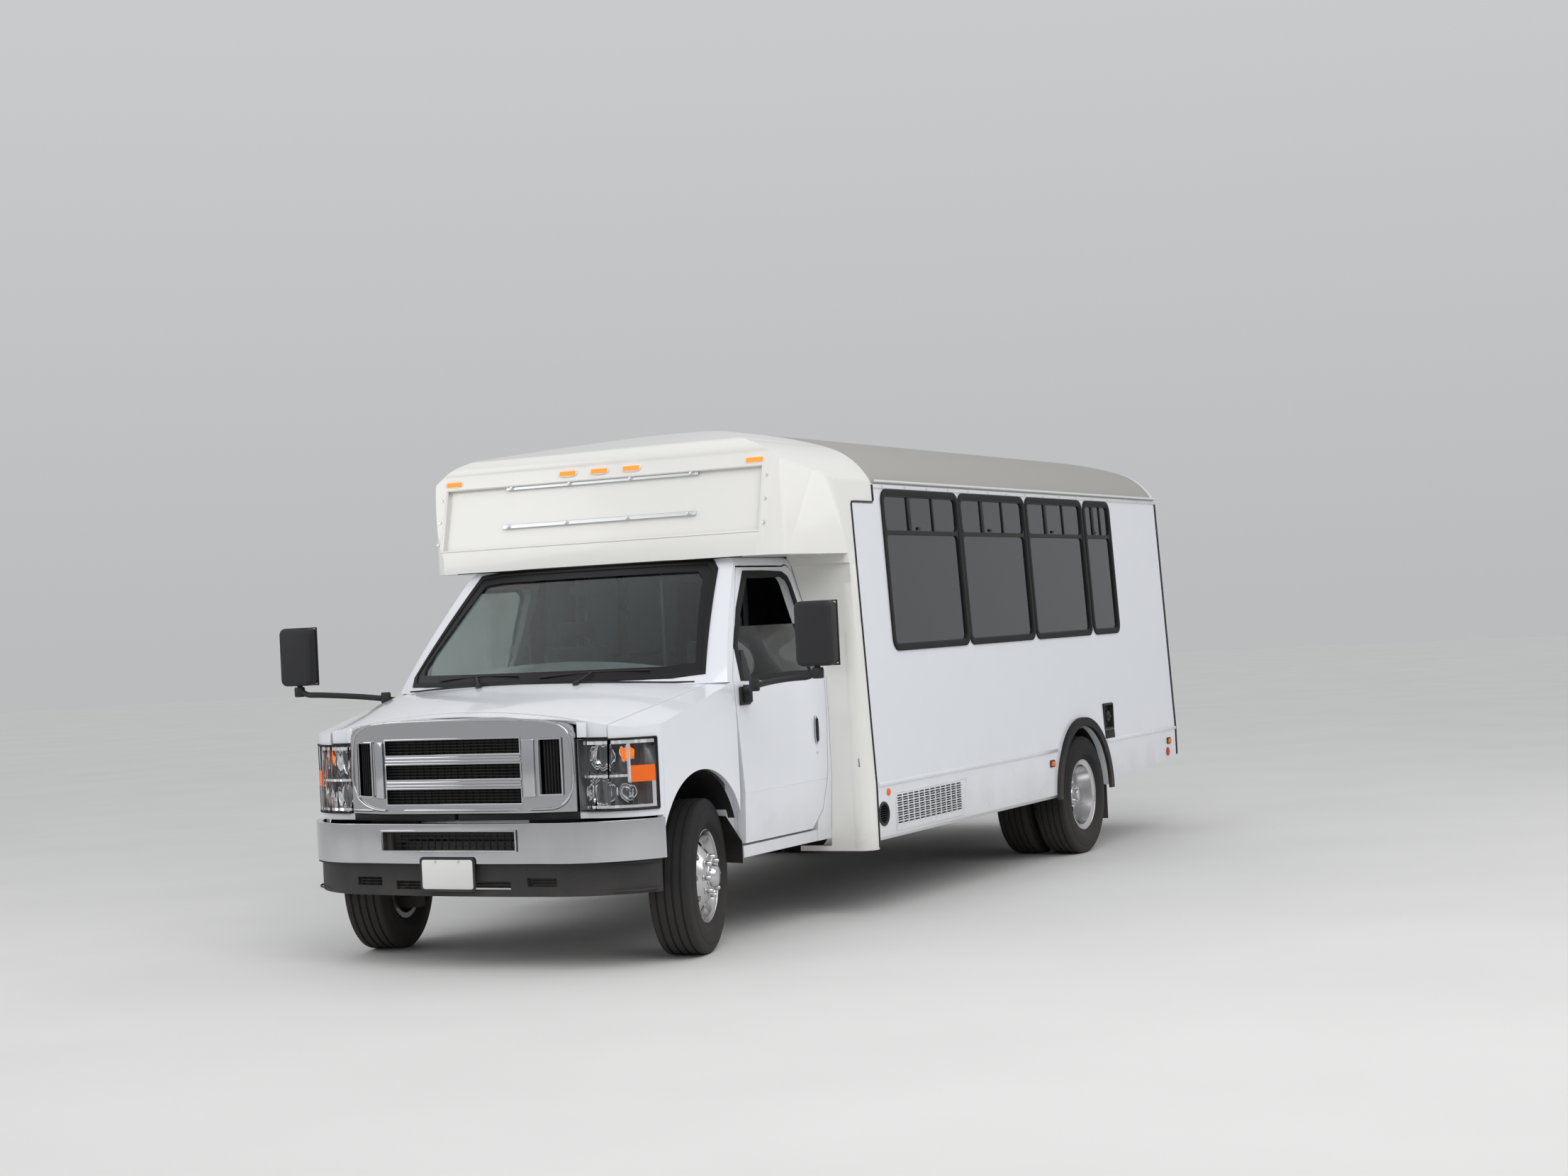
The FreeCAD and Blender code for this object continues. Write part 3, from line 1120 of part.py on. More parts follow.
def build_floor(entry_rear, rear_inner, cap):
    """The coach floor, with the step well inside the entry door."""
    half = d.body_half - d.body_wall
    wide = box(rear_inner, d.cab_rear, -half, half, d.floor_low, d.floor_high)
    wide = wide.common(coach(d.body_wall, rear_inner, d.cab_rear))
    well_y = -half + 2 * d.step_depth
    wide = wide.cut(box(entry_rear, d.entry_front, -LARGE, well_y, 0, LARGE))
    wide = wide.cut(deck_seam(half))
    steps = []
    height = (d.floor_high - d.entry_low) / 2
    outer = -d.body_half + d.leaf_thick + d.clearance
    for count in range(2):
        y0 = outer + count * d.step_depth if count else outer
        y1 = -half + (count + 1) * d.step_depth
        top = d.entry_low + count * height
        steps.append(box(entry_rear, d.entry_front, y0 - (12 if count else 0), y1 + 12, top - 12, top))
        steps.append(box(entry_rear, d.entry_front, y1, y1 + 12, top - 12,
                         top + height - (12 if count == 0 else 0)))
    for x in (entry_rear, d.entry_front - 18):
        steps.append(box(x, x + 18, outer, well_y + 12, d.entry_low - 12, d.floor_low + 1))
    behind_leaf = coach(d.leaf_thick + d.clearance, entry_rear, d.entry_front)
    middle = (entry_rear + d.entry_front) / 2
    stop = box(middle - 25, middle + 25, -d.body_half, outer + 40, d.entry_low - 12, d.entry_low + 40)
    stop = stop.common(coach(d.leaf_thick + d.seat, entry_rear, d.entry_front))
    floor = wide.multiFuse([step.common(behind_leaf) for step in steps] + [stop]).cut(cap)
    bearers = []
    for x in (-1900, -2900, -3700, -5150, -6000):
        right_end = well_y + 20 if x > entry_rear else -half
        bearers.append(box(x - 25, x + 25, right_end, half, d.rail_top, d.floor_low))
    inside = coach(d.body_wall, rear_inner, d.cab_rear)
    feature("body_floor", Part.makeCompound([floor] + [bearer.common(inside).cut(cap) for bearer in bearers]))


def build_trim():
    """Flares, mud flaps, rear bumper, side lamps and the fuel filler."""
    flares = []
    for s in (1, -1):
        y0 = d.body_half - 12
        y1 = d.body_half + d.flare_out
        z = d.rear_arch_height
        r = d.rear_arch_radius
        w = d.flare_band
        ring = prism("xz", y0, y1, [(-r - w, z), (0, z + r + w, r + w, z), (r - 4, z),
                                    (0, z + r - 4, -r + 4, z)])
        ring.translate(Vector(arch_middle(), 0, 0))
        ring = ring.cut(coach(0, d.body_rear, d.cap_seam))
        flares.append(ring if s > 0 else other_side(ring))
    feature("wheel_flares", Part.makeCompound(flares))

    rear = -d.wheelbase - 520
    flap = box(rear, rear + 10, d.outer_half_track - 352, d.outer_half_track + 58, 170, d.floor_low)
    feature("mud_flaps", both_sides(flap))

    bumper = body("rear_bumper", ("body_rear", "0", "0"))
    plan = sketch(bumper, "XY_Plane", "step_bumper_low")
    polygon(plan, [("0", "-step_bumper_half"), ("0", "step_bumper_half"),
                   ("-step_bumper_reach + 60", "step_bumper_half"),
                   ("-step_bumper_reach", "step_bumper_half - 90"),
                   ("-step_bumper_reach", "-step_bumper_half + 90"),
                   ("-step_bumper_reach + 60", "-step_bumper_half")])
    pad(bumper, plan, "step_bumper_high - step_bumper_low")
    step = sketch(bumper, "YZ_Plane", "5")
    rectangle(step, "-400", "400", "step_bumper_high - 25", "step_bumper_high + 30")
    pocket(bumper, step, "step_bumper_reach + 30")

    lamps = []
    for x, z in ((-3915, 610), (-6116, 604)):
        lamp = box(x - 28, x + 28, 0, d.body_half + 14, z - 14, z + 14).cut(coach(0, d.body_rear, 0))
        lamps += [lamp, other_side(lamp)]
    for y, z, h in ((-1060, 900, 110), (-1060, 1030, 110), (1060, 900, 110), (1060, 1030, 110)):
        lamps.append(box(d.body_rear - 22, d.body_rear, y - 60, y + 60, z - h / 2, z + h / 2))
    for y in (-1000, -150, 0, 150, 1000):
        lamps.append(box(d.body_rear - 14, d.body_rear, y - 32, y + 32, 2360, 2386))
    feature("side_and_tail_lamps", Part.makeCompound(lamps))

    inner = d.body_half - d.body_wall + 3
    cup = box(-5045, -4875, inner, d.body_half, 762, 925).cut(box(-5036, -4884, inner + 6, LARGE, 771, 916))
    neck = Part.makeCylinder(38, 26, Vector(-4960, inner + 5, 843), Vector(0, 1, 0))
    vent = Part.makeCylinder(62, 46, Vector(-1494, d.body_half - 42, 530), Vector(0, 1, 0)).cut(
        Part.makeCylinder(50, 80, Vector(-1494, d.body_half - 30, 530), Vector(0, 1, 0)))
    feature("fuel_filler", Part.makeCompound([cup.fuse(neck), vent]))


# Inside

def seat_items(x, floor, cushion, back):
    """Side view of a seat on its pedestal, facing forward, with its back at x."""
    return [(x + 120, floor), (x + 380, floor), (x + 360, cushion - 130), (x + 500, cushion - 130),
            (x + 505, cushion), (x + 130, cushion - 25), (x + 20, back), (x - 75, back),
            (x - 70, back - 90), (x + 40, cushion - 140), (x + 150, cushion - 130)]


def build_inside():
    pairs = []
    for y in (230, -690):
        pairs.append(prism("xz", y, y + 460, seat_items(-1200, d.cab_floor, 975, 1640)))
    feature("cab_seats", Part.makeCompound(pairs))
    rows = []
    for row in range(4):
        x = SEAT_ROW - row * SEAT_PITCH
        for s in (1, -1):
            if row or s > 0:
                y = sorted((s * 270, s * (d.body_half - 103)))
                rows.append(prism("xz", y[0], y[1], seat_items(x, d.floor_high, 1275, 1890)))
    feature("passenger_seats", Part.makeCompound(rows))

    back = d.firewall - 30
    dash = [(back, 1000), (back, 1284), (-420, 1300), (-620, 1290), (-700, 1200), (-640, 1080), (-560, 1000)]
    dashboard = prism("xz", -860, 860, dash)
    feature("dashboard", dashboard)
    middle = Vector(-840, 430, 1180)
    lean = Vector(-0.9, 0, 0.44)
    wheel = Part.makeTorus(195, 16, middle, lean)
    spokes = []
    lean.normalize()
    up = Vector(0.44, 0, 0.9)
    up.normalize()
    for along in (Vector(0, 1, 0), Vector(0, -1, 0), up * -1):
        spokes.append(Part.makeCylinder(14, 190, middle, along))
    hub = Part.makeCylinder(62, 30, middle - lean * 15, lean)
    column = Part.makeCylinder(28, 230, middle - lean * 220, lean)
    feature("steering_wheel", wheel.multiFuse(spokes + [hub, column.cut(dashboard)]))


MIRROR = (-160, 1560, 1510)


def build_mirrors():
    """A tall mirror on a long arm, carried by each cab door."""
    x, y, z = MIRROR
    head = Part.makeBox(78, 200, 310, Vector(x - 39, y - 100, z - 155))
    head = head.makeFillet(26, [e for e in head.Edges if e.CenterOfMass.x > x])
    arm = tube([(-420, 1003, 1235), (-330, 1120, 1270), (x, y - 160, 1305), (x, y, 1305),
                (x, y, z - 150)], 15)
    foot = box(-480, -380, 1004, 1016, 1170, 1262)
    mirror = head.multiFuse([arm, foot])
    mirror = mirror.cut(cab_section(0, -600, 0))
    feature("mirror_left", mirror)
    feature("mirror_right", other_side(mirror))


build_wheels()
build_chassis()
build_cab()
build_front()
build_coach(build_cap())
build_inside()
build_mirrors()
doc.recompute()

faults = []
for item in doc.Objects:
    if "Invalid" in item.State or "Error" in item.State:
        faults.append("%s: %s" % (item.Label, item.State))
for item in SUBPARTS:
    if item.Shape.isNull() or not item.Shape.isValid() or not item.Shape.Solids:
        faults.append("%s has no sound shape" % item.Label)
if faults:
    raise RuntimeError("; ".join(faults))

os.makedirs("parts", exist_ok=True)
for item in SUBPARTS:
    item.Shape.exportStep("parts/%s.step" % item.Label)
    print(item.Label, len(item.Shape.Solids), round(item.Shape.Volume / 1e6, 2))
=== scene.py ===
import json
import math

import bpy
from bpy.props import FloatProperty, FloatVectorProperty, IntProperty, PointerProperty
from mathutils import Matrix, Vector

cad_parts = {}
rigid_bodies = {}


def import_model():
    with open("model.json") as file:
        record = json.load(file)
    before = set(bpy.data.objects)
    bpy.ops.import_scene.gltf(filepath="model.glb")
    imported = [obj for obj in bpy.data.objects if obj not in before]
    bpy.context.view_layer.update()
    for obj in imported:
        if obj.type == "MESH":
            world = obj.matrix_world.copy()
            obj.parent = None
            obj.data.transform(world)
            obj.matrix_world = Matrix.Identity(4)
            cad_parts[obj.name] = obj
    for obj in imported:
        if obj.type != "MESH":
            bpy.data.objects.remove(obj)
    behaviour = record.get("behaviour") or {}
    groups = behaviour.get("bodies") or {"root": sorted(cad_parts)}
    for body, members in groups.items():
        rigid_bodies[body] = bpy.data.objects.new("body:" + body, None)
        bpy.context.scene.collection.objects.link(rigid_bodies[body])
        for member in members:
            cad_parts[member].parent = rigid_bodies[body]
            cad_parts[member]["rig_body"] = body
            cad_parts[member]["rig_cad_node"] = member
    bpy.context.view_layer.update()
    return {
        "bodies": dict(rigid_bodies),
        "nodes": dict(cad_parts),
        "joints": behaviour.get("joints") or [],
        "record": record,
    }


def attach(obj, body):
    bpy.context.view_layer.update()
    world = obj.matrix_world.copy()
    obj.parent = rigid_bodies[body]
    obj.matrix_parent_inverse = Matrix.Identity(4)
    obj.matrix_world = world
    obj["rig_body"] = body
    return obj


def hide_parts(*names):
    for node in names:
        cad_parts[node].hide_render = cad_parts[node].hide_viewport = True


bl_info = {
    "name": "Minibus dressing",
    "version": (1, 0, 0),
    "blender": (4, 5, 0),
    "location": "3D View > Sidebar > Minibus",
    "description": "Finishes, trim, lamps, wheels and seats for the packed minibus",
    "category": "Object",
}

# Lengths are millimetres counted from the middle of the front axle at ground level, as on the
# drawings, and point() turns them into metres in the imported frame.

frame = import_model()
NODES = frame["nodes"]

AHEAD = 2865.0
STEER = math.radians(15)
KINGPIN = 800.0
FRONT_REACH = 81.0
WHEELBASE = 4470.0
OUTER_TRACK = 1112.0
DUAL_SPACING = 262.0
WHEEL_HEIGHT = 372.0
SIDES = ((1, "left"), (-1, "right"))


def point(x, y, z):
    return Vector(((x + AHEAD) / 1000, y / 1000, z / 1000))


def wall_y(z):
    """Half the coach's width at a height."""
    return 1223.0 - 0.04661 * max(z - 686.0, 0.0)


def cab_y(z):
    """Half the cab's width at a height."""
    heights = ((378, 985), (740, 1005), (1050, 1005), (1270, 1000), (1860, 823), (1900, 811))
    for (z0, y0), (z1, y1) in zip(heights, heights[1:]):
        if z <= z1:
            return y0 + (y1 - y0) * (z - z0) / (z1 - z0)
    return heights[-1][1]


def bow(y, half, sweep):
    """How far an arc has curved back at a distance from its middle."""
    radius = (half * half + sweep * sweep) / (2 * sweep)
    return radius - math.sqrt(radius * radius - y * y)


def screen_x(y, z):
    """The windscreen's surface."""
    foot = 58 - bow(y, 1050, 393)
    head = -731 - bow(y, 1050, 59)
    return foot + (head - foot) * (z - 1290) / 640


def hood_z(x, y):
    """The hood's surface."""
    return 1175 - bow(y, 1100, 147.8) + 0.23 * (700 - x)


def cap_x(z):
    """The cap's leaning face."""
    return -690 - 0.23077 * (z - 1985)


# Outlines about a middle, as (across, up)

def rounded(half_across, half_up, radius, count):
    """A rectangle with round corners, each of as many points."""
    points = []
    for across, up, start in ((1, 1, 0), (-1, 1, 90), (-1, -1, 180), (1, -1, 270)):
        for step in range(count):
            turn = math.radians(start + step * 90 / (count - 1))
            points.append((across * (half_across - radius) + radius * math.cos(turn),
                           up * (half_up - radius) + radius * math.sin(turn)))
    return points


def squared(half_across, half_up, count, power_across, power_up):
    """An oval of as many points, squarer where a power is lower."""
    points = []
    for step in range(count):
        turn = 2 * math.pi * step / count
        points.append((half_across * math.copysign(abs(math.cos(turn)) ** power_across, math.cos(turn)),
                       half_up * math.copysign(abs(math.sin(turn)) ** power_up, math.sin(turn))))
    return points


# Modelling steps that every piece uses

def clear():
    if bpy.context.object and bpy.context.object.mode != "OBJECT":
        bpy.ops.object.mode_set(mode="OBJECT")
    bpy.ops.object.select_all(action="DESELECT")


def pick(piece):
    clear()
    piece.select_set(True)
    bpy.context.view_layer.objects.active = piece
    return piece


def outline(name, points):
    """A ring of edges through the points, left in edit mode with all of it selected."""
    clear()
    bpy.ops.mesh.primitive_circle_add(vertices=len(points), radius=1)
    piece = bpy.context.object
    piece.name = name
    for vertex, place in zip(piece.data.vertices, points):
        vertex.co = point(*place)
    bpy.ops.object.mode_set(mode="EDIT")
    bpy.ops.mesh.select_all(action="SELECT")
    return piece


def closed(piece):
    """Merges doubles and turns the faces outwards."""
    bpy.ops.object.mode_set(mode="EDIT")
    bpy.ops.mesh.select_all(action="SELECT")
    bpy.ops.mesh.remove_doubles(threshold=0.00002)
    bpy.ops.mesh.normals_make_consistent(inside=False)
    bpy.ops.object.mode_set(mode="OBJECT")
    return piece


def modify(piece, kind, **values):
    """Adds a modifier and applies it at once."""
    pick(piece)
    added = piece.modifiers.new(kind.title(), kind)
    for key, value in values.items():
        setattr(added, key, value)
    bpy.ops.object.modifier_apply(modifier=added.name)
    return piece


def soften(piece, width=0.0, segments=2, angle=32):
    """Rounds the edges by a width in millimetres and shades what is left smooth."""
    if width:
        modify(piece, "BEVEL", width=width / 1000, segments=segments, limit_method="ANGLE",
               angle_limit=math.radians(angle), harden_normals=False)
    pick(piece)
    bpy.ops.object.shade_smooth_by_angle(angle=math.radians(angle))
    return piece


def plate(name, points, along, width=0.0, segments=2):
    """A flat outline pushed out along a vector of millimetres, its edges rounded."""
    piece = outline(name, points)
    bpy.ops.mesh.edge_face_add()
    value = [c / 1000 for c in along]
    bpy.ops.mesh.extrude_region_move(TRANSFORM_OT_translate={"value": value})
    return soften(closed(piece), width, segments)


def block(name, x, y, z, width=4.0, segments=2):
    """A box between two x, two y and two z, with rounded edges."""
    corners = [(x[0], y[0], z[0]), (x[1], y[0], z[0]), (x[1], y[1], z[0]), (x[0], y[1], z[0])]
    return plate(name, corners, (0, 0, z[1] - z[0]), width, segments)


def band(name, outer, inner, thickness, width=0.0):
    """A strip between two rings with as many points, given a thickness."""
    piece = outline(name, outer)
    bpy.ops.mesh.extrude_edges_move(TRANSFORM_OT_translate={"value": (0, 0, 0)})
    bpy.ops.object.mode_set(mode="OBJECT")
    count = len(outer)
    for vertex, place in zip(list(piece.data.vertices)[count:], inner):
        vertex.co = point(*place)
    bpy.ops.object.mode_set(mode="EDIT")
    bpy.ops.mesh.select_all(action="SELECT")
    bpy.ops.mesh.normals_make_consistent(inside=False)
    bpy.ops.object.mode_set(mode="OBJECT")
    modify(piece, "SOLIDIFY", thickness=thickness / 1000, offset=0.0)
    return soften(closed(piece), width)


def lathe(name, profile, centre, axis, steps=48, smooth=35):
    """Turns a closed profile about an axis. Its points are (along the axis, out from it)."""
    axis = Vector(axis).normalized()
    aside = axis.orthogonal().normalized()
    middle = Vector(centre)
    piece = outline(name, [middle + axis * along + aside * out for along, out in profile])
    bpy.ops.mesh.spin(steps=steps, angle=2 * math.pi, center=point(*middle), axis=axis)
    bpy.ops.object.mode_set(mode="OBJECT")
    return soften(closed(piece), angle=smooth)


def skin(name, columns, rows, place, thickness=3.0, offset=-1.0):
    """A sheet laid over a grid of places, given a thickness."""
    clear()
    bpy.ops.mesh.primitive_grid_add(x_subdivisions=columns, y_subdivisions=rows, size=2)
    piece = bpy.context.object
    piece.name = name
    for vertex in piece.data.vertices:
        vertex.co = point(*place((vertex.co.x + 1) / 2, (vertex.co.y + 1) / 2))
    closed(piece)
    modify(piece, "SOLIDIFY", thickness=thickness / 1000, offset=offset)
    return soften(closed(piece), angle=40)


def between(start, end, part):
    return start + (end - start) * part


def rod(name, path, radius, smooth=True, sides=4):
    """A round bar or pipe along a line through a few points."""
    clear()
    bpy.ops.curve.primitive_nurbs_path_add()
    line = bpy.context.object
    line.name = name
    spline = line.data.splines[0]
    while len(spline.points) < len(path):
        spline.points.add(1)
    line.data.splines.remove(spline)
    spline = line.data.splines.new("NURBS" if smooth else "POLY")
    spline.points.add(len(path) - 1)
    for knot, place in zip(spline.points, path):
        knot.co = (*point(*place), 1)
    if smooth:
        spline.order_u = 3
        spline.use_endpoint_u = True
    line.data.bevel_depth = radius / 1000
    line.data.bevel_resolution = sides
    line.data.use_fill_caps = True
    bpy.ops.object.convert(target="MESH")
    return soften(bpy.context.object, angle=50)


def join(name, pieces):
    clear()
    for piece in pieces:
        piece.select_set(True)
    bpy.context.view_layer.objects.active = pieces[0]
    if len(pieces) > 1:
        bpy.ops.object.join()
    pieces[0].name = name
    return pieces[0]


def twin(piece, name, moved=(0, 0, 0), flip=False):
    """A copy with its own mesh, moved by millimetres or mirrored to the other side."""
    pick(piece)
    bpy.ops.object.duplicate()
    made = bpy.context.object
    made.name = name
    if flip:
        made.scale.y = -1
        bpy.ops.object.transform_apply(location=False, rotation=False, scale=True)
        closed(made)
    made.location = [c / 1000 for c in moved]
    bpy.ops.object.transform_apply(location=True, rotation=False, scale=False)
    return made


def turned(piece, name, centre, axis, angle):
    """A copy turned about a point, as one of a ring."""
    pick(piece)
    bpy.ops.object.duplicate()
    made = bpy.context.object
    made.name = name
    middle = point(*centre)
    made.matrix_world = (Matrix.Translation(middle) @ Matrix.Rotation(angle, 4, Vector(axis))
                         @ Matrix.Translation(-middle))
    bpy.ops.object.transform_apply(location=True, rotation=True, scale=True)
    return made


def ring_of(piece, count, centre, axis):
    """The piece repeated round an axis, all joined into one."""
    copies = [piece]
    for i in range(1, count):
        copies.append(turned(piece, piece.name, centre, axis, 2 * math.pi * i / count))
    return join(piece.name, copies)


def fit(piece, material, body="root", stands_for=()):
    """Gives a finished piece its material and the body it rides on, and hides the carried-over parts it
    stands for.
    """
    made = build_material(material)
    piece.data.materials.clear()
    piece.data.materials.append(made)
    for facet in piece.data.polygons:
        facet.material_index = 0
    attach(piece, body)
    if stands_for:
        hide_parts(*stands_for)
    return piece


def copy_node(node, name):
    """A welded copy of a CAD node to work from."""
    source = NODES[node]
    made = source.copy()
    made.data = source.data.copy()
    made.name = name
    made.parent = None
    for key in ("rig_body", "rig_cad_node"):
        if key in made:
            del made[key]
    bpy.context.scene.collection.objects.link(made)
    made.hide_render = False
    made.hide_viewport = False
    made.modifiers.clear()
    pick(made)
    bpy.ops.object.mode_set(mode="EDIT")
    bpy.ops.mesh.select_all(action="SELECT")
    bpy.ops.mesh.remove_doubles(threshold=0.00002)
    bpy.ops.object.mode_set(mode="OBJECT")
    return made


def keep_faces(piece, wanted):
    """Deletes every face that the test does not want."""
    pick(piece)
    bpy.ops.object.mode_set(mode="EDIT")
    bpy.ops.mesh.select_all(action="DESELECT")
    bpy.ops.object.mode_set(mode="OBJECT")
    for facet in piece.data.polygons:
        facet.select = not wanted(facet.center, facet.normal)
    bpy.ops.object.mode_set(mode="EDIT")
    bpy.ops.mesh.select_mode(type="FACE")
    bpy.ops.mesh.delete(type="FACE")
    bpy.ops.object.mode_set(mode="OBJECT")
    return piece


# Effects that several finishes share, as node groups

def new_group(name, inputs, outputs):
    tree = bpy.data.node_groups.new(name, "ShaderNodeTree")
    for label, kind, value in inputs:
        socket = tree.interface.new_socket(label, in_out="INPUT", socket_type=kind)
        socket.default_value = value
    for label, kind in outputs:
        tree.interface.new_socket(label, in_out="OUTPUT", socket_type=kind)
    return tree, tree.nodes.new("NodeGroupInput"), tree.nodes.new("NodeGroupOutput")


def add(tree, kind, **values):
    node = tree.nodes.new(kind)
    for key, value in values.items():
        setattr(node, key, value)
    return node


def calculate(tree, operation, first, second):
    """A Math node whose two inputs are sockets or numbers."""
    node = add(tree, "ShaderNodeMath", operation=operation)
    for socket, value in zip(node.inputs, (first, second)):
        if isinstance(value, (int, float)):
            socket.default_value = value
        else:
            tree.links.new(value, socket)
    return node.outputs[0]


def dirt_group():
    """Road dust that thickens towards the ground and gathers in a broken line."""
    name = "Road dust"
    if name in bpy.data.node_groups:
        return bpy.data.node_groups[name]
    tree, inside, outside = new_group(
        name, [("Colour", "NodeSocketColor", (0.8, 0.8, 0.8, 1)),
               ("Dust", "NodeSocketColor", (0.2, 0.18, 0.15, 1)),
               ("Top", "NodeSocketFloat", 0.6), ("Amount", "NodeSocketFloat", 0.3),
               ("Gloss", "NodeSocketFloat", 0.2)],
        [("Colour", "NodeSocketColor"), ("Roughness", "NodeSocketFloat")])
    link = tree.links.new
    place = add(tree, "ShaderNodeTexCoord")
    split = add(tree, "ShaderNodeSeparateXYZ")
    link(place.outputs["Object"], split.inputs[0])
    cloud = add(tree, "ShaderNodeTexNoise")
    cloud.inputs["Scale"].default_value = 5.5
    cloud.inputs["Detail"].default_value = 7.0
    link(place.outputs["Object"], cloud.inputs["Vector"])
    speck = add(tree, "ShaderNodeTexNoise")
    speck.inputs["Scale"].default_value = 160.0
    speck.inputs["Detail"].default_value = 3.0
    link(place.outputs["Object"], speck.inputs["Vector"])
    height = calculate(tree, "DIVIDE", split.outputs[2], inside.outputs["Top"])
    near = calculate(tree, "SUBTRACT", 1.0, height)
    lifted = calculate(tree, "ADD", near, calculate(tree, "MULTIPLY", cloud.outputs[0], 0.45))
    shade = add(tree, "ShaderNodeMapRange", interpolation_type="SMOOTHERSTEP")
    link(lifted, shade.inputs["Value"])
    shade.inputs["From Min"].default_value = 0.1
    shade.inputs["From Max"].default_value = 1.15
    spotted = calculate(tree, "MULTIPLY", shade.outputs[0],
                        calculate(tree, "ADD", calculate(tree, "MULTIPLY", speck.outputs[0], 0.9), 0.45))
    mask = calculate(tree, "MULTIPLY", spotted, inside.outputs["Amount"])
    film = calculate(tree, "MULTIPLY", calculate(tree, "SUBTRACT", cloud.outputs[0], 0.42), 0.10)
    whole = add(tree, "ShaderNodeClamp")
    link(calculate(tree, "ADD", mask, calculate(tree, "MULTIPLY", film, inside.outputs["Amount"])),
         whole.inputs[0])
    mix = add(tree, "ShaderNodeMix", data_type="RGBA")
    link(whole.outputs[0], mix.inputs[0])
    link(inside.outputs["Colour"], mix.inputs[6])
    link(inside.outputs["Dust"], mix.inputs[7])
    link(mix.outputs[2], outside.inputs["Colour"])
    rough = calculate(tree, "ADD", inside.outputs["Gloss"],
                      calculate(tree, "MULTIPLY", whole.outputs[0], 0.6))
    patchy = calculate(tree, "MULTIPLY", calculate(tree, "SUBTRACT", speck.outputs[0], 0.5), 0.06)
    link(calculate(tree, "ADD", rough, patchy), outside.inputs["Roughness"])
    return tree


def grain_group():
    """Small bumps: orange peel in paint, pebbled plastic or a rough casting."""
    name = "Surface grain"
    if name in bpy.data.node_groups:
        return bpy.data.node_groups[name]
    tree, inside, outside = new_group(
        name, [("Size", "NodeSocketFloat", 300.0), ("Pebbles", "NodeSocketFloat", 0.0)],
        [("Height", "NodeSocketFloat"), ("Mask", "NodeSocketFloat")])
    link = tree.links.new
    place = add(tree, "ShaderNodeTexCoord")
    ripple = add(tree, "ShaderNodeTexNoise")
    ripple.inputs["Detail"].default_value = 2.0
    link(place.outputs["Object"], ripple.inputs["Vector"])
    link(inside.outputs["Size"], ripple.inputs["Scale"])
    pebble = add(tree, "ShaderNodeTexVoronoi", feature="SMOOTH_F1")
    link(place.outputs["Object"], pebble.inputs["Vector"])
    link(inside.outputs["Size"], pebble.inputs["Scale"])
    wide = add(tree, "ShaderNodeTexNoise")
    wide.inputs["Scale"].default_value = 9.0
    wide.inputs["Detail"].default_value = 5.0
    link(place.outputs["Object"], wide.inputs["Vector"])
    both = calculate(tree, "ADD", ripple.outputs[0],
                     calculate(tree, "MULTIPLY", pebble.outputs["Distance"], inside.outputs["Pebbles"]))
    link(both, outside.inputs["Height"])
    link(wide.outputs[0], outside.inputs["Mask"])
    return tree


def weave_group():
    """Crossing threads with a flecked colour, for the seats' cloth."""
    name = "Woven cloth"
    if name in bpy.data.node_groups:
        return bpy.data.node_groups[name]
    tree, inside, outside = new_group(
        name, [("Colour", "NodeSocketColor", (0.1, 0.11, 0.14, 1)),
               ("Fleck", "NodeSocketColor", (0.3, 0.3, 0.35, 1)), ("Threads", "NodeSocketFloat", 420.0)],
        [("Colour", "NodeSocketColor"), ("Height", "NodeSocketFloat")])
    link = tree.links.new
    place = add(tree, "ShaderNodeTexCoord")
    waves = []
    for direction in ("X", "Y", "Z"):
        wave = add(tree, "ShaderNodeTexWave", wave_type="BANDS", bands_direction=direction)
        link(inside.outputs["Threads"], wave.inputs["Scale"])
        wave.inputs["Distortion"].default_value = 0.6
        link(place.outputs["Object"], wave.inputs["Vector"])
        waves.append(wave.outputs["Fac"])
    threads = calculate(tree, "ADD", waves[0], calculate(tree, "ADD", waves[1], waves[2]))
    fleck = add(tree, "ShaderNodeTexNoise")
    fleck.inputs["Scale"].default_value = 240.0
    fleck.inputs["Detail"].default_value = 2.0
    link(place.outputs["Object"], fleck.inputs["Vector"])
    some = add(tree, "ShaderNodeMapRange")
    link(fleck.outputs[0], some.inputs["Value"])
    some.inputs["From Min"].default_value = 0.52
    some.inputs["From Max"].default_value = 0.72
    mix = add(tree, "ShaderNodeMix", data_type="RGBA")
    link(some.outputs[0], mix.inputs[0])
    link(inside.outputs["Colour"], mix.inputs[6])
    link(inside.outputs["Fleck"], mix.inputs[7])
    link(mix.outputs[2], outside.inputs["Colour"])
    link(threads, outside.inputs["Height"])
    return tree


def use(tree, group, **values):
    node = add(tree, "ShaderNodeGroup", node_tree=group)
    for key, value in values.items():
        node.inputs[key.replace("_", " ").capitalize()].default_value = value
    return node


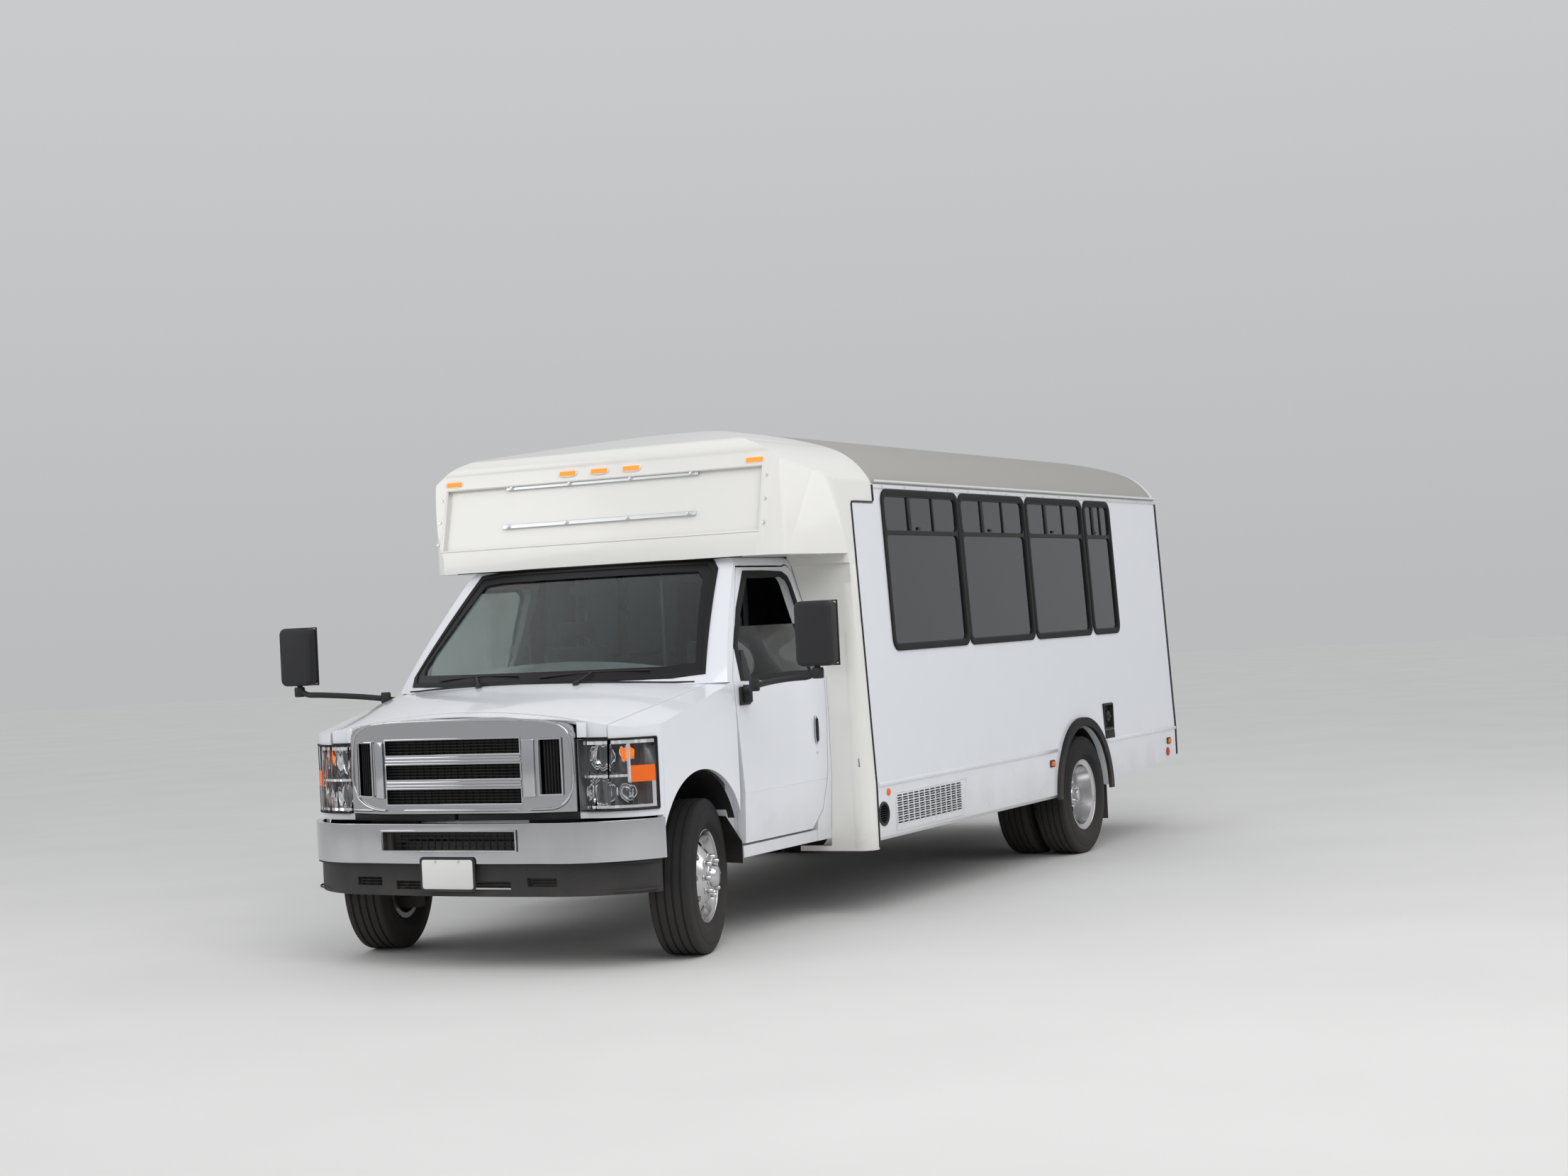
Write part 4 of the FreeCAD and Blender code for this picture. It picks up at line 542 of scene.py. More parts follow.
# name: (colour, roughness, metallic, coat, dust top in metres, dust amount, grain size, pebbles, bump)
OPAQUE = {
    # White body paint; its slight blue tint is painted cool shade.
    "white_paint": ((0.80, 0.82, 0.86), 0.16, 0.0, 0.6, 0.75, 0.40, 260, 0.0, 0.02),
    "cap_gelcoat": ((0.84, 0.83, 0.79), 0.20, 0.0, 0.4, 0.60, 0.45, 120, 0.0, 0.03),
    # The roof's colour is darkened to grey against the light falling on its top: painted shade.
    "roof_skin": ((0.40, 0.39, 0.36), 0.60, 0.0, 0.0, 0.60, 0.20, 90, 0.2, 0.06),
    "chassis_black": ((0.035, 0.035, 0.037), 0.45, 0.0, 0.0, 1.00, 0.50, 220, 0.3, 0.10),
    "cast_iron": ((0.10, 0.095, 0.09), 0.62, 0.75, 0.0, 1.10, 0.45, 330, 1.0, 0.35),
    "exhaust_steel": ((0.36, 0.32, 0.27), 0.48, 0.9, 0.0, 0.60, 0.40, 90, 0.2, 0.15),
    "tyre": ((0.018, 0.018, 0.019), 0.72, 0.0, 0.0, 0.60, 0.14, 420, 0.5, 0.20),
    "wheel_chrome": ((0.66, 0.66, 0.67), 0.16, 1.0, 0.0, 0.62, 0.22, 60, 0.0, 0.02),
    "bright_chrome": ((0.52, 0.53, 0.55), 0.06, 1.0, 0.0, 0.60, 0.12, 40, 0.0, 0.01),
    "black_plastic": ((0.030, 0.030, 0.032), 0.50, 0.0, 0.0, 0.60, 0.25, 520, 0.8, 0.25),
    "black_trim": ((0.012, 0.012, 0.013), 0.40, 0.0, 0.0, 0.60, 0.30, 300, 0.0, 0.05),
    "aluminium": ((0.70, 0.71, 0.72), 0.34, 1.0, 0.0, 0.60, 0.20, 150, 0.0, 0.08),
    "black_rubber": ((0.014, 0.014, 0.015), 0.60, 0.0, 0.0, 0.90, 0.30, 260, 0.4, 0.15),
    "grey_floor": ((0.15, 0.15, 0.16), 0.62, 0.0, 0.0, 0.90, 0.20, 340, 1.0, 0.30),
    "roof_white": ((0.72, 0.73, 0.74), 0.30, 0.0, 0.2, 0.60, 0.15, 80, 0.0, 0.03),
    # Near-black of the arch liners: partly their own black, partly painted shade inside the wheel arches.
    "liner_black": ((0.012, 0.012, 0.013), 0.75, 0.0, 0.0, 0.80, 0.25, 380, 1.0, 0.30),
    "lamp_grey": ((0.22, 0.22, 0.23), 0.40, 0.3, 0.0, 0.10, 0.00, 200, 0.0, 0.05),
    "plate_white": ((0.78, 0.78, 0.76), 0.35, 0.0, 0.2, 0.60, 0.20, 60, 0.0, 0.02),
    "lamp_bowl": ((0.85, 0.85, 0.86), 0.08, 1.0, 0.0, 0.10, 0.00, 30, 0.0, 0.01),
    "mirror_silver": ((0.80, 0.82, 0.84), 0.03, 1.0, 0.0, 0.10, 0.00, 30, 0.0, 0.0),
    "interior_grey": ((0.26, 0.26, 0.27), 0.65, 0.0, 0.0, 0.60, 0.10, 480, 1.0, 0.25),
}


def build_material(name):
    """The finish of that name, made once."""
    title = "finish_" + name
    if title in bpy.data.materials:
        return bpy.data.materials[title]
    made = bpy.data.materials.new(title)
    made.use_nodes = True
    tree = made.node_tree
    shader = tree.nodes["Principled BSDF"]
    settings = bpy.context.scene.minibus_finish
    if name in OPAQUE:
        colour, rough, metal, coat, top, amount, size, pebbles, bump = OPAQUE[name]
        # The body colour is white paint with a blue tint of painted cool shade.
        if name == "white_paint":
            colour = settings.body_colour_cool_shade
        elif name == "cap_gelcoat":
            colour = settings.cap_colour
        shader.inputs["Metallic"].default_value = metal
        shader.inputs["Coat Weight"].default_value = coat
        shader.inputs["Coat Roughness"].default_value = 0.05
        if max(colour) < 0.05 or name == "roof_skin":
            shader.inputs["Specular IOR Level"].default_value = 0.2
        dust = use(tree, dirt_group(), colour=(*colour, 1), dust=(*settings.dust_colour, 1), top=top,
                   amount=amount * settings.dust_amount, gloss=rough)
        grain = use(tree, grain_group(), size=float(size), pebbles=pebbles)
        lift = add(tree, "ShaderNodeBump")
        lift.inputs["Strength"].default_value = bump
        lift.inputs["Distance"].default_value = 0.001
        tree.links.new(dust.outputs["Colour"], shader.inputs["Base Color"])
        tree.links.new(dust.outputs["Roughness"], shader.inputs["Roughness"])
        tree.links.new(grain.outputs["Height"], lift.inputs["Height"])
        tree.links.new(lift.outputs[0], shader.inputs["Normal"])
    elif name == "seat_cloth":
        cloth = use(tree, weave_group(), colour=(*settings.seat_colour, 1), threads=420.0)
        cloth.inputs["Fleck"].default_value = (0.16, 0.17, 0.22, 1)
        shader.inputs["Roughness"].default_value = 0.9
        shader.inputs["Sheen Weight"].default_value = 0.35
        shader.inputs["Sheen Roughness"].default_value = 0.5
        lift = add(tree, "ShaderNodeBump")
        lift.inputs["Strength"].default_value = 0.5
        lift.inputs["Distance"].default_value = 0.001
        tree.links.new(cloth.outputs["Colour"], shader.inputs["Base Color"])
        tree.links.new(cloth.outputs["Height"], lift.inputs["Height"])
        tree.links.new(lift.outputs[0], shader.inputs["Normal"])
    else:
        glass_material(name, tree, shader)
    return made


GLASS = {
    # name: (colour, transmission, roughness, glow colour, glow strength)
    "tinted_glass": ((0.032, 0.048, 0.065), 0.80, 0.02, None, 0.0),
    # Windscreen and cab door glass: a green tint, darkened further to stand for the dim cab behind it, so
    # partly real tint and partly painted shade.
    "clear_screen": ((0.55, 0.63, 0.61), 1.0, 0.01, None, 0.0),
    "clear_lens": ((0.96, 0.97, 0.98), 1.0, 0.03, None, 0.0),
    # amber_lens and red_lens are unlit lenses, also used on reflectors and step nosings; their faint glow is
    # painted glow.
    "amber_lens": ((0.72, 0.13, 0.010), 0.10, 0.15, (1.0, 0.16, 0.01), 0.22),
    "amber_lit": ((0.85, 0.24, 0.02), 0.10, 0.15, (1.0, 0.22, 0.015), 0.9),
    "red_lens": ((0.55, 0.02, 0.015), 0.45, 0.12, (0.8, 0.02, 0.01), 0.10),
    "lamp_glow": ((1.0, 0.85, 0.6), 0.0, 0.2, (1.0, 0.72, 0.35), 1.6),
}


def glass_material(name, tree, shader):
    """Glass and lenses, with a faint film of dust and, for lenses, moulded ribs."""
    colour, clear_part, rough, glow, strength = GLASS[name]
    shader.inputs["Transmission Weight"].default_value = clear_part
    shader.inputs["IOR"].default_value = {"clear_lens": 1.12, "tinted_glass": 1.9}.get(name, 1.45)
    grain = use(tree, grain_group(), size=7.0, pebbles=0.0)
    film = add(tree, "ShaderNodeMapRange")
    film.inputs["From Min"].default_value = 0.35
    film.inputs["From Max"].default_value = 0.8
    film.inputs["To Min"].default_value = rough
    film.inputs["To Max"].default_value = rough + 0.07
    tree.links.new(grain.outputs["Mask"], film.inputs["Value"])
    tree.links.new(film.outputs[0], shader.inputs["Roughness"])
    tone = add(tree, "ShaderNodeMix", data_type="RGBA")
    tone.inputs[6].default_value = (*colour, 1)
    tone.inputs[7].default_value = (*[c * 0.86 for c in colour], 1)
    tree.links.new(grain.outputs["Mask"], tone.inputs[0])
    tree.links.new(tone.outputs[2], shader.inputs["Base Color"])
    # On amber_lit this glow is a lamp; on amber_lens and red_lens it is a painted glow.
    if glow:
        shader.inputs["Emission Color"].default_value = (*glow, 1)
        shader.inputs["Emission Strength"].default_value = strength
        place = add(tree, "ShaderNodeTexCoord")
        ribs = add(tree, "ShaderNodeTexWave", wave_type="BANDS", bands_direction="Y")
        ribs.inputs["Scale"].default_value = 90.0
        tree.links.new(place.outputs["Object"], ribs.inputs["Vector"])
        lift = add(tree, "ShaderNodeBump")
        lift.inputs["Strength"].default_value = 0.4
        lift.inputs["Distance"].default_value = 0.001
        tree.links.new(ribs.outputs["Fac"], lift.inputs["Height"])
        tree.links.new(lift.outputs[0], shader.inputs["Normal"])


# What a user would change

def colour_property(label, note, value):
    return FloatVectorProperty(name=label, description=note, default=value, subtype="COLOR", min=0.0, max=1.0)


class MinibusFinish(bpy.types.PropertyGroup):
    """Colours and dust."""
    # White paint whose slight blue tint is painted cool shade.
    body_colour_cool_shade: colour_property("Body colour", "Paint of the cab and the coach's sides", (0.80, 0.82, 0.86))
    cap_colour: colour_property("Cap colour", "Gelcoat of the moulded cap", (0.84, 0.83, 0.79))
    seat_colour: colour_property("Seat colour", "Ground colour of the seats' cloth", (0.045, 0.05, 0.07))
    dust_colour: colour_property("Dust colour", "Road dust low on the body", (0.23, 0.20, 0.17))
    dust_amount: FloatProperty(name="Dust", description="How much dust lies on everything",
                               default=1.0, min=0.0, max=2.0, subtype="FACTOR")
    edge_width: FloatProperty(name="Panel edge", description="Rounding of the panels' edges",
                              default=0.0025, min=0.0, max=0.01, unit="LENGTH", subtype="DISTANCE")


class MinibusWheels(bpy.types.PropertyGroup):
    """Tyres and wheel covers."""
    groove_depth: FloatProperty(name="Groove depth", description="Depth of the tread's grooves",
                                default=0.009, min=0.001, max=0.015, unit="LENGTH", subtype="DISTANCE")
    nut_count: IntProperty(name="Wheel nuts", description="Wheel nuts on each hub", default=8, min=4, max=10)
    nut_reach: FloatProperty(name="Nut length", description="How far the front nut covers stand out",
                             default=0.040, min=0.01, max=0.06, unit="LENGTH", subtype="DISTANCE")


class MinibusGlass(bpy.types.PropertyGroup):
    """Windows."""
    pane_top: FloatProperty(name="Driver's pane", description="Height of the lowered pane's upper edge",
                            default=1.56, min=1.35, max=1.82, unit="LENGTH", subtype="DISTANCE")
    border: FloatProperty(name="Screen border", description="Width of the windscreen's black border",
                          default=0.042, min=0.01, max=0.08, unit="LENGTH", subtype="DISTANCE")


class MinibusStage(bpy.types.PropertyGroup):
    """Floor and lights."""
    floor_colour: colour_property("Floor colour", "The studio's pale floor", (0.74, 0.735, 0.72))
    key_power: FloatProperty(name="Key light", description="Power of the large soft light",
                             default=300.0, min=0.0, max=5000.0, unit="POWER")
    fill_power: FloatProperty(name="Fill light", description="Power of the light from the other side",
                              default=110.0, min=0.0, max=3000.0, unit="POWER")


# The stage

CAMERA_PLACE = (12.718174593, 6.721770923, 1.580444252)
CAMERA_TURN = (0.4884913632, 0.0134088413, -0.0492944294)
CAMERA_LENS = 54.611


class MINIBUS_OT_stage(bpy.types.Operator):
    """Camera at the photograph's angle, soft lights, a pale world and a floor"""
    bl_idname = "minibus.stage"
    bl_label = "Stage"

    def execute(self, context):
        stage = context.scene.minibus_stage
        context.scene.view_settings.view_transform = "Standard"
        yaw, pitch, roll = CAMERA_TURN
        ahead = Vector((-math.cos(yaw) * math.cos(pitch), -math.sin(yaw) * math.cos(pitch), math.sin(pitch)))
        level = Vector((-math.sin(yaw), math.cos(yaw), 0))
        above = level.cross(ahead)
        right = math.cos(roll) * level + math.sin(roll) * above
        up = -math.sin(roll) * level + math.cos(roll) * above
        lens = bpy.data.cameras.new("Camera")
        lens.sensor_width = 36.0
        lens.lens = CAMERA_LENS
        lens.clip_end = 200.0
        camera = bpy.data.objects.new("Camera", lens)
        context.scene.collection.objects.link(camera)
        turned = Matrix((right, up, -ahead)).transposed().to_4x4()
        camera.matrix_world = Matrix.Translation(CAMERA_PLACE) @ turned
        context.scene.camera = camera

        self.lamp(context, "Key", (6.5, 5.5, 7.5), (1.5, 0.5, 1.0), 7.0, stage.key_power)
        self.lamp(context, "Fill", (7.5, -6.5, 4.5), (2.0, 0.0, 1.0), 5.0, stage.fill_power)
        self.lamp(context, "Side", (-4.0, 9.0, 5.0), (-1.0, 1.0, 1.0), 6.0, stage.fill_power)

        clear()
        bpy.ops.mesh.primitive_circle_add(vertices=96, radius=60, fill_type="NGON")
        floor = context.object
        floor.name = "Floor"
        bpy.ops.object.mode_set(mode="EDIT")
        bpy.ops.mesh.select_all(action="SELECT")
        bpy.ops.mesh.inset(thickness=50.0)
        bpy.ops.object.mode_set(mode="OBJECT")
        floor.data.materials.append(self.floor_finish(stage.floor_colour))
        self.sky(context)
        return {"FINISHED"}

    def lamp(self, context, name, place, target, size, power):
        data = bpy.data.lights.new(name, "AREA")
        data.shape = "DISK"
        data.size = size
        data.energy = power
        light = bpy.data.objects.new(name, data)
        context.scene.collection.objects.link(light)
        light.location = place
        light.rotation_euler = (Vector(target) - Vector(place)).to_track_quat("-Z", "Y").to_euler()

    def floor_finish(self, colour):
        made = bpy.data.materials.new("floor_finish")
        made.use_nodes = True
        tree = made.node_tree
        shader = tree.nodes["Principled BSDF"]
        shader.inputs["Roughness"].default_value = 0.75
        place = add(tree, "ShaderNodeTexCoord")
        cloud = add(tree, "ShaderNodeTexNoise")
        cloud.inputs["Scale"].default_value = 0.8
        cloud.inputs["Detail"].default_value = 8.0
        tree.links.new(place.outputs["Object"], cloud.inputs["Vector"])
        mix = add(tree, "ShaderNodeMix", data_type="RGBA")
        mix.inputs[6].default_value = (*[c * 0.94 for c in colour], 1)
        mix.inputs[7].default_value = (*[c * 1.05 for c in colour], 1)
        tree.links.new(cloud.outputs[0], mix.inputs[0])
        tree.links.new(mix.outputs[2], shader.inputs["Base Color"])
        return made

    def sky(self, context):
        """A pale grey surround that is a little brighter overhead."""
        world = bpy.data.worlds.new("Surround")
        context.scene.world = world
        world.use_nodes = True
        tree = world.node_tree
        place = add(tree, "ShaderNodeTexCoord")
        split = add(tree, "ShaderNodeSeparateXYZ")
        tree.links.new(place.outputs["Generated"], split.inputs[0])
        ramp = add(tree, "ShaderNodeValToRGB")
        ramp.color_ramp.elements[0].position = 0.0
        ramp.color_ramp.elements[0].color = (0.66, 0.67, 0.69, 1)
        ramp.color_ramp.elements[1].position = 0.55
        ramp.color_ramp.elements[1].color = (0.92, 0.93, 0.95, 1)
        tree.links.new(split.outputs[2], ramp.inputs[0])
        back = tree.nodes["Background"]
        back.inputs["Strength"].default_value = 0.75
        tree.links.new(ramp.outputs[0], back.inputs["Color"])


# The carried-over panels

def edge_finish(node, width):
    """Rounds a panel's edges while it is shown, and leaves its mesh as it is."""
    for facet in node.data.polygons:
        facet.use_smooth = True
    weld = node.modifiers.new("Weld", "WELD")
    weld.merge_threshold = 0.00002
    bevel = node.modifiers.new("Bevel", "BEVEL")
    bevel.width = width
    bevel.segments = 2
    bevel.limit_method = "ANGLE"
    bevel.angle_limit = math.radians(38)
    bevel.use_clamp_overlap = True
    even = node.modifiers.new("Even", "WEIGHTED_NORMAL")
    even.weight = 50
    even.keep_sharp = True


FINISH_OF = {
    "white_paint": ("cab_body", "driver_door", "passenger_door", "hood", "front_fenders", "side_wall_left",
                    "side_wall_right", "rear_wall", "rear_door"),
    "cap_gelcoat": ("front_cap",),
    "roof_skin": ("roof",),
    "chassis_black": ("frame_rails", "crossmembers", "radiator_support", "fuel_tank", "rear_bumper"),
    "cast_iron": ("engine_block", "rear_axle", "driveline", "front_axle", "knuckle_left", "knuckle_right"),
    "exhaust_steel": ("exhaust",),
    "tyre": ("front_tyre_left", "front_tyre_right", "rear_tyres_left", "rear_tyres_right"),
    "wheel_chrome": ("front_rim_left", "front_rim_right", "rear_rims_left", "rear_rims_right"),
    "bright_chrome": ("grille", "front_bumper"),
    "black_plastic": ("grille_mesh", "bumper_valance", "mirror_left", "mirror_right", "fuel_filler",
                      "dashboard", "steering_wheel"),
    "black_trim": ("window_frames", "entry_door_front", "entry_door_rear"),
    "clear_lens": ("headlamps",),
    "amber_lit": ("roof_lamps",),
    "amber_lens": ("side_and_tail_lamps",),
    "aluminium": ("sign_rails",),
    "tinted_glass": ("window_glass", "rear_door_glass", "entry_door_front_glass", "entry_door_rear_glass"),
    "clear_screen": ("windshield", "driver_door_glass", "passenger_door_glass"),
    "black_rubber": ("wheel_flares", "mud_flaps"),
    "grey_floor": ("body_floor",),
    "seat_cloth": ("cab_seats", "passenger_seats"),
}


class MINIBUS_OT_panels(bpy.types.Operator):
    """Gives every carried-over panel its finish and soft edges"""
    bl_idname = "minibus.panels"
    bl_label = "Panels"

    def execute(self, context):
        width = context.scene.minibus_finish.edge_width
        for finish, names in FINISH_OF.items():
            made = build_material(finish)
            for name in names:
                node = NODES[name]
                node.data.materials.clear()
                node.data.materials.append(made)
                for facet in node.data.polygons:
                    facet.material_index = 0
                thin = finish in ("tinted_glass", "clear_screen")
                edge_finish(node, 0.0006 if thin else width)
        return {"FINISHED"}


# Wheels

HUB = (-AHEAD, 0.0, 0.0)
RIM_LIP = ((84, 217), (88.6, 216), (91, 219), (90.5, 223), (87, 224.5), (84, 222))
HALF_TREAD = ((67, 203.6), (80, 221.6), (87, 225), (90, 232), (97, 239), (99, 246), (105, 251), (110.5, 264),
              (112.4, 280), (112.2, 296), (110, 313), (107, 327), (105, 329), (104.5, 338), (101, 352),
              (97.5, 362), (92, 368.5), (86, 371.2), (66, 371.6))
RIBS = ((54, 371.8), (25, 372), (13, 372))


def tyre_profile(depth):
    """Half of the section with four grooves, and its mirror image."""
    half = list(HALF_TREAD)
    foot = 371.8 - depth * 1000
    half += [(64, foot), (56, foot), RIBS[0], RIBS[1], (23, foot), (15, foot), RIBS[2]]
    return half + [(-across, out) for across, out in reversed(half)]


def placed(piece, name, matrix):
    """A copy of a piece drawn at the frame's origin, put where the matrix says."""
    pick(piece)
    bpy.ops.object.duplicate()
    made = bpy.context.object
    made.name = name
    made.matrix_world = matrix
    bpy.ops.object.transform_apply(location=True, rotation=True, scale=True)
    return made


def wheel_places():
    """Side, name, place of the front wheel and place of the outer rear wheel."""
    for side, word in SIDES:
        half_turn = 0.0 if side > 0 else math.pi
        middle = point(-side * FRONT_REACH * math.sin(STEER),
                       side * (KINGPIN + FRONT_REACH * math.cos(STEER)), WHEEL_HEIGHT)
        front = Matrix.Translation(middle) @ Matrix.Rotation(STEER + half_turn, 4, "Z")
        rear = Matrix.Translation(point(-WHEELBASE, side * OUTER_TRACK, WHEEL_HEIGHT)) @ Matrix.Rotation(
            half_turn, 4, "Z")
        yield side, word, front, rear


def drop(*pieces):
    for piece in pieces:
        bpy.data.objects.remove(piece)


class MINIBUS_OT_tyres(bpy.types.Operator):
    """Six tyres with grooved treads and cut shoulders"""
    bl_idname = "minibus.tyres"
    bl_label = "Tyres"

    def execute(self, context):
        depth = context.scene.minibus_wheels.groove_depth
        steps = 160
        master = lathe("tyre_master", tyre_profile(depth), HUB, (0, 1, 0), steps, 40)
        for facet in master.data.polygons:
            across = abs(facet.center.y) * 1000
            turn = math.atan2(facet.center.z, facet.center.x) / (2 * math.pi) * steps
            shoulder = 66 < across < 86 and facet.center.xz.length > 0.368
            facet.select = shoulder and int(turn + steps) % 4 == 0
        bpy.ops.object.mode_set(mode="EDIT")
        bpy.ops.mesh.select_mode(type="FACE")
        bpy.ops.mesh.extrude_region_shrink_fatten(TRANSFORM_OT_shrink_fatten={"value": -0.6 * depth})
        bpy.ops.object.mode_set(mode="OBJECT")
        soften(master, angle=40)
        inward = Matrix.Translation((0, -DUAL_SPACING / 1000, 0))
        for _, word, front, rear in wheel_places():
            fit(placed(master, "front_tread_" + word, front), "tyre", "front_wheel_" + word,
                stands_for=("front_tyre_" + word,))
            pair = join("rear_treads_" + word, [placed(master, "outer", rear),
                                                placed(master, "inner", rear @ inward)])
            fit(pair, "tyre", "rear_wheels_" + word, stands_for=("rear_tyres_" + word,))
        drop(master)
        return {"FINISHED"}


class MINIBUS_OT_hubs(bpy.types.Operator):
    """Wheel nuts, hub caps, axle flanges, valves and brake discs"""
    bl_idname = "minibus.hubs"
    bl_label = "Hubs and nuts"

    def execute(self, context):
        wheels = context.scene.minibus_wheels
        reach = wheels.nut_reach * 1000
        count = wheels.nut_count
        cap = lathe("cap", ((104, 0), (104, 60), (110, 60), (114, 55), (134, 53), (147, 44), (153, 27),
                            (155, 0)),
                    HUB, (0, 1, 0), 48)
        nut = self.nut(92, 97, reach)
        nuts = ring_of(nut, count, HUB, (0, 1, 0))
        lip = lathe("lip", RIM_LIP, HUB, (0, 1, 0), 96)
        valve = rod("valve", [(-AHEAD + 182, 52, 0), (-AHEAD + 178, 68, 0), (-AHEAD + 172, 84, 0)], 4)
        front = join("front_cover", [cap, nuts, lip, valve])

        flange = lathe("flange", ((-4, 0), (-4, 66), (30, 64), (36, 60), (38, 34), (56, 31), (60, 26),
                                  (62, 0)),
                       HUB, (0, 1, 0), 48)
        bolt = lathe("bolt", ((34, 0), (34, 8), (46, 8), (47, 6), (47, 0)), (-AHEAD + 48, 0, 0), (0, 1, 0),
                     6, 20)
        bolts = ring_of(bolt, count, HUB, (0, 1, 0))
        nuts = ring_of(self.nut(104, -34, reach * 0.8), count, HUB, (0, 1, 0))
        lip = lathe("lip", RIM_LIP, HUB, (0, 1, 0), 96)
        rear = join("rear_cover", [flange, bolts, nuts, lip])

        disc = lathe("disc", ((-52, 60), (-52, 164), (-40, 166), (-38, 164), (-26, 164), (-26, 60)), HUB,
                     (0, 1, 0), 64)
        for _, word, front_place, rear_place in wheel_places():
            fit(placed(front, "front_hub_cap_" + word, front_place), "wheel_chrome", "front_wheel_" + word)
            fit(placed(rear, "rear_hub_" + word, rear_place), "wheel_chrome", "rear_wheels_" + word)
            fit(placed(disc, "brake_disc_" + word, front_place), "cast_iron", "front_wheel_" + word)
        drop(front, rear, disc)
        return {"FINISHED"}

    def nut(self, ring, foot, reach):
        """A wheel nut with its tall cover, at a distance from the hub's axis."""
        profile = ((foot, 0), (foot, 17), (foot + 4, 17), (foot + 7, 13), (foot + reach * 0.75, 12),
                   (foot + reach * 0.93, 9), (foot + reach, 4), (foot + reach, 0))
        return lathe("nut", profile, (-AHEAD + ring, 0, 0), (0, 1, 0), 12, 30)


# The front

class MINIBUS_OT_grille(bpy.types.Operator):
    """Chrome lips round the grille's openings, with black blades and mesh behind them"""
    bl_idname = "minibus.grille"
    bl_label = "Grille"

    def execute(self, context):
        clear_height = (1092 - 785 - 2 * 45) / 3
        lips = []
        blades = []
        for row in range(3):
            low = 785 + row * (clear_height + 45)
            lips.append(self.lip("lip", (-390, 390), (low, low + clear_height), 643))
            for count in range(1, 5):
                z = low + clear_height * count / 5
                blades.append(block("blade", (598, 626), (-389, 389), (z - 1.6, z + 1.6), 0.8, 1))
            for count in range(-9, 10):
                blades.append(block("blade", (596, 606), (count * 40 - 1.5, count * 40 + 1.5),
                                    (low, low + clear_height), 0.6, 1))
        for side in (1, -1):
            y = sorted((side * 486, side * 590))
            lips.append(self.lip("lip", y, (825, 1082), 632, side))
            for count in range(1, 7):
                across = side * (486 + 104 * count / 7)
                front = 642 - (abs(across) - 400) * 0.26 - 10
                blades.append(block("blade", (front - 32, front), (across - 1.6, across + 1.6), (826, 1081),
                                    0.8, 1))
        fit(join("grille_lips", lips), "bright_chrome")
        fit(join("grille_blades", blades), "black_plastic")
        bars = []
        for row in (1, 2):
            low = 785 + row * (clear_height + 45) - 45
            bars.append(block("bar", (636, 651), (-392, 392), (low + 9, low + 22), 5, 3))
            bars.append(block("bar", (636, 648), (-392, 392), (low + 25, low + 37), 4, 2))
        for side in (1, -1):
            post = [(641, side * 404, 812), (626, side * 462, 812), (626, side * 462, 1086),
                    (641, side * 404, 1086)]
            bars.append(plate("post", post, (13, 0, 0), 7, 3))
        fit(join("grille_bars", bars), "bright_chrome")

        rim = [(582, -640, 756), (646, -400, 756), (646, 400, 756), (582, 640, 756), (582, 640, 1080),
               (588, 588, 1150), (640, 430, 1178), (646, 0, 1182), (640, -430, 1178), (588, -588, 1150),
               (582, -640, 1080)]
        frame_bar = rod("grille_rim", rim + rim[:2], 7, smooth=True, sides=3)
        fit(frame_bar, "bright_chrome")

        slot = []
        for count in range(1, 5):
            z = 571 + 91 * count / 5
            slot.append(block("slot", (646, 652), (-384, 384), (z - 2, z + 2), 0.8, 1))
        for count in range(-9, 10):
            slot.append(block("slot", (640, 648), (count * 40 - 2, count * 40 + 2), (571, 662), 0.8, 1))
        fit(join("bumper_mesh", slot), "black_plastic")
        fit(self.lip("bumper_slot_lip", (-385, 385), (571, 662), 709), "bright_chrome")
        return {"FINISHED"}

    def lip(self, name, y, z, x, side=0):
        """A thin chrome rim round an opening; those of the side openings lean back."""
        def ring(grow):
            corners = []
            for across, up in ((y[0] - grow, z[0] - grow), (y[1] + grow, z[0] - grow),
                               (y[1] + grow, z[1] + grow), (y[0] - grow, z[1] + grow)):
                back = (abs(across) - 486) * 0.26 if side else 0.0
                corners.append((x - back, across, up))
            return corners
        return band(name, ring(6), ring(-2), 6, 2)


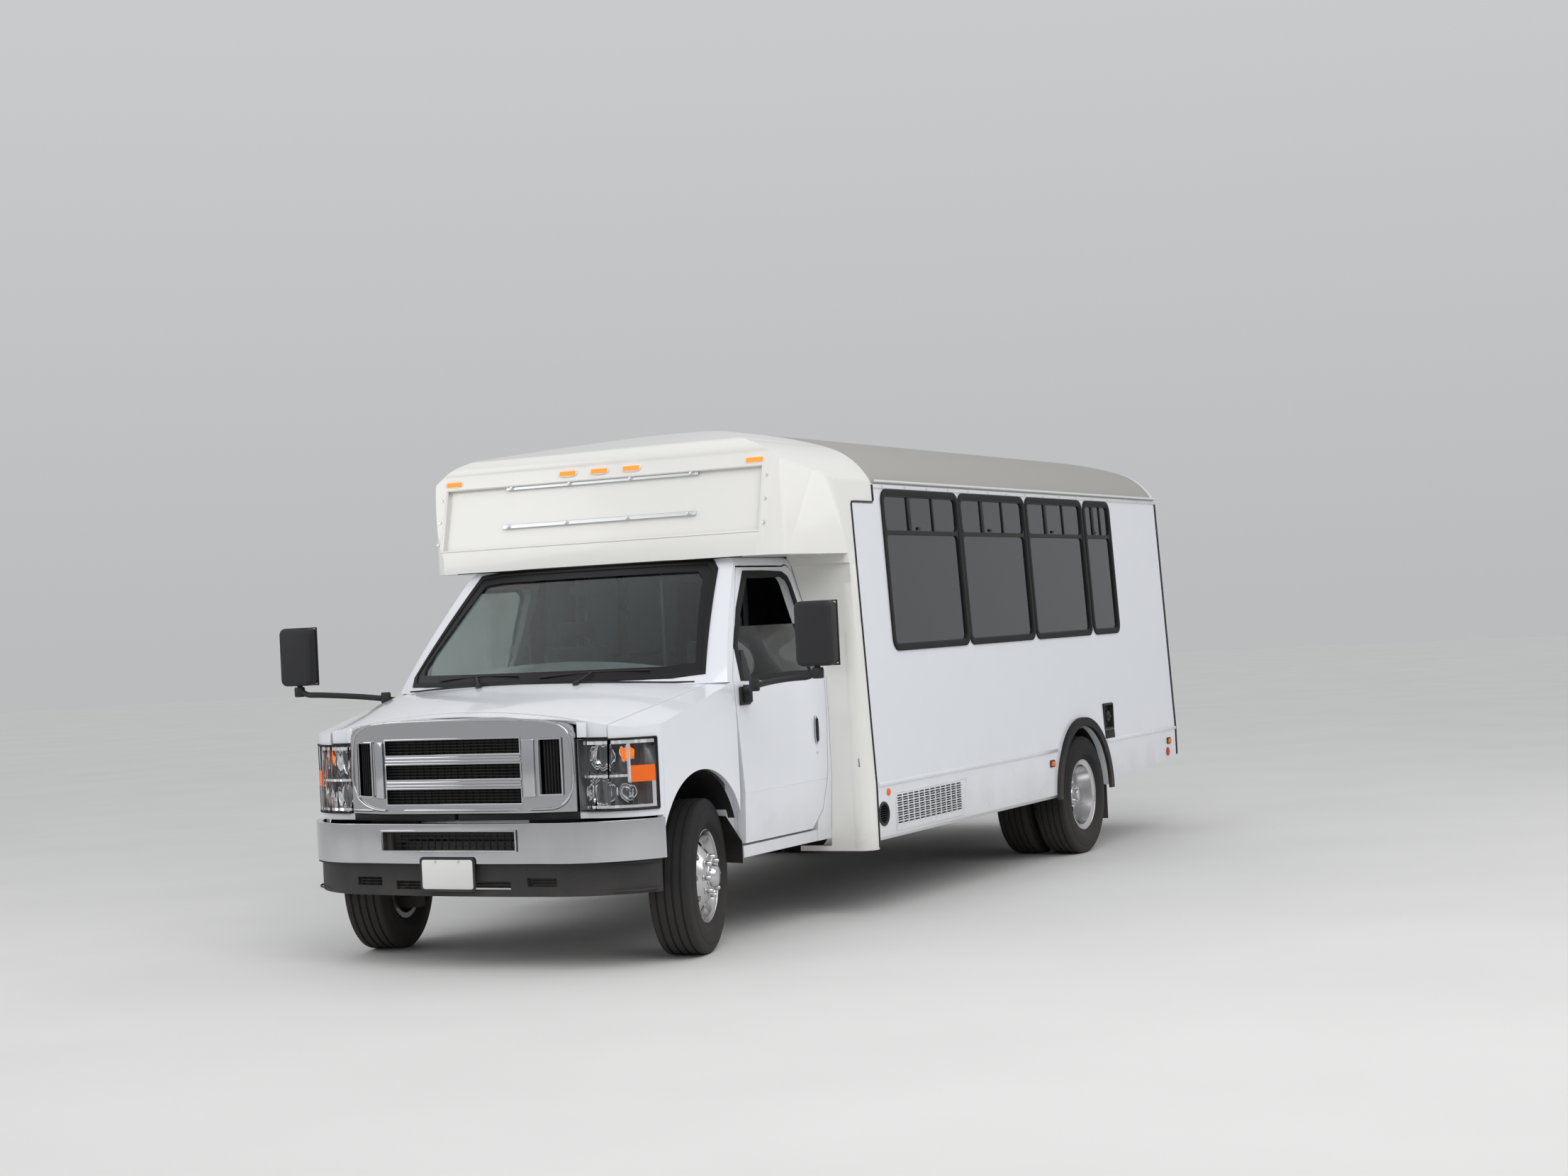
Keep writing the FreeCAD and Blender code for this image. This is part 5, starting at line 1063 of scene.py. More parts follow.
class MINIBUS_OT_headlamps(bpy.types.Operator):
    """Stacked headlamps: clear shells over bright bowls, with an amber reflector"""
    bl_idname = "minibus.headlamps"
    bl_label = "Headlamps"

    def execute(self, context):
        shell = copy_node("headlamps", "headlamp_shells")

        def front(centre, normal):
            outward = normal.y * (1 if centre.y > 0 else -1)
            return abs(normal.z) < 0.8 and (normal.x > 0.25 or outward > 0.35) and not outward < -0.8
        keep_faces(shell, front)
        modify(shell, "SOLIDIFY", thickness=0.003, offset=-1.0)
        soften(shell, angle=40)
        fit(shell, "clear_lens", stands_for=("headlamps",))
        bucket = copy_node("headlamps", "headlamp_buckets")
        keep_faces(bucket, lambda centre, normal: not front(centre, normal))
        modify(bucket, "SOLIDIFY", thickness=0.003, offset=-1.0)
        fit(soften(bucket, angle=40), "lamp_grey")

        for side, word in SIDES:
            bowls = []
            bulbs = []
            for y, z, radius in ((760, 985, 60), (745, 822, 66), (865, 822, 40), (868, 1000, 34)):
                lean = (1, side * 0.25, 0)
                x = 508 if y < 800 else 468
                bowls.append(lathe("bowl", ((0, radius), (-10, radius * 0.93), (-22, radius * 0.7),
                                            (-30, radius * 0.35), (-32, 0), (-35, 0), (-33, radius * 0.4),
                                            (-24, radius * 0.76), (-12, radius), (0, radius + 3)),
                                   (x, side * y, z), lean, 32))
                thick = 19 if radius == 34 else 10
                bulbs.append(lathe("bulb", ((-31, 0), (-31, thick - 1), (-16, thick), (-9, thick * 0.7),
                                            (-6, 0)),
                                   (x, side * y, z), lean, 16))
            fit(join("headlamp_bowls_" + word, bowls), "lamp_bowl")
            lit = bulbs.pop(3)
            fit(join("headlamp_bulbs_" + word, bulbs), "clear_lens")
            lit.name = "turn_bulb_" + word
            fit(lit, "amber_lit")
            self.lens_details(side, word)
            shelf = [(542, 664), (538, 740), (505, 850), (462, 915), (410, 960), (402, 930), (450, 860),
                     (490, 664)]
            shelf = plate("lamp_shelf_" + word, [(x - 6, side * y, 900) for x, y in shelf], (0, 0, 7), 1.5)
            fit(shelf, "interior_grey")
        return {"FINISHED"}

    def on_lens(self, side, part, out):
        """A place on the lamp's outside: part runs from beside the grille to the rear edge."""
        middle = Vector((237.3, 722.4))
        radius = 312.5
        start, end = math.radians(-11.5), math.radians(58.5)
        turn = between(start, end, part)
        ring = middle + Vector((math.cos(turn), math.sin(turn))) * (radius + out)
        return ring.x, side * ring.y

    def lens_details(self, side, word):
        """Amber insert, bright shelf and frame, and the black gasket round the lamp."""
        def patch(start, end, low, high, out):
            def place(across, along):
                x, y = self.on_lens(side, between(start, end, across), out)
                return x, y, between(low, high, along)
            return place
        fit(skin("amber_reflector_" + word, 10, 3, patch(0.66, 0.965, 868, 944, 1.0), 3.0, 0.0), "amber_lens")
        frame = [skin("frame", 16, 1, patch(0.05, 0.64, 893, 905, -3.0), 3.0, 0.0),
                 skin("frame", 16, 1, patch(0.05, 0.97, 1046, 1062, -3.0), 3.0, 0.0),
                 skin("frame", 16, 1, patch(0.05, 0.97, 750, 763, -3.0), 3.0, 0.0),
                 skin("frame", 2, 3, patch(0.92, 0.97, 763, 868, -3.0), 3.0, 0.0),
                 skin("frame", 2, 3, patch(0.62, 0.66, 868, 1046, -3.0), 3.0, 0.0)]
        fit(join("lamp_frame_" + word, frame), "lamp_bowl")
        gasket = [skin("gasket", 18, 1, patch(0.0, 1.0, 1066, 1074, 3.0), 5.0, 0.0),
                  skin("gasket", 18, 1, patch(0.0, 1.0, 736, 744, 3.0), 5.0, 0.0),
                  skin("gasket", 1, 3, patch(0.985, 1.01, 740, 1070, 3.0), 5.0, 0.0)]
        fit(join("lamp_gasket_" + word, gasket), "black_rubber")


class MINIBUS_OT_front_trim(bpy.types.Operator):
    """Blank number plate, valance ribs and the strip under the bumper"""
    bl_idname = "minibus.front_trim"
    bl_label = "Front trim"

    def execute(self, context):
        plate_piece = plate("number_plate", self.rounded(150, 74, 14), (2.5, 0, 0), 0.8)
        fit(plate_piece, "plate_white")
        outer = self.rounded(158, 82, 18)
        inner = self.rounded(146, 69, 12)
        fit(band("plate_frame", outer, inner, 7, 1.5), "black_plastic")
        bolts = []
        for side, word in SIDES:
            bolts.append(lathe("plate_bolt", ((0, 0), (0, 7), (4, 6.4), (6, 0)), (721, side * 66, 522),
                               (1, 0, 0), 12))
        fit(join("plate_bolts", bolts), "aluminium")
        ribs = []
        for z in (372, 500):
            path = [(430, -980, z), (560, -930, z), (655, -500, z), (694, 0, z), (655, 500, z), (560, 930, z),
                    (430, 980, z)]
            ribs.append(rod("rib", path, 5, smooth=True, sides=3))
        for z in (395, 410):
            ribs.append(block("rib", (640, 668), (-328, 328), (z - 2, z + 2), 0.8, 1))
        for side, word in SIDES:
            for z in (412, 426):
                y = sorted((side * 422, side * 573))
                ribs.append(block("rib", (620, 650), y, (z - 2, z + 2), 0.8, 1))
        fit(join("valance_ribs", ribs), "black_plastic")
        for side, word in SIDES:
            hook = rod("tow_hook_" + word, [(560, side * 380, 400), (640, side * 380, 380),
                                            (668, side * 366, 378),
                                            (640, side * 352, 380), (560, side * 352, 400)], 9)
            fit(hook, "chassis_black")
        return {"FINISHED"}

    def rounded(self, half_y, half_z, radius):
        """A ring of points with round corners on the plate's face."""
        return [(719.0, across, 461 + up) for across, up in rounded(half_y, half_z, radius, 4)]


class MINIBUS_OT_windscreen(bpy.types.Operator):
    """Black border and rubber round the windscreen, cowl, wipers, mirror and sun visors"""
    bl_idname = "minibus.windscreen"
    bl_label = "Windscreen"

    def execute(self, context):
        edge = context.scene.minibus_glass.border * 1000
        fit(band("screen_seal", self.ring(16, 3), self.ring(-6, 3), 7, 2), "black_rubber")
        fit(band("screen_border", self.ring(2, -1.0), self.ring(-edge, -1.0), 1.6), "black_trim")
        fit(self.cowl(), "black_plastic")
        for name, pivot, tip_in, tip_out in (("wiper_left", 330, 80, 640), ("wiper_right", -240, -610, -60)):
            fit(self.wiper(name, pivot, tip_in, tip_out), "black_plastic")
        x = screen_x(0, 1800) - 60
        stalk = rod("stalk", [(screen_x(0, 1850) - 16, 0, 1852), (x - 10, 0, 1838), (x - 14, 0, 1815)], 6)
        house = plate("house", self.oval(x, 0, 1785, 128, 34), (-28, 0, -4), 7, 3)
        fit(join("rear_view_mirror", [stalk, house]), "black_plastic")
        fit(plate("rear_view_glass", self.oval(x - 27.2, 0, 1784.7, 120, 29), (-2, 0, 0), 0.8),
            "mirror_silver")
        for side, word in SIDES:
            x = screen_x(420, 1840) - 50
            corners = [(x, side * 220, 1868), (x, side * 640, 1856), (x - 150, side * 640, 1866),
                       (x - 150, side * 220, 1878)]
            fit(plate("sun_visor_" + word, corners, (0, 0, -16), 7, 3), "interior_grey")
        return {"FINISHED"}

    def ring(self, grow, out):
        """Points round the windscreen's opening, grown by a width, on its surface."""
        low, high = 1338 - grow, 1893 + grow
        low_half, high_half = 880 + grow * 1.1, 715 + grow * 1.1
        points = []
        corners = ((-low_half, low), (low_half, low), (high_half, high), (-high_half, high))
        for (y0, z0), (y1, z1) in zip(corners, corners[1:] + corners[:1]):
            for step in range(12):
                part = (step + 0.15) / 12.3 + 0.012
                points.append((y0 + (y1 - y0) * part, z0 + (z1 - z0) * part))
        return [(screen_x(y, z) + out, y, z) for y, z in points]

    def oval(self, x, y, z, half_y, half_z):
        """The rim of the inside mirror."""
        return [(x, y + across, z + up) for across, up in squared(half_y, half_z, 24, 0.55, 0.75)]

    def cowl(self):
        """The black panel between the hood and the windscreen."""
        front = []
        back = []
        for step in range(17):
            y = -860 + 1720 * step / 16
            x = screen_x(y, 1300)
            ahead = min(x + 62, 61 - bow(y, 905, 285) - 6)
            front.append((ahead, y, hood_z(ahead, y) + 1.5))
            back.append((x + 3, y, max(hood_z(x, y), 1296) + 5))
        piece = outline("cowl_panel", front + list(reversed(back)))
        bpy.ops.mesh.edge_face_add()
        bpy.ops.mesh.extrude_region_move(TRANSFORM_OT_translate={"value": (0, 0, 0.004)})
        return soften(closed(piece), 1.2)

    def wiper(self, name, pivot, inner, outer):
        """Arm, blade and rubber, lying low on the glass."""
        def spot(y, z, out):
            return (screen_x(y, z) + out, y, z)
        middle = (inner + outer) / 2
        foot = (screen_x(pivot, 1300) + 34, pivot, hood_z(screen_x(pivot, 1300) + 34, pivot) + 12)
        arm = rod("arm", [foot, spot(pivot * 0.4 + middle * 0.6, 1350, 26), spot(middle, 1372, 18)], 6)
        boss = lathe("boss", ((-10, 0), (-10, 17), (4, 15), (9, 0)), foot, (0, 0, 1), 20)
        blade = rod("blade", [spot(inner, 1352, 9), spot(middle, 1378, 13), spot(outer, 1366, 9)], 4)
        rubber = rod("rubber", [spot(inner, 1350, 4), spot(middle, 1376, 7), spot(outer, 1364, 4)], 2.2)
        return join(name, [arm, boss, blade, rubber])


def nose_x(y):
    """The nose's face, seen from above, between the headlamps."""
    return 648 - bow(y, 700, 103)


def grille_x(y):
    """The grille's face, which leans back beside its middle openings."""
    return 642 - max(abs(y) - 400, 0) * 0.26


class MINIBUS_OT_nose_panels(bpy.types.Operator):
    """White header behind the grille, chrome corners, black fillers and wheel-arch liners"""
    bl_idname = "minibus.nose_panels"
    bl_label = "Nose panels"

    def execute(self, context):
        def header(across, along):
            y = between(-645, 645, across)
            x = between(539, grille_x(y) - 38, along)
            return x, y, hood_z(x, y) - 0.5
        fit(skin("header_panel", 32, 3, header, 4), "white_paint")
        for side, word in SIDES:
            corners = [(nose_x(y), side * y, z) for y, z in (
                (655, 1082), (697, 1082), (697, hood_z(546, 697) - 2), (655, hood_z(558, 655) - 2))]
            fit(plate("nose_corner_" + word, corners, (-8, 0, 0), 1), "white_paint")
            outer = [(567, 1159), (590, 1156), (612, 1148), (630, 1136), (643, 1120), (649, 1103),
                     (650, 1086)]
            fill = [(grille_x(y) + 1, side * y, z) for y, z in outer]
            fit(plate("grille_corner_" + word, fill, (-36, 0, 0), 2), "bright_chrome")
            gap = [(562, side * 655, 704), (598, side * 520, 704), (628, side * 10, 704),
                   (560, side * 10, 704), (500, side * 655, 704)]
            fit(plate("grille_sill_" + word, gap, (0, 0, 34), 2), "black_plastic")
            wing = [(548, side * 660, 706), (478, side * 880, 706), (410, side * 960, 706),
                    (380, side * 940, 706), (500, side * 660, 706)]
            fit(plate("lamp_sill_" + word, wing, (0, 0, 26), 2), "black_plastic")
            self.arch(side, word)
        return {"FINISHED"}

    def arch(self, side, word):
        """Dark liners over a steered wheel, clear of everything that its tyre sweeps. Their near-black is
        partly the liners' own black and partly painted shade in the arches.
        """
        def over(across, along):
            turn = math.radians(between(18.5, 161.5, across))
            y = between(563, 974 if turn < 1.9 else 962, along)
            return 15 + 383 * math.cos(turn), side * y, 500 + 383 * math.sin(turn)

        def beside(turn, height):
            z = (392, 440, 500, 545, 590, 632)[round(height * 5)]
            reach = 427 if z <= 500 else 427 - 0.6875 * (z - 500)
            return reach * math.cos(turn), side * (800 + reach * math.sin(turn)), z

        def behind(across, along):
            return beside(math.radians(between(156, 218, across)), along)
        wall = [(15 + 380 * math.cos(math.radians(turn)), side * 560,
                 500 + 380 * math.sin(math.radians(turn)))
                for turn in range(22, 160, 8)]
        pieces = [skin("liner", 28, 3, over, 2.5, 0.0), skin("liner", 10, 5, behind, 2.0, 0.0),
                  plate("liner", wall, (0, side * 3, 0), 1)]
        fit(join("wheel_arch_liner_" + word, pieces), "liner_black")

        # Liners over the rear wheels, whose near-black is partly painted shade in the arches.
        def rear(across, along):
            turn = math.radians(between(1, 179, across))
            return -4456 + 431 * math.cos(turn), side * between(640, 1174, along), 380 + 431 * math.sin(turn)
        fit(skin("rear_arch_liner_" + word, 30, 2, rear, 2.5, 0.0), "liner_black")
        inner = [(-4456 + 429 * math.cos(math.radians(turn)), side * 636,
                  380 + 429 * math.sin(math.radians(turn)))
                 for turn in range(40, 148, 8)]
        fit(plate("rear_arch_wall_" + word, inner, (0, side * 3, 0), 1), "liner_black")


# The sides

WINDOW_SILL = 1390
WINDOW_HEAD = 2257
RIVETS = 16
RIVET_PITCH = 292
BENDS = (686, 740, 1050, 1270, 1860)


def side_strip(name, side, x, z, out=6, depth=4, width=1.5, surface=wall_y):
    """A straight moulding on the coach's or cab's side, between two x and two z."""
    heights = [z[0]] + [up for up in BENDS if z[0] + 5 < up < z[1] - 5] + [z[1]]
    pieces = []
    for low, high in zip(heights, heights[1:]):
        points = []
        for across, up in ((x[0], low), (x[1], low), (x[1], high), (x[0], high)):
            points.append((across, side * (surface(up) - depth), up))
        pieces.append(plate(name, points, (0, side * (out + depth), 0), width))
    return join(name, pieces)


class MINIBUS_OT_side_trim(bpy.types.Operator):
    """Joint strips, belt moulding, window dividers, louvre ribs, markers and filler cap"""
    bl_idname = "minibus.side_trim"
    bl_label = "Side trim"

    def execute(self, context):
        for side, word in SIDES:
            trim = [side_strip("trim", side, (-1429, -1417), (360, 2180), 5, 12, 2),
                    side_strip("trim", side, (-1700, -1684), (2200, 2286), 5, 12, 2)]
            trim.append(rod("trim", [(-1423, side * (wall_y(2170) + 2), 2170),
                                     (-1423, side * (wall_y(2190) + 2), 2189),
                                     (-1450, side * (wall_y(2192) + 2), 2192),
                                     (-1660, side * (wall_y(2192) + 2), 2192),
                                     (-1692, side * (wall_y(2200) + 2), 2194),
                                     (-1692, side * (wall_y(2215) + 2), 2215)], 4))
            fit(join("cap_joint_" + word, trim), "black_trim")
            leg = side_strip("cap_leg_edge_" + word, side, (-1424, -1384), (1540, 1925), 0.2, 9, 0.8)
            fit(leg, "cap_gelcoat")
            spans = ((-1448, -4010), (-4900, -6270)) if side > 0 else ((-2290, -4010), (-4900, -6270))
            belt = []
            for front, rear in spans:
                belt.append(side_strip("belt", side, (rear, front), (676, 698), 7, 2, 3))
                belt.append(side_strip("belt", side, (rear + 6, front - 6), (684, 690), 9, 2, 1))
            fit(join("belt_moulding_" + word, belt), "white_paint")
            front = -1432 if side > 0 else -2290
            sill = [side_strip("sill", side, (-4000, front), (396, 412), 3, 30, 2)]
            fit(join("sill_edge_" + word, sill), "aluminium")
            corner = side_strip("corner", side, (-6292, -6262), (500, 2286), 4, 6, 3)
            corner.name = "corner_trim_" + word
            fit(corner, "black_trim")
            rail = [side_strip("rail", side, (-6284, -1698), (2268, 2290), 9, 6, 3),
                    rod("rail", [(-1700, side * 1164, 2306), (-4000, side * 1165, 2306),
                                 (-6282, side * 1164, 2306)], 7, smooth=False)]
            fit(join("drip_rail_" + word, rail), "roof_white")
            rivets = []
            for count in range(RIVETS):
                rivets.append(lathe("rivet", ((0, 0), (0, 6), (3, 5), (4, 0)),
                                    (-1800 - count * RIVET_PITCH, side * (wall_y(2279) + 9), 2279),
                                    (0, side, 0), 10))
            fit(join("drip_rail_rivets_" + word, rivets), "aluminium")
            self.windows(side, word)
            self.markers(side, word)
        self.louvres()
        self.filler()
        return {"FINISHED"}

    def windows(self, side, word):
        """Dividers of the upper sections, rubber round the panes and latches of the sliders."""
        dividers = []
        rubbers = []
        latches = []
        openings = [(-1790, -2805), (-2822, -3815), (-3842, -4805), (-4843, -5320)]
        if side < 0:
            openings[0] = (-2330, -2805)
        for front, rear in openings:
            middle = (front + rear) / 2
            third = (front - rear - 64) / 3
            dividers.append(side_strip("divider", side, (rear + 32 + third - 9, rear + 32 + third + 9),
                                       (2036, 2230), 3, 14, 1.5))
            dividers.append(side_strip("divider", side, (front - 32 - third - 20, front - 32 - third + 20),
                                       (2036, 2230), 3, 14, 1.5))
            dividers.append(side_strip("divider", side, (rear + 22, front - 22), (2018, 2040), 4, 14, 2))
            outer = self.frame(side, front, rear, WINDOW_SILL, WINDOW_HEAD, -8)
            inner = self.frame(side, front, rear, WINDOW_SILL, WINDOW_HEAD, 24)
            rubbers.append(band("rubber", outer, inner, 12, 2.5))
            latches.append(side_strip("latch", side, (middle + 30, middle + 62), (2046, 2062), 5, 2, 2))
        fit(join("window_dividers_" + word, dividers), "black_trim")
        fit(join("window_rubbers_" + word, rubbers), "black_rubber")
        fit(join("window_latches_" + word, latches), "black_plastic")

    def frame(self, side, front, rear, low, high, inset):
        """A ring of points round a window, inside its opening by the inset."""
        x, z = (front + rear) / 2, (low + high) / 2
        corners = rounded((front - rear) / 2 - inset, (high - low) / 2 - inset, 60 - inset, 7)
        return [(x + across, side * (wall_y(z + up) + 4), z + up) for across, up in corners]

    def markers(self, side, word):
        """Raised bases for the side lamps, and round reflectors."""
        bases = []
        for x, z in ((-3915, 610), (-6116, 604)):
            bases.append(side_strip("base", side, (x - 38, x + 38), (z - 22, z + 22), 5, 1, 4))
        fit(join("marker_bases_" + word, bases), "black_trim")
        lens = lathe("lens", ((-2, 0), (-2, 30), (5, 29), (8, 22), (9, 0)), (-6086, side * 1224, 530),
                     (0, side, 0), 32)
        fit(lens, "red_lens")
        lens.name = "rear_reflector_" + word
        lens = lathe("lens", ((-2, 0), (-2, 20), (5, 19), (8, 14), (9, 0)), (-1560, side * 1224, 640),
                     (0, side, 0), 32)
        fit(lens, "amber_lens")
        lens.name = "front_reflector_" + word

    def louvres(self):
        """Ribs and lips of the vent panel low on the left side, black strips between the ribs as painted
        shade in its openings, and a dark box behind it.
        """
        ribs = []
        for count in range(13):
            x = -1660 - count * 70.8
            ribs.append(side_strip("rib", 1, (x - 4, x + 4), (452, 614), 3, 8, 1.2))
        for z in (462, 488, 514, 540, 566, 592):
            lip = side_strip("lip", 1, (-2518, -1652), (z + 9, z + 15), 7, 6, 1.5)
            ribs.append(lip)
        panel = band("panel", [(-1640, 1224, 634), (-2590, 1224, 634), (-2526, 1224, 424),
                               (-1640, 1224, 424)],
                     [(-1648, 1224, 626), (-2582, 1224, 626), (-2519, 1224, 432), (-1648, 1224, 432)], 5, 1)
        fit(join("louvre_ribs", ribs + [panel]), "white_paint")
        # Black strips laid on the wall between the ribs: painted shade standing for the vent's openings.
        slots = []
        for z in (475, 501, 527, 553, 579, 605):
            for count in range(12):
                x = -1666 - count * 70.8
                slots.append(side_strip("slot", 1, (x - 58, x - 2), (z - 5, z + 9), 1.2, 2, 0.4))
        fit(join("louvre_slots", slots), "black_rubber")
        box = block("louvre_box", (-2530, -1640), (1140, 1170), (440, 620), 6)
        fit(box, "black_plastic")
        rings = [lathe("ring", ((-3, 52), (-3, 66), (5, 64), (7, 58), (4, 52)), (-1494, 1223, 530),
                       (0, 1, 0), 40)]
        for z in range(488, 580, 12):
            half = math.sqrt(max(50 ** 2 - (z - 530) ** 2, 1)) - 2
            rings.append(block("blade", (-1494 - half, -1494 + half), (1200, 1218), (z - 1.5, z + 1.5), 0.8,
                               1))
        fit(join("round_vent", rings), "black_plastic")

    def filler(self):
        cap = lathe("cap", ((0, 0), (0, 36), (14, 36), (17, 33), (17, 12), (24, 10), (25, 0)),
                    (-4960, 1202, 843), (0, 1, 0), 36)
        grip = block("grip", (-4988, -4932), (1216, 1228), (838, 848), 3)
        fit(join("filler_cap", [cap, grip]), "black_plastic")
        rim = band("filler_rim", [(-5050, 1218, 757), (-4870, 1218, 757), (-4870, 1211, 930),
                                  (-5050, 1211, 930)],
                   [(-5038, 1218, 769), (-4882, 1218, 769), (-4882, 1212, 918), (-5038, 1212, 918)], 8, 2)
        fit(rim, "black_trim")
        pad = [side_strip("pad", 1, (-5045, -4875), (700, 756), 4, 1, 3)]
        fit(join("spill_pad", pad), "black_rubber")


class MINIBUS_OT_cap_trim(bpy.types.Operator):
    """Lamp bases, panel edges, brackets and seams of the moulded cap"""
    bl_idname = "minibus.cap_trim"
    bl_label = "Cap trim"

    def execute(self, context):
        bases = []
        for y, z in ((-936, 2405), (-198, 2415), (0, 2415), (198, 2415), (936, 2405)):
            sunk = 7 if abs(y) > 900 else 3
            points = [(cap_x(z + up) - sunk, y + across, z + up)
                      for across, up in squared(60, 22, 20, 0.6, 1)]
            bases.append(plate("base", points, (9, 0, 2), 2))
        fit(join("cap_lamp_bases", bases), "cap_gelcoat")
        brackets = []
        for z in (2142, 2350):
            x = cap_x(z + 12) - 25
            for y in (-560, -190, 190, 560):
                brackets.append(block("bracket", (x + 4, x + 24), (y - 9, y + 9), (z + 2, z + 20), 2))
        fit(join("rail_brackets", brackets), "aluminium")
        outer = [(cap_x(z) + 3, y, z) for y, z in ((-985, 2035), (985, 2035), (985, 2376), (-985, 2376))]
        inner = [(cap_x(z) - 5, y, z) for y, z in ((-977, 2043), (977, 2043), (977, 2368), (-977, 2368))]
        fit(band("cap_panel_edge", outer, inner, 5, 1.5), "cap_gelcoat")
        lip = rod("cap_lip_seal", [(-700, -880, 1917), (-694, -400, 1913), (-693, 0, 1912), (-694, 400, 1913),
                                   (-700, 880, 1917)], 6)
        fit(lip, "black_rubber")
        screws = []
        for side in (1, -1):
            for z in (2080, 2200, 2320):
                screws.append(lathe("screw", ((-2, 0), (-2, 9), (3, 8), (5, 0)), (cap_x(z), side * 1010, z),
                                    (1, 0, 0.23), 16))
        fit(join("cap_screws", screws), "aluminium")
        return {"FINISHED"}


# Doors and mirrors

class MINIBUS_OT_cab_doors(bpy.types.Operator):
    """Handles, locks, window rubbers, mirror patches, inner trim and the lowered driver's pane"""
    bl_idname = "minibus.cab_doors"
    bl_label = "Cab doors"

    def execute(self, context):
        top = context.scene.minibus_glass.pane_top
        for side, word in SIDES:
            body = "driver_door" if side > 0 else "passenger_door"
            bezel = []
            for grow, out in ((0, 5), (-7, 7)):
                bezel.append(self.oval(side, -1177, 1000, 17 + grow, 74 + grow, out))
            ring = band("bezel", bezel[0], bezel[1], 5, 1.5)
            fit(join("handle_bezel_" + word, [ring]), "bright_chrome", body)
            cup = plate("cup", self.oval(side, -1177, 1000, 12, 69, 1), (0, side * 2, 0), 0.8)
            pull = plate("pull", self.oval(side, -1177, 1000, 8, 60, 4), (0, side * 13, 0), 4, 3)
            fit(join("handle_" + word, [cup, pull]), "black_plastic", body)
            lock = lathe("lock", ((-2, 0), (-2, 9), (3, 9), (5, 6), (5, 3), (2, 2), (2, 0)),
                         (-1182, side * (cab_y(883) + 1), 883), (0, side, 0), 24)
            lock.name = "door_lock_" + word
            fit(lock, "aluminium", body)
            fit(self.rubber(side, word), "black_rubber", body)
            patch = [(-452, 1292), (-452, 1310), (-505, 1442), (-532, 1442), (-532, 1292)]
            piece = plate("mirror_patch_" + word, [(x, side * (cab_y(z) - 2), z) for x, z in patch],
                          (0, side * 8, 0), 2)
            fit(piece, "black_plastic", body)
            crease = side_strip("crease", side, (-1290, -395), (738, 742), 1.2, 1, 0.6, cab_y)
            crease.name = "door_crease_" + word
            fit(crease, "white_paint", body)
            self.inner(side, word, body)
        pane = copy_node("driver_door_glass", "lowered_pane")
        bpy.ops.object.mode_set(mode="EDIT")
        bpy.ops.mesh.select_all(action="SELECT")
        bpy.ops.mesh.bisect(plane_co=(0, 0, top), plane_no=(0, 0, 1), clear_outer=True, use_fill=True)
        bpy.ops.object.mode_set(mode="OBJECT")
        soften(pane, 0.8)
        fit(pane, "clear_screen", "driver_door", stands_for=("driver_door_glass",))
        return {"FINISHED"}

    def oval(self, side, x, z, half_x, half_z, out):
        """The rim of a door handle's cup, on the door's surface."""
        return [(x + across, side * (cab_y(z + up) + out), z + up)
                for across, up in squared(half_x, half_z, 20, 0.7, 0.7)]

    def rubber(self, side, word):
        """Black rubber round the door's window."""
        corners = [(-440, 1300), (-478, 1466), (-620, 1644), (-797, 1822), (-1000, 1822), (-1190, 1822),
                   (-1238, 1800), (-1252, 1760), (-1256, 1600), (-1260, 1440), (-1262, 1300), (-1000, 1298),
                   (-700, 1298)]
        middle = (-900, 1540)
        rings = []
        for grow in (22, -20):
            ring = []
            for x, z in corners:
                away = Vector((x - middle[0], z - middle[1]))
                shift = away.normalized() * grow
                z += shift.y
                ring.append((x + shift.x, side * (cab_y(z) + 1), z))
            rings.append(ring)
        return band("door_window_rubber_" + word, rings[0], rings[1], 7, 1.5)

    def inner(self, side, word, body):
        """Inner trim panel with arm rest, pull and loudspeaker."""
        y = side * (cab_y(1000) - 50)
        panel = [(-430, 560), (-1230, 560), (-1240, 1240), (-450, 1240)]
        pieces = [plate("panel", [(x, side * (cab_y(z) - 46), z) for x, z in panel], (0, -side * 9, 0), 4)]
        pieces.append(block("rest", (-1150, -640), sorted((y - side * 8, y - side * 52)), (940, 985), 14, 3))
        pieces.append(rod("pull", [(-620, y - side * 10, 1020), (-620, y - side * 40, 1060),
                                   (-620, y - side * 40, 1140), (-620, y - side * 10, 1180)], 9))
        fit(join("door_trim_" + word, pieces), "interior_grey", body)
        grid = lathe("speaker", ((0, 0), (0, 78), (5, 76), (7, 66), (3, 60), (6, 50), (3, 40), (6, 30),
                                 (3, 20), (7, 0)), (-560, y - side * 5, 690), (0, -side, 0), 40)
        grid.name = "loudspeaker_" + word
        fit(grid, "black_plastic", body)


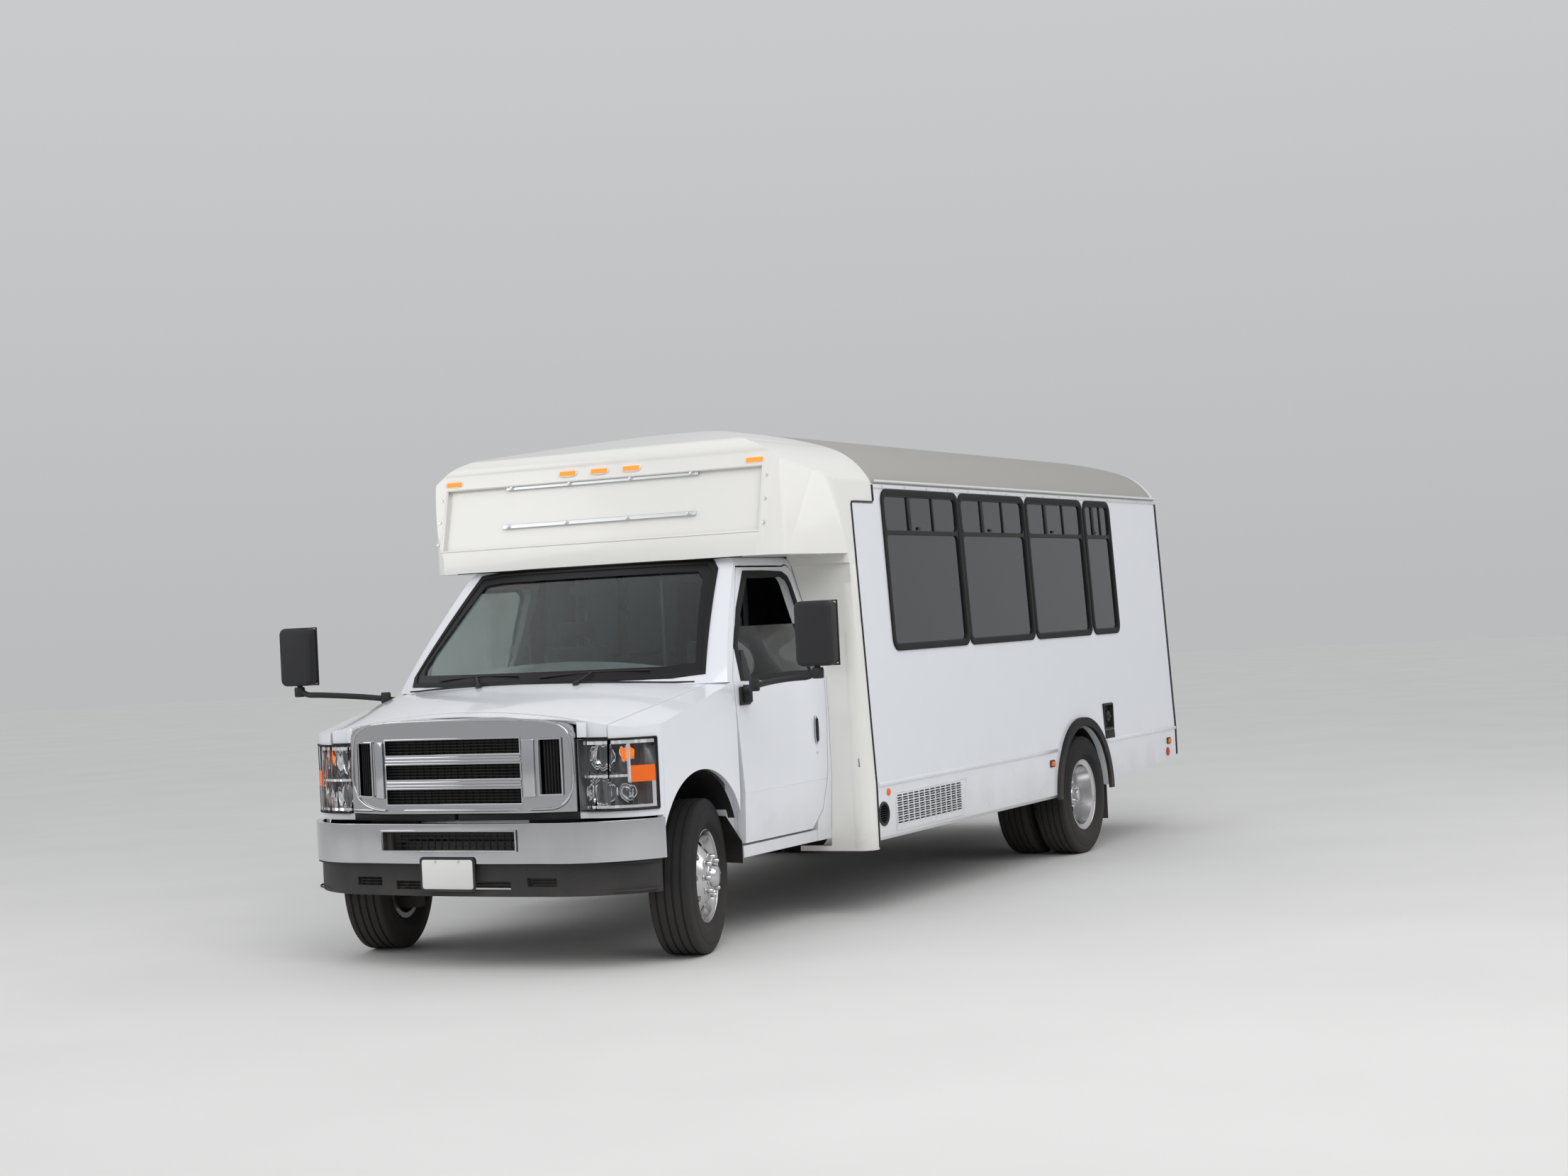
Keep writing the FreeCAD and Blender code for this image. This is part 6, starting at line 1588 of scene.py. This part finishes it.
class MINIBUS_OT_mirrors(bpy.types.Operator):
    """Mirror glass, housing ribs and arm joints"""
    bl_idname = "minibus.mirrors"
    bl_label = "Mirrors"

    def execute(self, context):
        for side, word in SIDES:
            body = "driver_door" if side > 0 else "passenger_door"
            y0, y1 = side * 1468, side * 1652
            pieces = [block(name, (-203, -199.5), sorted((y0, y1)), heights, 1.4)
                      for name, heights in (("flat", (1452, 1658)), ("spot", (1364, 1440)))]
            fit(join("mirror_glass_" + word, pieces), "mirror_silver", body)
            corners = [(-199, side * (1560 + across), 1510 + up)
                       for across, up in rounded(100, 155, 34, 6)]
            head = plate("head", corners, (78, 0, 0), 20, 4)
            arm = rod("arm", [(-420, side * 1003, 1235), (-330, side * 1120, 1270), (-160, side * 1400, 1303),
                              (-160, side * 1556, 1305), (-160, side * 1560, 1370)], 15)
            foot = block("foot", (-480, -380), sorted((side * 1003, side * 1016)), (1170, 1262), 5, 3)
            house = join("mirror_housing_" + word, [head, arm, foot])
            fit(house, "black_plastic", body, stands_for=("mirror_" + word,))
            rim = band("rim", [(-200, y0 - side * 8, 1355), (-200, y1 + side * 8, 1355),
                               (-200, y1 + side * 8, 1665), (-200, y0 - side * 8, 1665)],
                       [(-200, y0, 1363), (-200, y1, 1363), (-200, y1, 1659), (-200, y0, 1659)], 9, 2)
            bar = block("bar", (-204, -199), sorted((y0, y1)), (1441, 1451), 1.5)
            knob = lathe("knob", ((-26, 0), (-26, 24), (-20, 28), (20, 28), (26, 24), (26, 0)),
                         (-160, side * 1560, 1322), (0, 0, 1), 28)
            joint = lathe("joint", ((-30, 0), (-30, 22), (-24, 26), (24, 26), (30, 22), (30, 0)),
                          (-330, side * 1120, 1270), (0, 0, 1), 28)
            fold = lathe("fold", ((-44, 0), (-44, 20), (-38, 24), (38, 24), (44, 20), (44, 0)),
                         (-422, side * 1030, 1226), (0, 0, 1), 28)
            fit(join("mirror_fittings_" + word, [rim, bar, knob, joint, fold]), "black_plastic", body)
        return {"FINISHED"}


# The rear

class MINIBUS_OT_rear(bpy.types.Operator):
    """Rear door's hinges, handle and rubber, tail lamps, blank plate and bumper pads"""
    bl_idname = "minibus.rear"
    bl_label = "Rear"

    def execute(self, context):
        x = -6290
        hinges = []
        for z in (980, 1520, 2060):
            hinges.append(rod("hinge", [(x - 12, 438, z - 60), (x - 12, 438, z + 60)], 9, smooth=False))
        fit(join("rear_hinges", hinges), "aluminium", "rear_door")
        handle = [plate("base", self.ring(x, -360, 1200, 34, 70, 20), (-8, 0, 0), 3),
                  rod("grip", [(x - 8, -360, 1150), (x - 34, -360, 1168), (x - 34, -360, 1232),
                               (x - 8, -360, 1250)], 8)]
        fit(join("rear_handle", handle), "black_plastic", "rear_door")
        outer = self.ring(x - 3, 0, 1765, 352, 357, 56)
        inner = self.ring(x - 3, 0, 1765, 334, 339, 42)
        fit(band("rear_window_rubber", outer, inner, 10, 2), "black_rubber", "rear_door")
        fit(plate("rear_plate", self.ring(x - 2, 0, 1080, 152, 76, 14), (-3, 0, 0), 0.8), "plate_white",
            "rear_door")
        frame = band("plate_frame", self.ring(x - 4, 0, 1080, 160, 84, 18),
                     self.ring(x - 4, 0, 1080, 147, 71, 12), 8, 2)
        lamp = block("lamp", (x - 26, x - 1), (-60, 60), (1172, 1196), 5)
        fit(join("rear_plate_frame", [frame, lamp]), "black_plastic", "rear_door")
        lenses = []
        rims = []
        for side, word in SIDES:
            for z in (900, 1030):
                rims.append(band("rim", self.ring(x - 3, side * 1060, z, 70, 64, 12),
                                 self.ring(x - 3, side * 1060, z, 58, 52, 8), 14, 3))
                lenses.append(plate("lens", self.ring(x - 1, side * 1060, z, 57, 51, 8), (-13, 0, 0), 4, 3))
            lenses.append(plate("lens", self.ring(x - 1, side * 1060, 770, 57, 34, 8), (-9, 0, 0), 3))
        fit(join("tail_lenses", lenses), "red_lens")
        fit(join("tail_rims", rims), "black_trim")
        pads = []
        for y in (-1010, 1010):
            pads.append(block("pad", (x - 168, x - 153), (y - 60, y + 60), (492, 580), 5))
        for count in range(-8, 9):
            pads.append(block("tread", (x - 148, x - 10), (count * 44 - 3, count * 44 + 3), (574, 580), 1.5))
        for side in (1, -1):
            for count in range(6):
                y = side * (450 + count * 110)
                pads.append(block("tread", (x - 140, x - 10), sorted((y - 3, y + 3)), (599, 605), 1.5))
        fit(join("bumper_pads", pads), "black_rubber")
        for side, word in SIDES:
            ring = band("ring", self.ring(x - 5, side * 775, 1765, 240, 350, 52),
                        self.ring(x - 5, side * 775, 1765, 226, 336, 40), 10, 2)
            ring.name = "rear_pane_rubber_" + word
            fit(ring, "black_rubber")
        return {"FINISHED"}

    def ring(self, x, y, z, half_y, half_z, radius):
        """A ring of points with round corners on the rear wall."""
        return [(x, y + across, z + up) for across, up in rounded(half_y, half_z, radius, 6)]


# Seats and the inside

CAB_SEATS_X = -1200
FIRST_ROW_X = -2650
ROW_PITCH = 750
ROWS = 4


def swell(piece, voxel, reach):
    """Remeshes a pad and blows it up as cloth, so that its faces crown between the seams."""
    modify(piece, "REMESH", mode="VOXEL", voxel_size=voxel / 1000)
    start = [vertex.co.copy() for vertex in piece.data.vertices]
    pick(piece)
    bpy.ops.object.modifier_add(type="CLOTH")
    cloth = piece.modifiers[-1]
    cloth.settings.use_pressure = True
    cloth.settings.uniform_pressure_force = 4.0
    cloth.settings.effector_weights.gravity = 0.0
    for step in range(1, 21):
        bpy.context.scene.frame_set(step)
    bpy.ops.object.modifier_apply(modifier=cloth.name)
    bpy.context.scene.frame_set(1)
    for vertex, old in zip(piece.data.vertices, start):
        moved = vertex.co - old
        if moved.length > reach / 1000:
            vertex.co = old + moved.normalized() * reach / 1000
    return piece


def sew(piece, lines, depth, width, axis=1):
    """Draws a pad in along straight seams at a few places across it."""
    piece.data.update()
    for vertex in piece.data.vertices:
        for line in lines:
            away = (vertex.co[axis] - line / 1000) / (width / 1000)
            if abs(away) < 3:
                vertex.co -= vertex.normal * depth / 1000 * math.exp(-away * away)
    pick(piece)
    bpy.ops.object.shade_smooth()
    return piece


def pad_of(name, side, y, voxel, reach, seams, width=22):
    """A swollen pad from its side view, with seams drawn in across it."""
    piece = plate(name, [(x, y[0], z) for x, z in side], (0, y[1] - y[0], 0), 24, 3)
    swell(piece, voxel, reach)
    return sew(piece, seams, 9, width)


class MINIBUS_OT_cab_seats(bpy.types.Operator):
    """Two padded cab seats with head rests, arm rests, belts and pedestals"""
    bl_idname = "minibus.cab_seats"
    bl_label = "Cab seats"

    def execute(self, context):
        x = CAB_SEATS_X
        sides = (244, 676)
        seams = (330, 590)
        cushion = pad_of("cushion", [(x + 120, 862), (x + 488, 856), (x + 496, 920), (x + 478, 962),
                                     (x + 300, 958), (x + 130, 940)], sides, 11, 12, seams)
        back = pad_of("back", [(x + 62, 868), (x + 150, 880), (x + 128, 980), (x + 55, 1400), (x + 36, 1500),
                               (x - 30, 1500), (x - 45, 1420), (x - 10, 1000)], sides, 11, 12, seams)
        rest = pad_of("rest", [(x + 40, 1532), (x + 26, 1626), (x - 44, 1626), (x - 38, 1532)],
                      (350, 570), 9, 9, (), 10)
        frame = [block("box", (x + 130, x + 372), (262, 658), (641, 700), 8),
                 block("riser", (x + 150, x + 352), (300, 620), (700, 846), 10),
                 block("tray", (x + 120, x + 480), (256, 664), (838, 858), 5),
                 block("cover", (x + 60, x + 150), (248, 262), (850, 1010), 8),
                 rod("stalk", [(x + 4, 420, 1500), (x - 2, 420, 1540)], 7),
                 rod("stalk", [(x + 4, 500, 1500), (x - 2, 500, 1540)], 7),
                 rod("lever", [(x + 340, 664, 800), (x + 430, 676, 800)], 8)]
        frame = join("seat_frame", frame)
        arm = plate("arm", [(x + 60, 690, 1130), (x + 300, 690, 1128), (x + 322, 690, 1108),
                            (x + 300, 690, 1088), (x + 60, 690, 1088)], (0, 38, 0), 14, 3)

        def strap(across, along):
            return (between(x - 4, x + 150, along) + 6 * math.sin(along * 3.1),
                    between(262, 300, across) + along * 180, between(1500, 985, along))

        belt = skin("belt", 1, 8, strap, 2.0)
        for side, word in SIDES:
            flip = side < 0
            for source, name, fill in ((cushion, "cab_cushion_", 0.7), (back, "cab_back_", 0.7),
                                       (rest, "head_rest_", 0.8)):
                made = twin(source, name + word, flip=flip)
                fit(made, "seat_cloth", stands_for=("cab_seats",))
            fit(twin(frame, "cab_seat_frame_" + word, flip=flip), "black_plastic", stands_for=("cab_seats",))
            fit(twin(arm, "cab_arm_rest_" + word, flip=flip), "interior_grey")
            fit(twin(belt, "seat_belt_" + word, flip=flip), "black_trim")
        drop(cushion, back, rest, frame, arm, belt)
        return {"FINISHED"}


class MINIBUS_OT_passenger_seats(bpy.types.Operator):
    """Seven padded double seats on metal legs"""
    bl_idname = "minibus.passenger_seats"
    bl_label = "Passenger seats"

    def execute(self, context):
        x = FIRST_ROW_X
        sides = (282, 1108)
        seams = (380, 695, 1010)
        cushion = pad_of("cushion", [(x + 128, 1160), (x + 490, 1156), (x + 498, 1215), (x + 480, 1260),
                                     (x + 300, 1256), (x + 138, 1238)], sides, 16, 14, seams, 26)
        back = pad_of("back", [(x + 60, 1168), (x + 148, 1176), (x + 130, 1270), (x + 30, 1830),
                               (x + 10, 1876), (x - 56, 1876), (x - 62, 1810), (x - 50, 1760)],
                      sides, 16, 14, seams, 26)
        legs = [block("foot", (x + 110, x + 400), (430, 500), (836, 848), 4),
                block("leg", (x + 200, x + 300), (450, 480), (846, 1140), 6),
                block("beam", (x + 140, x + 470), (300, 1090), (1136, 1150), 4),
                block("rail", (x + 160, x + 200), (290, 1120), (1112, 1138), 5),
                block("rail", (x + 400, x + 440), (290, 1120), (1112, 1138), 5),
                rod("grab", [(x - 10, 330, 1876), (x - 24, 330, 1922), (x - 24, 640, 1922),
                             (x - 10, 640, 1876)], 10),
                rod("arm", [(x + 60, 270, 1240), (x + 40, 262, 1420), (x + 330, 262, 1424),
                            (x + 350, 270, 1250)], 11)]
        legs = join("legs", legs)
        shell = plate("shell", [(x - 62, 300, 1240), (x - 70, 300, 1780), (x - 84, 300, 1790),
                                (x - 80, 300, 1240)],
                      (0, 790, 0), 4)
        for row in range(ROWS):
            for side, word in SIDES:
                if row == 0 and side < 0:
                    continue
                move = (-ROW_PITCH * row, 0, 0)
                name = "%s_%d" % (word, row + 1)
                for source, kind in ((cushion, "bench_cushion_"), (back, "bench_back_")):
                    made = twin(source, kind + name, move, side < 0)
                    fit(made, "seat_cloth", stands_for=("passenger_seats",))
                fit(twin(legs, "bench_legs_" + name, move, side < 0), "aluminium",
                    stands_for=("passenger_seats",))
                fit(twin(shell, "bench_shell_" + name, move, side < 0), "black_plastic")
        drop(cushion, back, legs, shell)
        return {"FINISHED"}


class MINIBUS_OT_inside(bpy.types.Operator):
    """Instruments, pedals, rails, steps, ceiling lamps and a partition"""
    bl_idname = "minibus.inside"
    bl_label = "Inside"

    def execute(self, context):
        hood = plate("binnacle", [(-560, 290, 1296), (-690, 290, 1290), (-700, 290, 1330), (-640, 290, 1362),
                                  (-540, 290, 1352)], (0, 300, 0), 14, 3)
        fit(hood, "black_plastic")
        dials = []
        for y in (355, 440, 525):
            dials.append(lathe("dial", ((0, 0), (0, 36), (5, 38), (7, 34), (3, 31), (3, 0)), (-701, y, 1312),
                               (-1, 0, 0.12), 28))
        fit(join("dials", dials), "aluminium")
        vents = []
        for y in (-720, -420, 60, 720):
            for row in range(4):
                vents.append(block("vent", (-708, -694), (y - 60, y + 60),
                                   (1222 + row * 14, 1226 + row * 14), 1, 1))
        radio = block("radio", (-712, -696), (-120, 130), (1130, 1190), 4)
        knobs = [lathe("knob", ((0, 0), (0, 17), (16, 15), (18, 0)), (-690, y, 1095), (-1, 0, 0), 20)
                 for y in (-80, 0, 80)]
        fit(join("dash_details", vents + [radio] + knobs), "black_trim")
        pedals = []
        for y in (330, 430):
            pedals.append(plate("pedal", [(-545, y - 28, 760), (-545, y + 28, 760), (-520, y + 28, 830),
                                          (-520, y - 28, 830)], (-10, 0, 4), 3))
            pedals.append(rod("lever", [(-520, y, 815), (-440, y, 900), (-380, y, 1000)], 8))
        fit(join("pedals", pedals), "black_rubber")
        boss = lathe("boss", ((0, 0), (0, 60), (14, 58), (22, 40), (24, 0)), (-852, 430, 1186),
                     (-0.9, 0, 0.44), 32)
        stalks = [rod("stalk", [(-760, 430, 1150), (-790, 560, 1190), (-795, 640, 1200)], 7),
                  rod("stalk", [(-760, 430, 1150), (-790, 300, 1190), (-795, 230, 1200)], 7)]
        fit(join("wheel_boss", [boss] + stalks), "black_plastic")
        rails = [rod("rail", [(-2300, -560, 836), (-2300, -560, 1700), (-2290, -560, 2300)], 16,
                     smooth=False),
                 rod("rail", [(-1560, -1040, 880), (-1560, -1010, 1300), (-1560, -1040, 1700)], 13),
                 rod("rail", [(-2200, -1040, 880), (-2200, -1010, 1300), (-2200, -1040, 1700)], 13),
                 rod("rail", [(-1800, 420, 2300), (-6100, 420, 2300)], 13, smooth=False),
                 rod("rail", [(-2400, -420, 2300), (-6100, -420, 2300)], 13, smooth=False)]
        for x in (-2400, -3600, -4800, -6000):
            for y in (420, -420):
                rails.append(rod("hanger", [(x, y, 2300), (x, y, 2585)], 9, smooth=False))
        fit(join("grab_rails", rails), "aluminium")
        panel = block("panel", (-1716, -1700), (330, 1090), (840, 1500), 6)
        posts = [rod("post", [(-1708, 330, 840), (-1708, 330, 2380)], 15, smooth=False)]
        fit(join("partition", [panel] + posts), "interior_grey")
        lamps = []
        for x in (-2200, -3400, -4600, -5800):
            lamps.append(block("lamp", (x - 180, x + 180), (-70, 70), (2586, 2606), 10))
        fit(join("ceiling_lamps", lamps), "clear_lens")
        nosing = []
        for y, z in ((-1160, 395), (-902, 616), (-640, 838)):
            nosing.append(block("nosing", (-2252, -1508), (y, y + 34), (z, z + 4), 1.5))
        fit(join("step_nosings", nosing), "amber_lens")
        aisle = block("aisle", (-6180, -2340), (-225, 225), (835.5, 838.5), 1)
        fit(aisle, "black_rubber")
        for name, front in (("entry_door_front", -1509), ("entry_door_rear", -1886)):
            seals = []
            for edge in (front - 14, front - 352):
                seals.append(side_strip("seal", -1, (edge - 12, edge + 12), (410, 2150), 2.5, 1, 1))
            rim = band("rim", self.frame(front - 183, 126, 1316, 815, 44, 3),
                       self.frame(front - 183, 112, 1316, 801, 34, 3), 6, 1.5)
            fit(join(name + "_seals", seals + [rim]), "black_rubber", name)
        return {"FINISHED"}

    def frame(self, x, half_x, z, half_z, radius, out):
        """A ring of points with round corners on the right wall."""
        return [(x + across, -wall_y(z + up) - out, z + up)
                for across, up in rounded(half_x, half_z, radius, 6)]


# What the hood hides, and the underside

class MINIBUS_OT_engine_bay(bpy.types.Operator):
    """Radiator, fan, battery, air filter, hoses and reservoirs"""
    bl_idname = "minibus.engine_bay"
    bl_label = "Engine bay"

    def execute(self, context):
        core = [block("core", (440, 476), (-326, 326), (672, 1014), 4)]
        for row in range(24):
            z = 684 + row * 14
            core.append(block("fin", (476, 480), (-318, 318), (z - 2.5, z + 2.5), 0, 1))
        fit(join("radiator", core), "aluminium")
        fan = [lathe("ring", ((0, 225), (0, 240), (-60, 240), (-60, 225)), (430, 0, 850), (1, 0, 0), 48),
               lathe("hub", ((4, 0), (4, 50), (-40, 50), (-46, 40), (-46, 0)), (420, 0, 850), (1, 0, 0), 24)]
        blade = plate("blade", [(412, -18, 895), (400, 24, 895), (388, 40, 1062), (408, -34, 1062)],
                      (-5, 0, 0), 1.5)
        fan.append(ring_of(blade, 7, (410, 0, 850), (1, 0, 0)))
        fit(join("fan", fan), "black_plastic")
        battery = [block("case", (120, 330), (330, 500), (760, 930), 8),
                   block("tray", (110, 340), (320, 510), (744, 760), 5)]
        for x in (160, 290):
            battery.append(lathe("post", ((0, 0), (0, 11), (20, 9), (20, 0)), (x, 380, 928), (0, 0, 1), 16))
        fit(join("battery", battery), "black_plastic")
        filter_box = [block("box", (90, 330), (-510, -320), (760, 960), 22, 3),
                      rod("duct", [(200, -330, 930), (180, -200, 1050), (80, -60, 1100)], 38),
                      block("lid", (84, 336), (-516, -314), (900, 912), 4)]
        fit(join("air_filter", filter_box), "black_plastic")
        hoses = [rod("hose", [(444, 240, 980), (360, 240, 1010), (260, 150, 1030), (180, 100, 1030)], 24),
                 rod("hose", [(444, -240, 710), (360, -240, 680), (260, -220, 660), (200, -200, 660)], 24),
                 rod("loom", [(-290, 300, 1150), (-100, 320, 1100), (60, 300, 1040), (140, 370, 950)], 9),
                 rod("loom", [(-290, -350, 1140), (-60, -330, 1090), (90, -400, 980)], 9)]
        fit(join("hoses", hoses), "black_rubber")
        tank = [block("tank", (-250, -90), (340, 520), (980, 1110), 22, 3),
                lathe("cap", ((0, 0), (0, 26), (18, 24), (20, 0)), (-170, 430, 1108), (0, 0, 1), 24)]
        fit(join("coolant_tank", tank), "roof_white")
        brake = [block("brake", (-290, -160), (-470, -410), (1010, 1060), 8),
                 lathe("servo", ((0, 0), (0, 96), (50, 104), (80, 60), (84, 0)), (-298, -440, 1030),
                       (1, 0, 0), 36)]
        fit(join("brake_servo", brake), "chassis_black")
        cover = [block("cover", (-230, 300), (-200, 200), (1041, 1086), 16, 3)]
        for y in (-120, -60, 0, 60, 120):
            cover.append(block("rib", (-210, 280), (y - 6, y + 6), (1084, 1092), 3))
        fit(join("engine_cover", cover), "black_plastic")
        return {"FINISHED"}


class MINIBUS_OT_underside(bpy.types.Operator):
    """Rear spring clamps, dampers, exhaust hangers and the exhaust's tip"""
    bl_idname = "minibus.underside"
    bl_label = "Underside"

    def execute(self, context):
        pieces = []
        for side in (1, -1):
            y = side * 520
            for x in (-4540, -4400):
                pieces.append(rod("clamp", [(x, y - 42, 300), (x, y - 42, 440), (x, y, 452), (x, y + 42, 440),
                                            (x, y + 42, 300)], 8))
            pieces.append(block("clamp_plate", (-4560, -4380), (y - 56, y + 56), (296, 310), 3))
            pieces.append(rod("damper", [(-4300, side * 400, 300), (-4180, side * 392, 560)], 24,
                              smooth=False))
            pieces.append(rod("damper_rod", [(-4330, side * 402, 240), (-4300, side * 400, 300)], 11,
                              smooth=False))
        fit(join("rear_spring_clamps", pieces), "cast_iron")
        hangers = [rod("hanger", [(-3200, -300, 395), (-3200, -330, 500), (-3200, -400, 560)], 7),
                   rod("hanger", [(-2920, -300, 425), (-2920, -340, 520), (-2920, -400, 560)], 7)]
        fit(join("exhaust_hangers", hangers), "black_rubber")
        tip = lathe("exhaust_tip", ((0, 30), (0, 36), (60, 38), (62, 34), (60, 31)), (-3760, -1160, 335),
                    (0, -1, 0), 32)
        fit(tip, "exhaust_steel")
        return {"FINISHED"}


CLASSES = (MinibusFinish, MinibusWheels, MinibusGlass, MinibusStage, MINIBUS_OT_stage, MINIBUS_OT_panels,
           MINIBUS_OT_tyres, MINIBUS_OT_hubs, MINIBUS_OT_grille, MINIBUS_OT_headlamps,
           MINIBUS_OT_front_trim, MINIBUS_OT_windscreen, MINIBUS_OT_nose_panels, MINIBUS_OT_side_trim,
           MINIBUS_OT_cap_trim, MINIBUS_OT_cab_doors, MINIBUS_OT_mirrors, MINIBUS_OT_rear,
           MINIBUS_OT_cab_seats, MINIBUS_OT_passenger_seats, MINIBUS_OT_inside, MINIBUS_OT_engine_bay,
           MINIBUS_OT_underside)
STEPS = ("stage", "panels", "tyres", "hubs", "grille", "headlamps", "front_trim", "windscreen",
         "nose_panels", "side_trim", "cap_trim", "cab_doors", "mirrors", "rear", "cab_seats",
         "passenger_seats", "inside", "engine_bay", "underside")


class MINIBUS_PT_steps(bpy.types.Panel):
    bl_label = "Minibus"
    bl_idname = "MINIBUS_PT_steps"
    bl_space_type = "VIEW_3D"
    bl_region_type = "UI"
    bl_category = "Minibus"

    def draw(self, context):
        for group in ("minibus_finish", "minibus_wheels", "minibus_glass", "minibus_stage"):
            holder = getattr(context.scene, group)
            for name in holder.__annotations__:
                self.layout.prop(holder, name)
        for step in STEPS:
            self.layout.operator("minibus." + step)


def register():
    for item in (*CLASSES, MINIBUS_PT_steps):
        bpy.utils.register_class(item)
    bpy.types.Scene.minibus_finish = PointerProperty(type=MinibusFinish)
    bpy.types.Scene.minibus_wheels = PointerProperty(type=MinibusWheels)
    bpy.types.Scene.minibus_glass = PointerProperty(type=MinibusGlass)
    bpy.types.Scene.minibus_stage = PointerProperty(type=MinibusStage)


def unregister():
    for name in ("minibus_finish", "minibus_wheels", "minibus_glass", "minibus_stage"):
        delattr(bpy.types.Scene, name)
    for item in reversed((*CLASSES, MINIBUS_PT_steps)):
        bpy.utils.unregister_class(item)


def main():
    register()
    for step in STEPS:
        getattr(bpy.ops.minibus, step)()


if __name__ == "__main__":
    main()
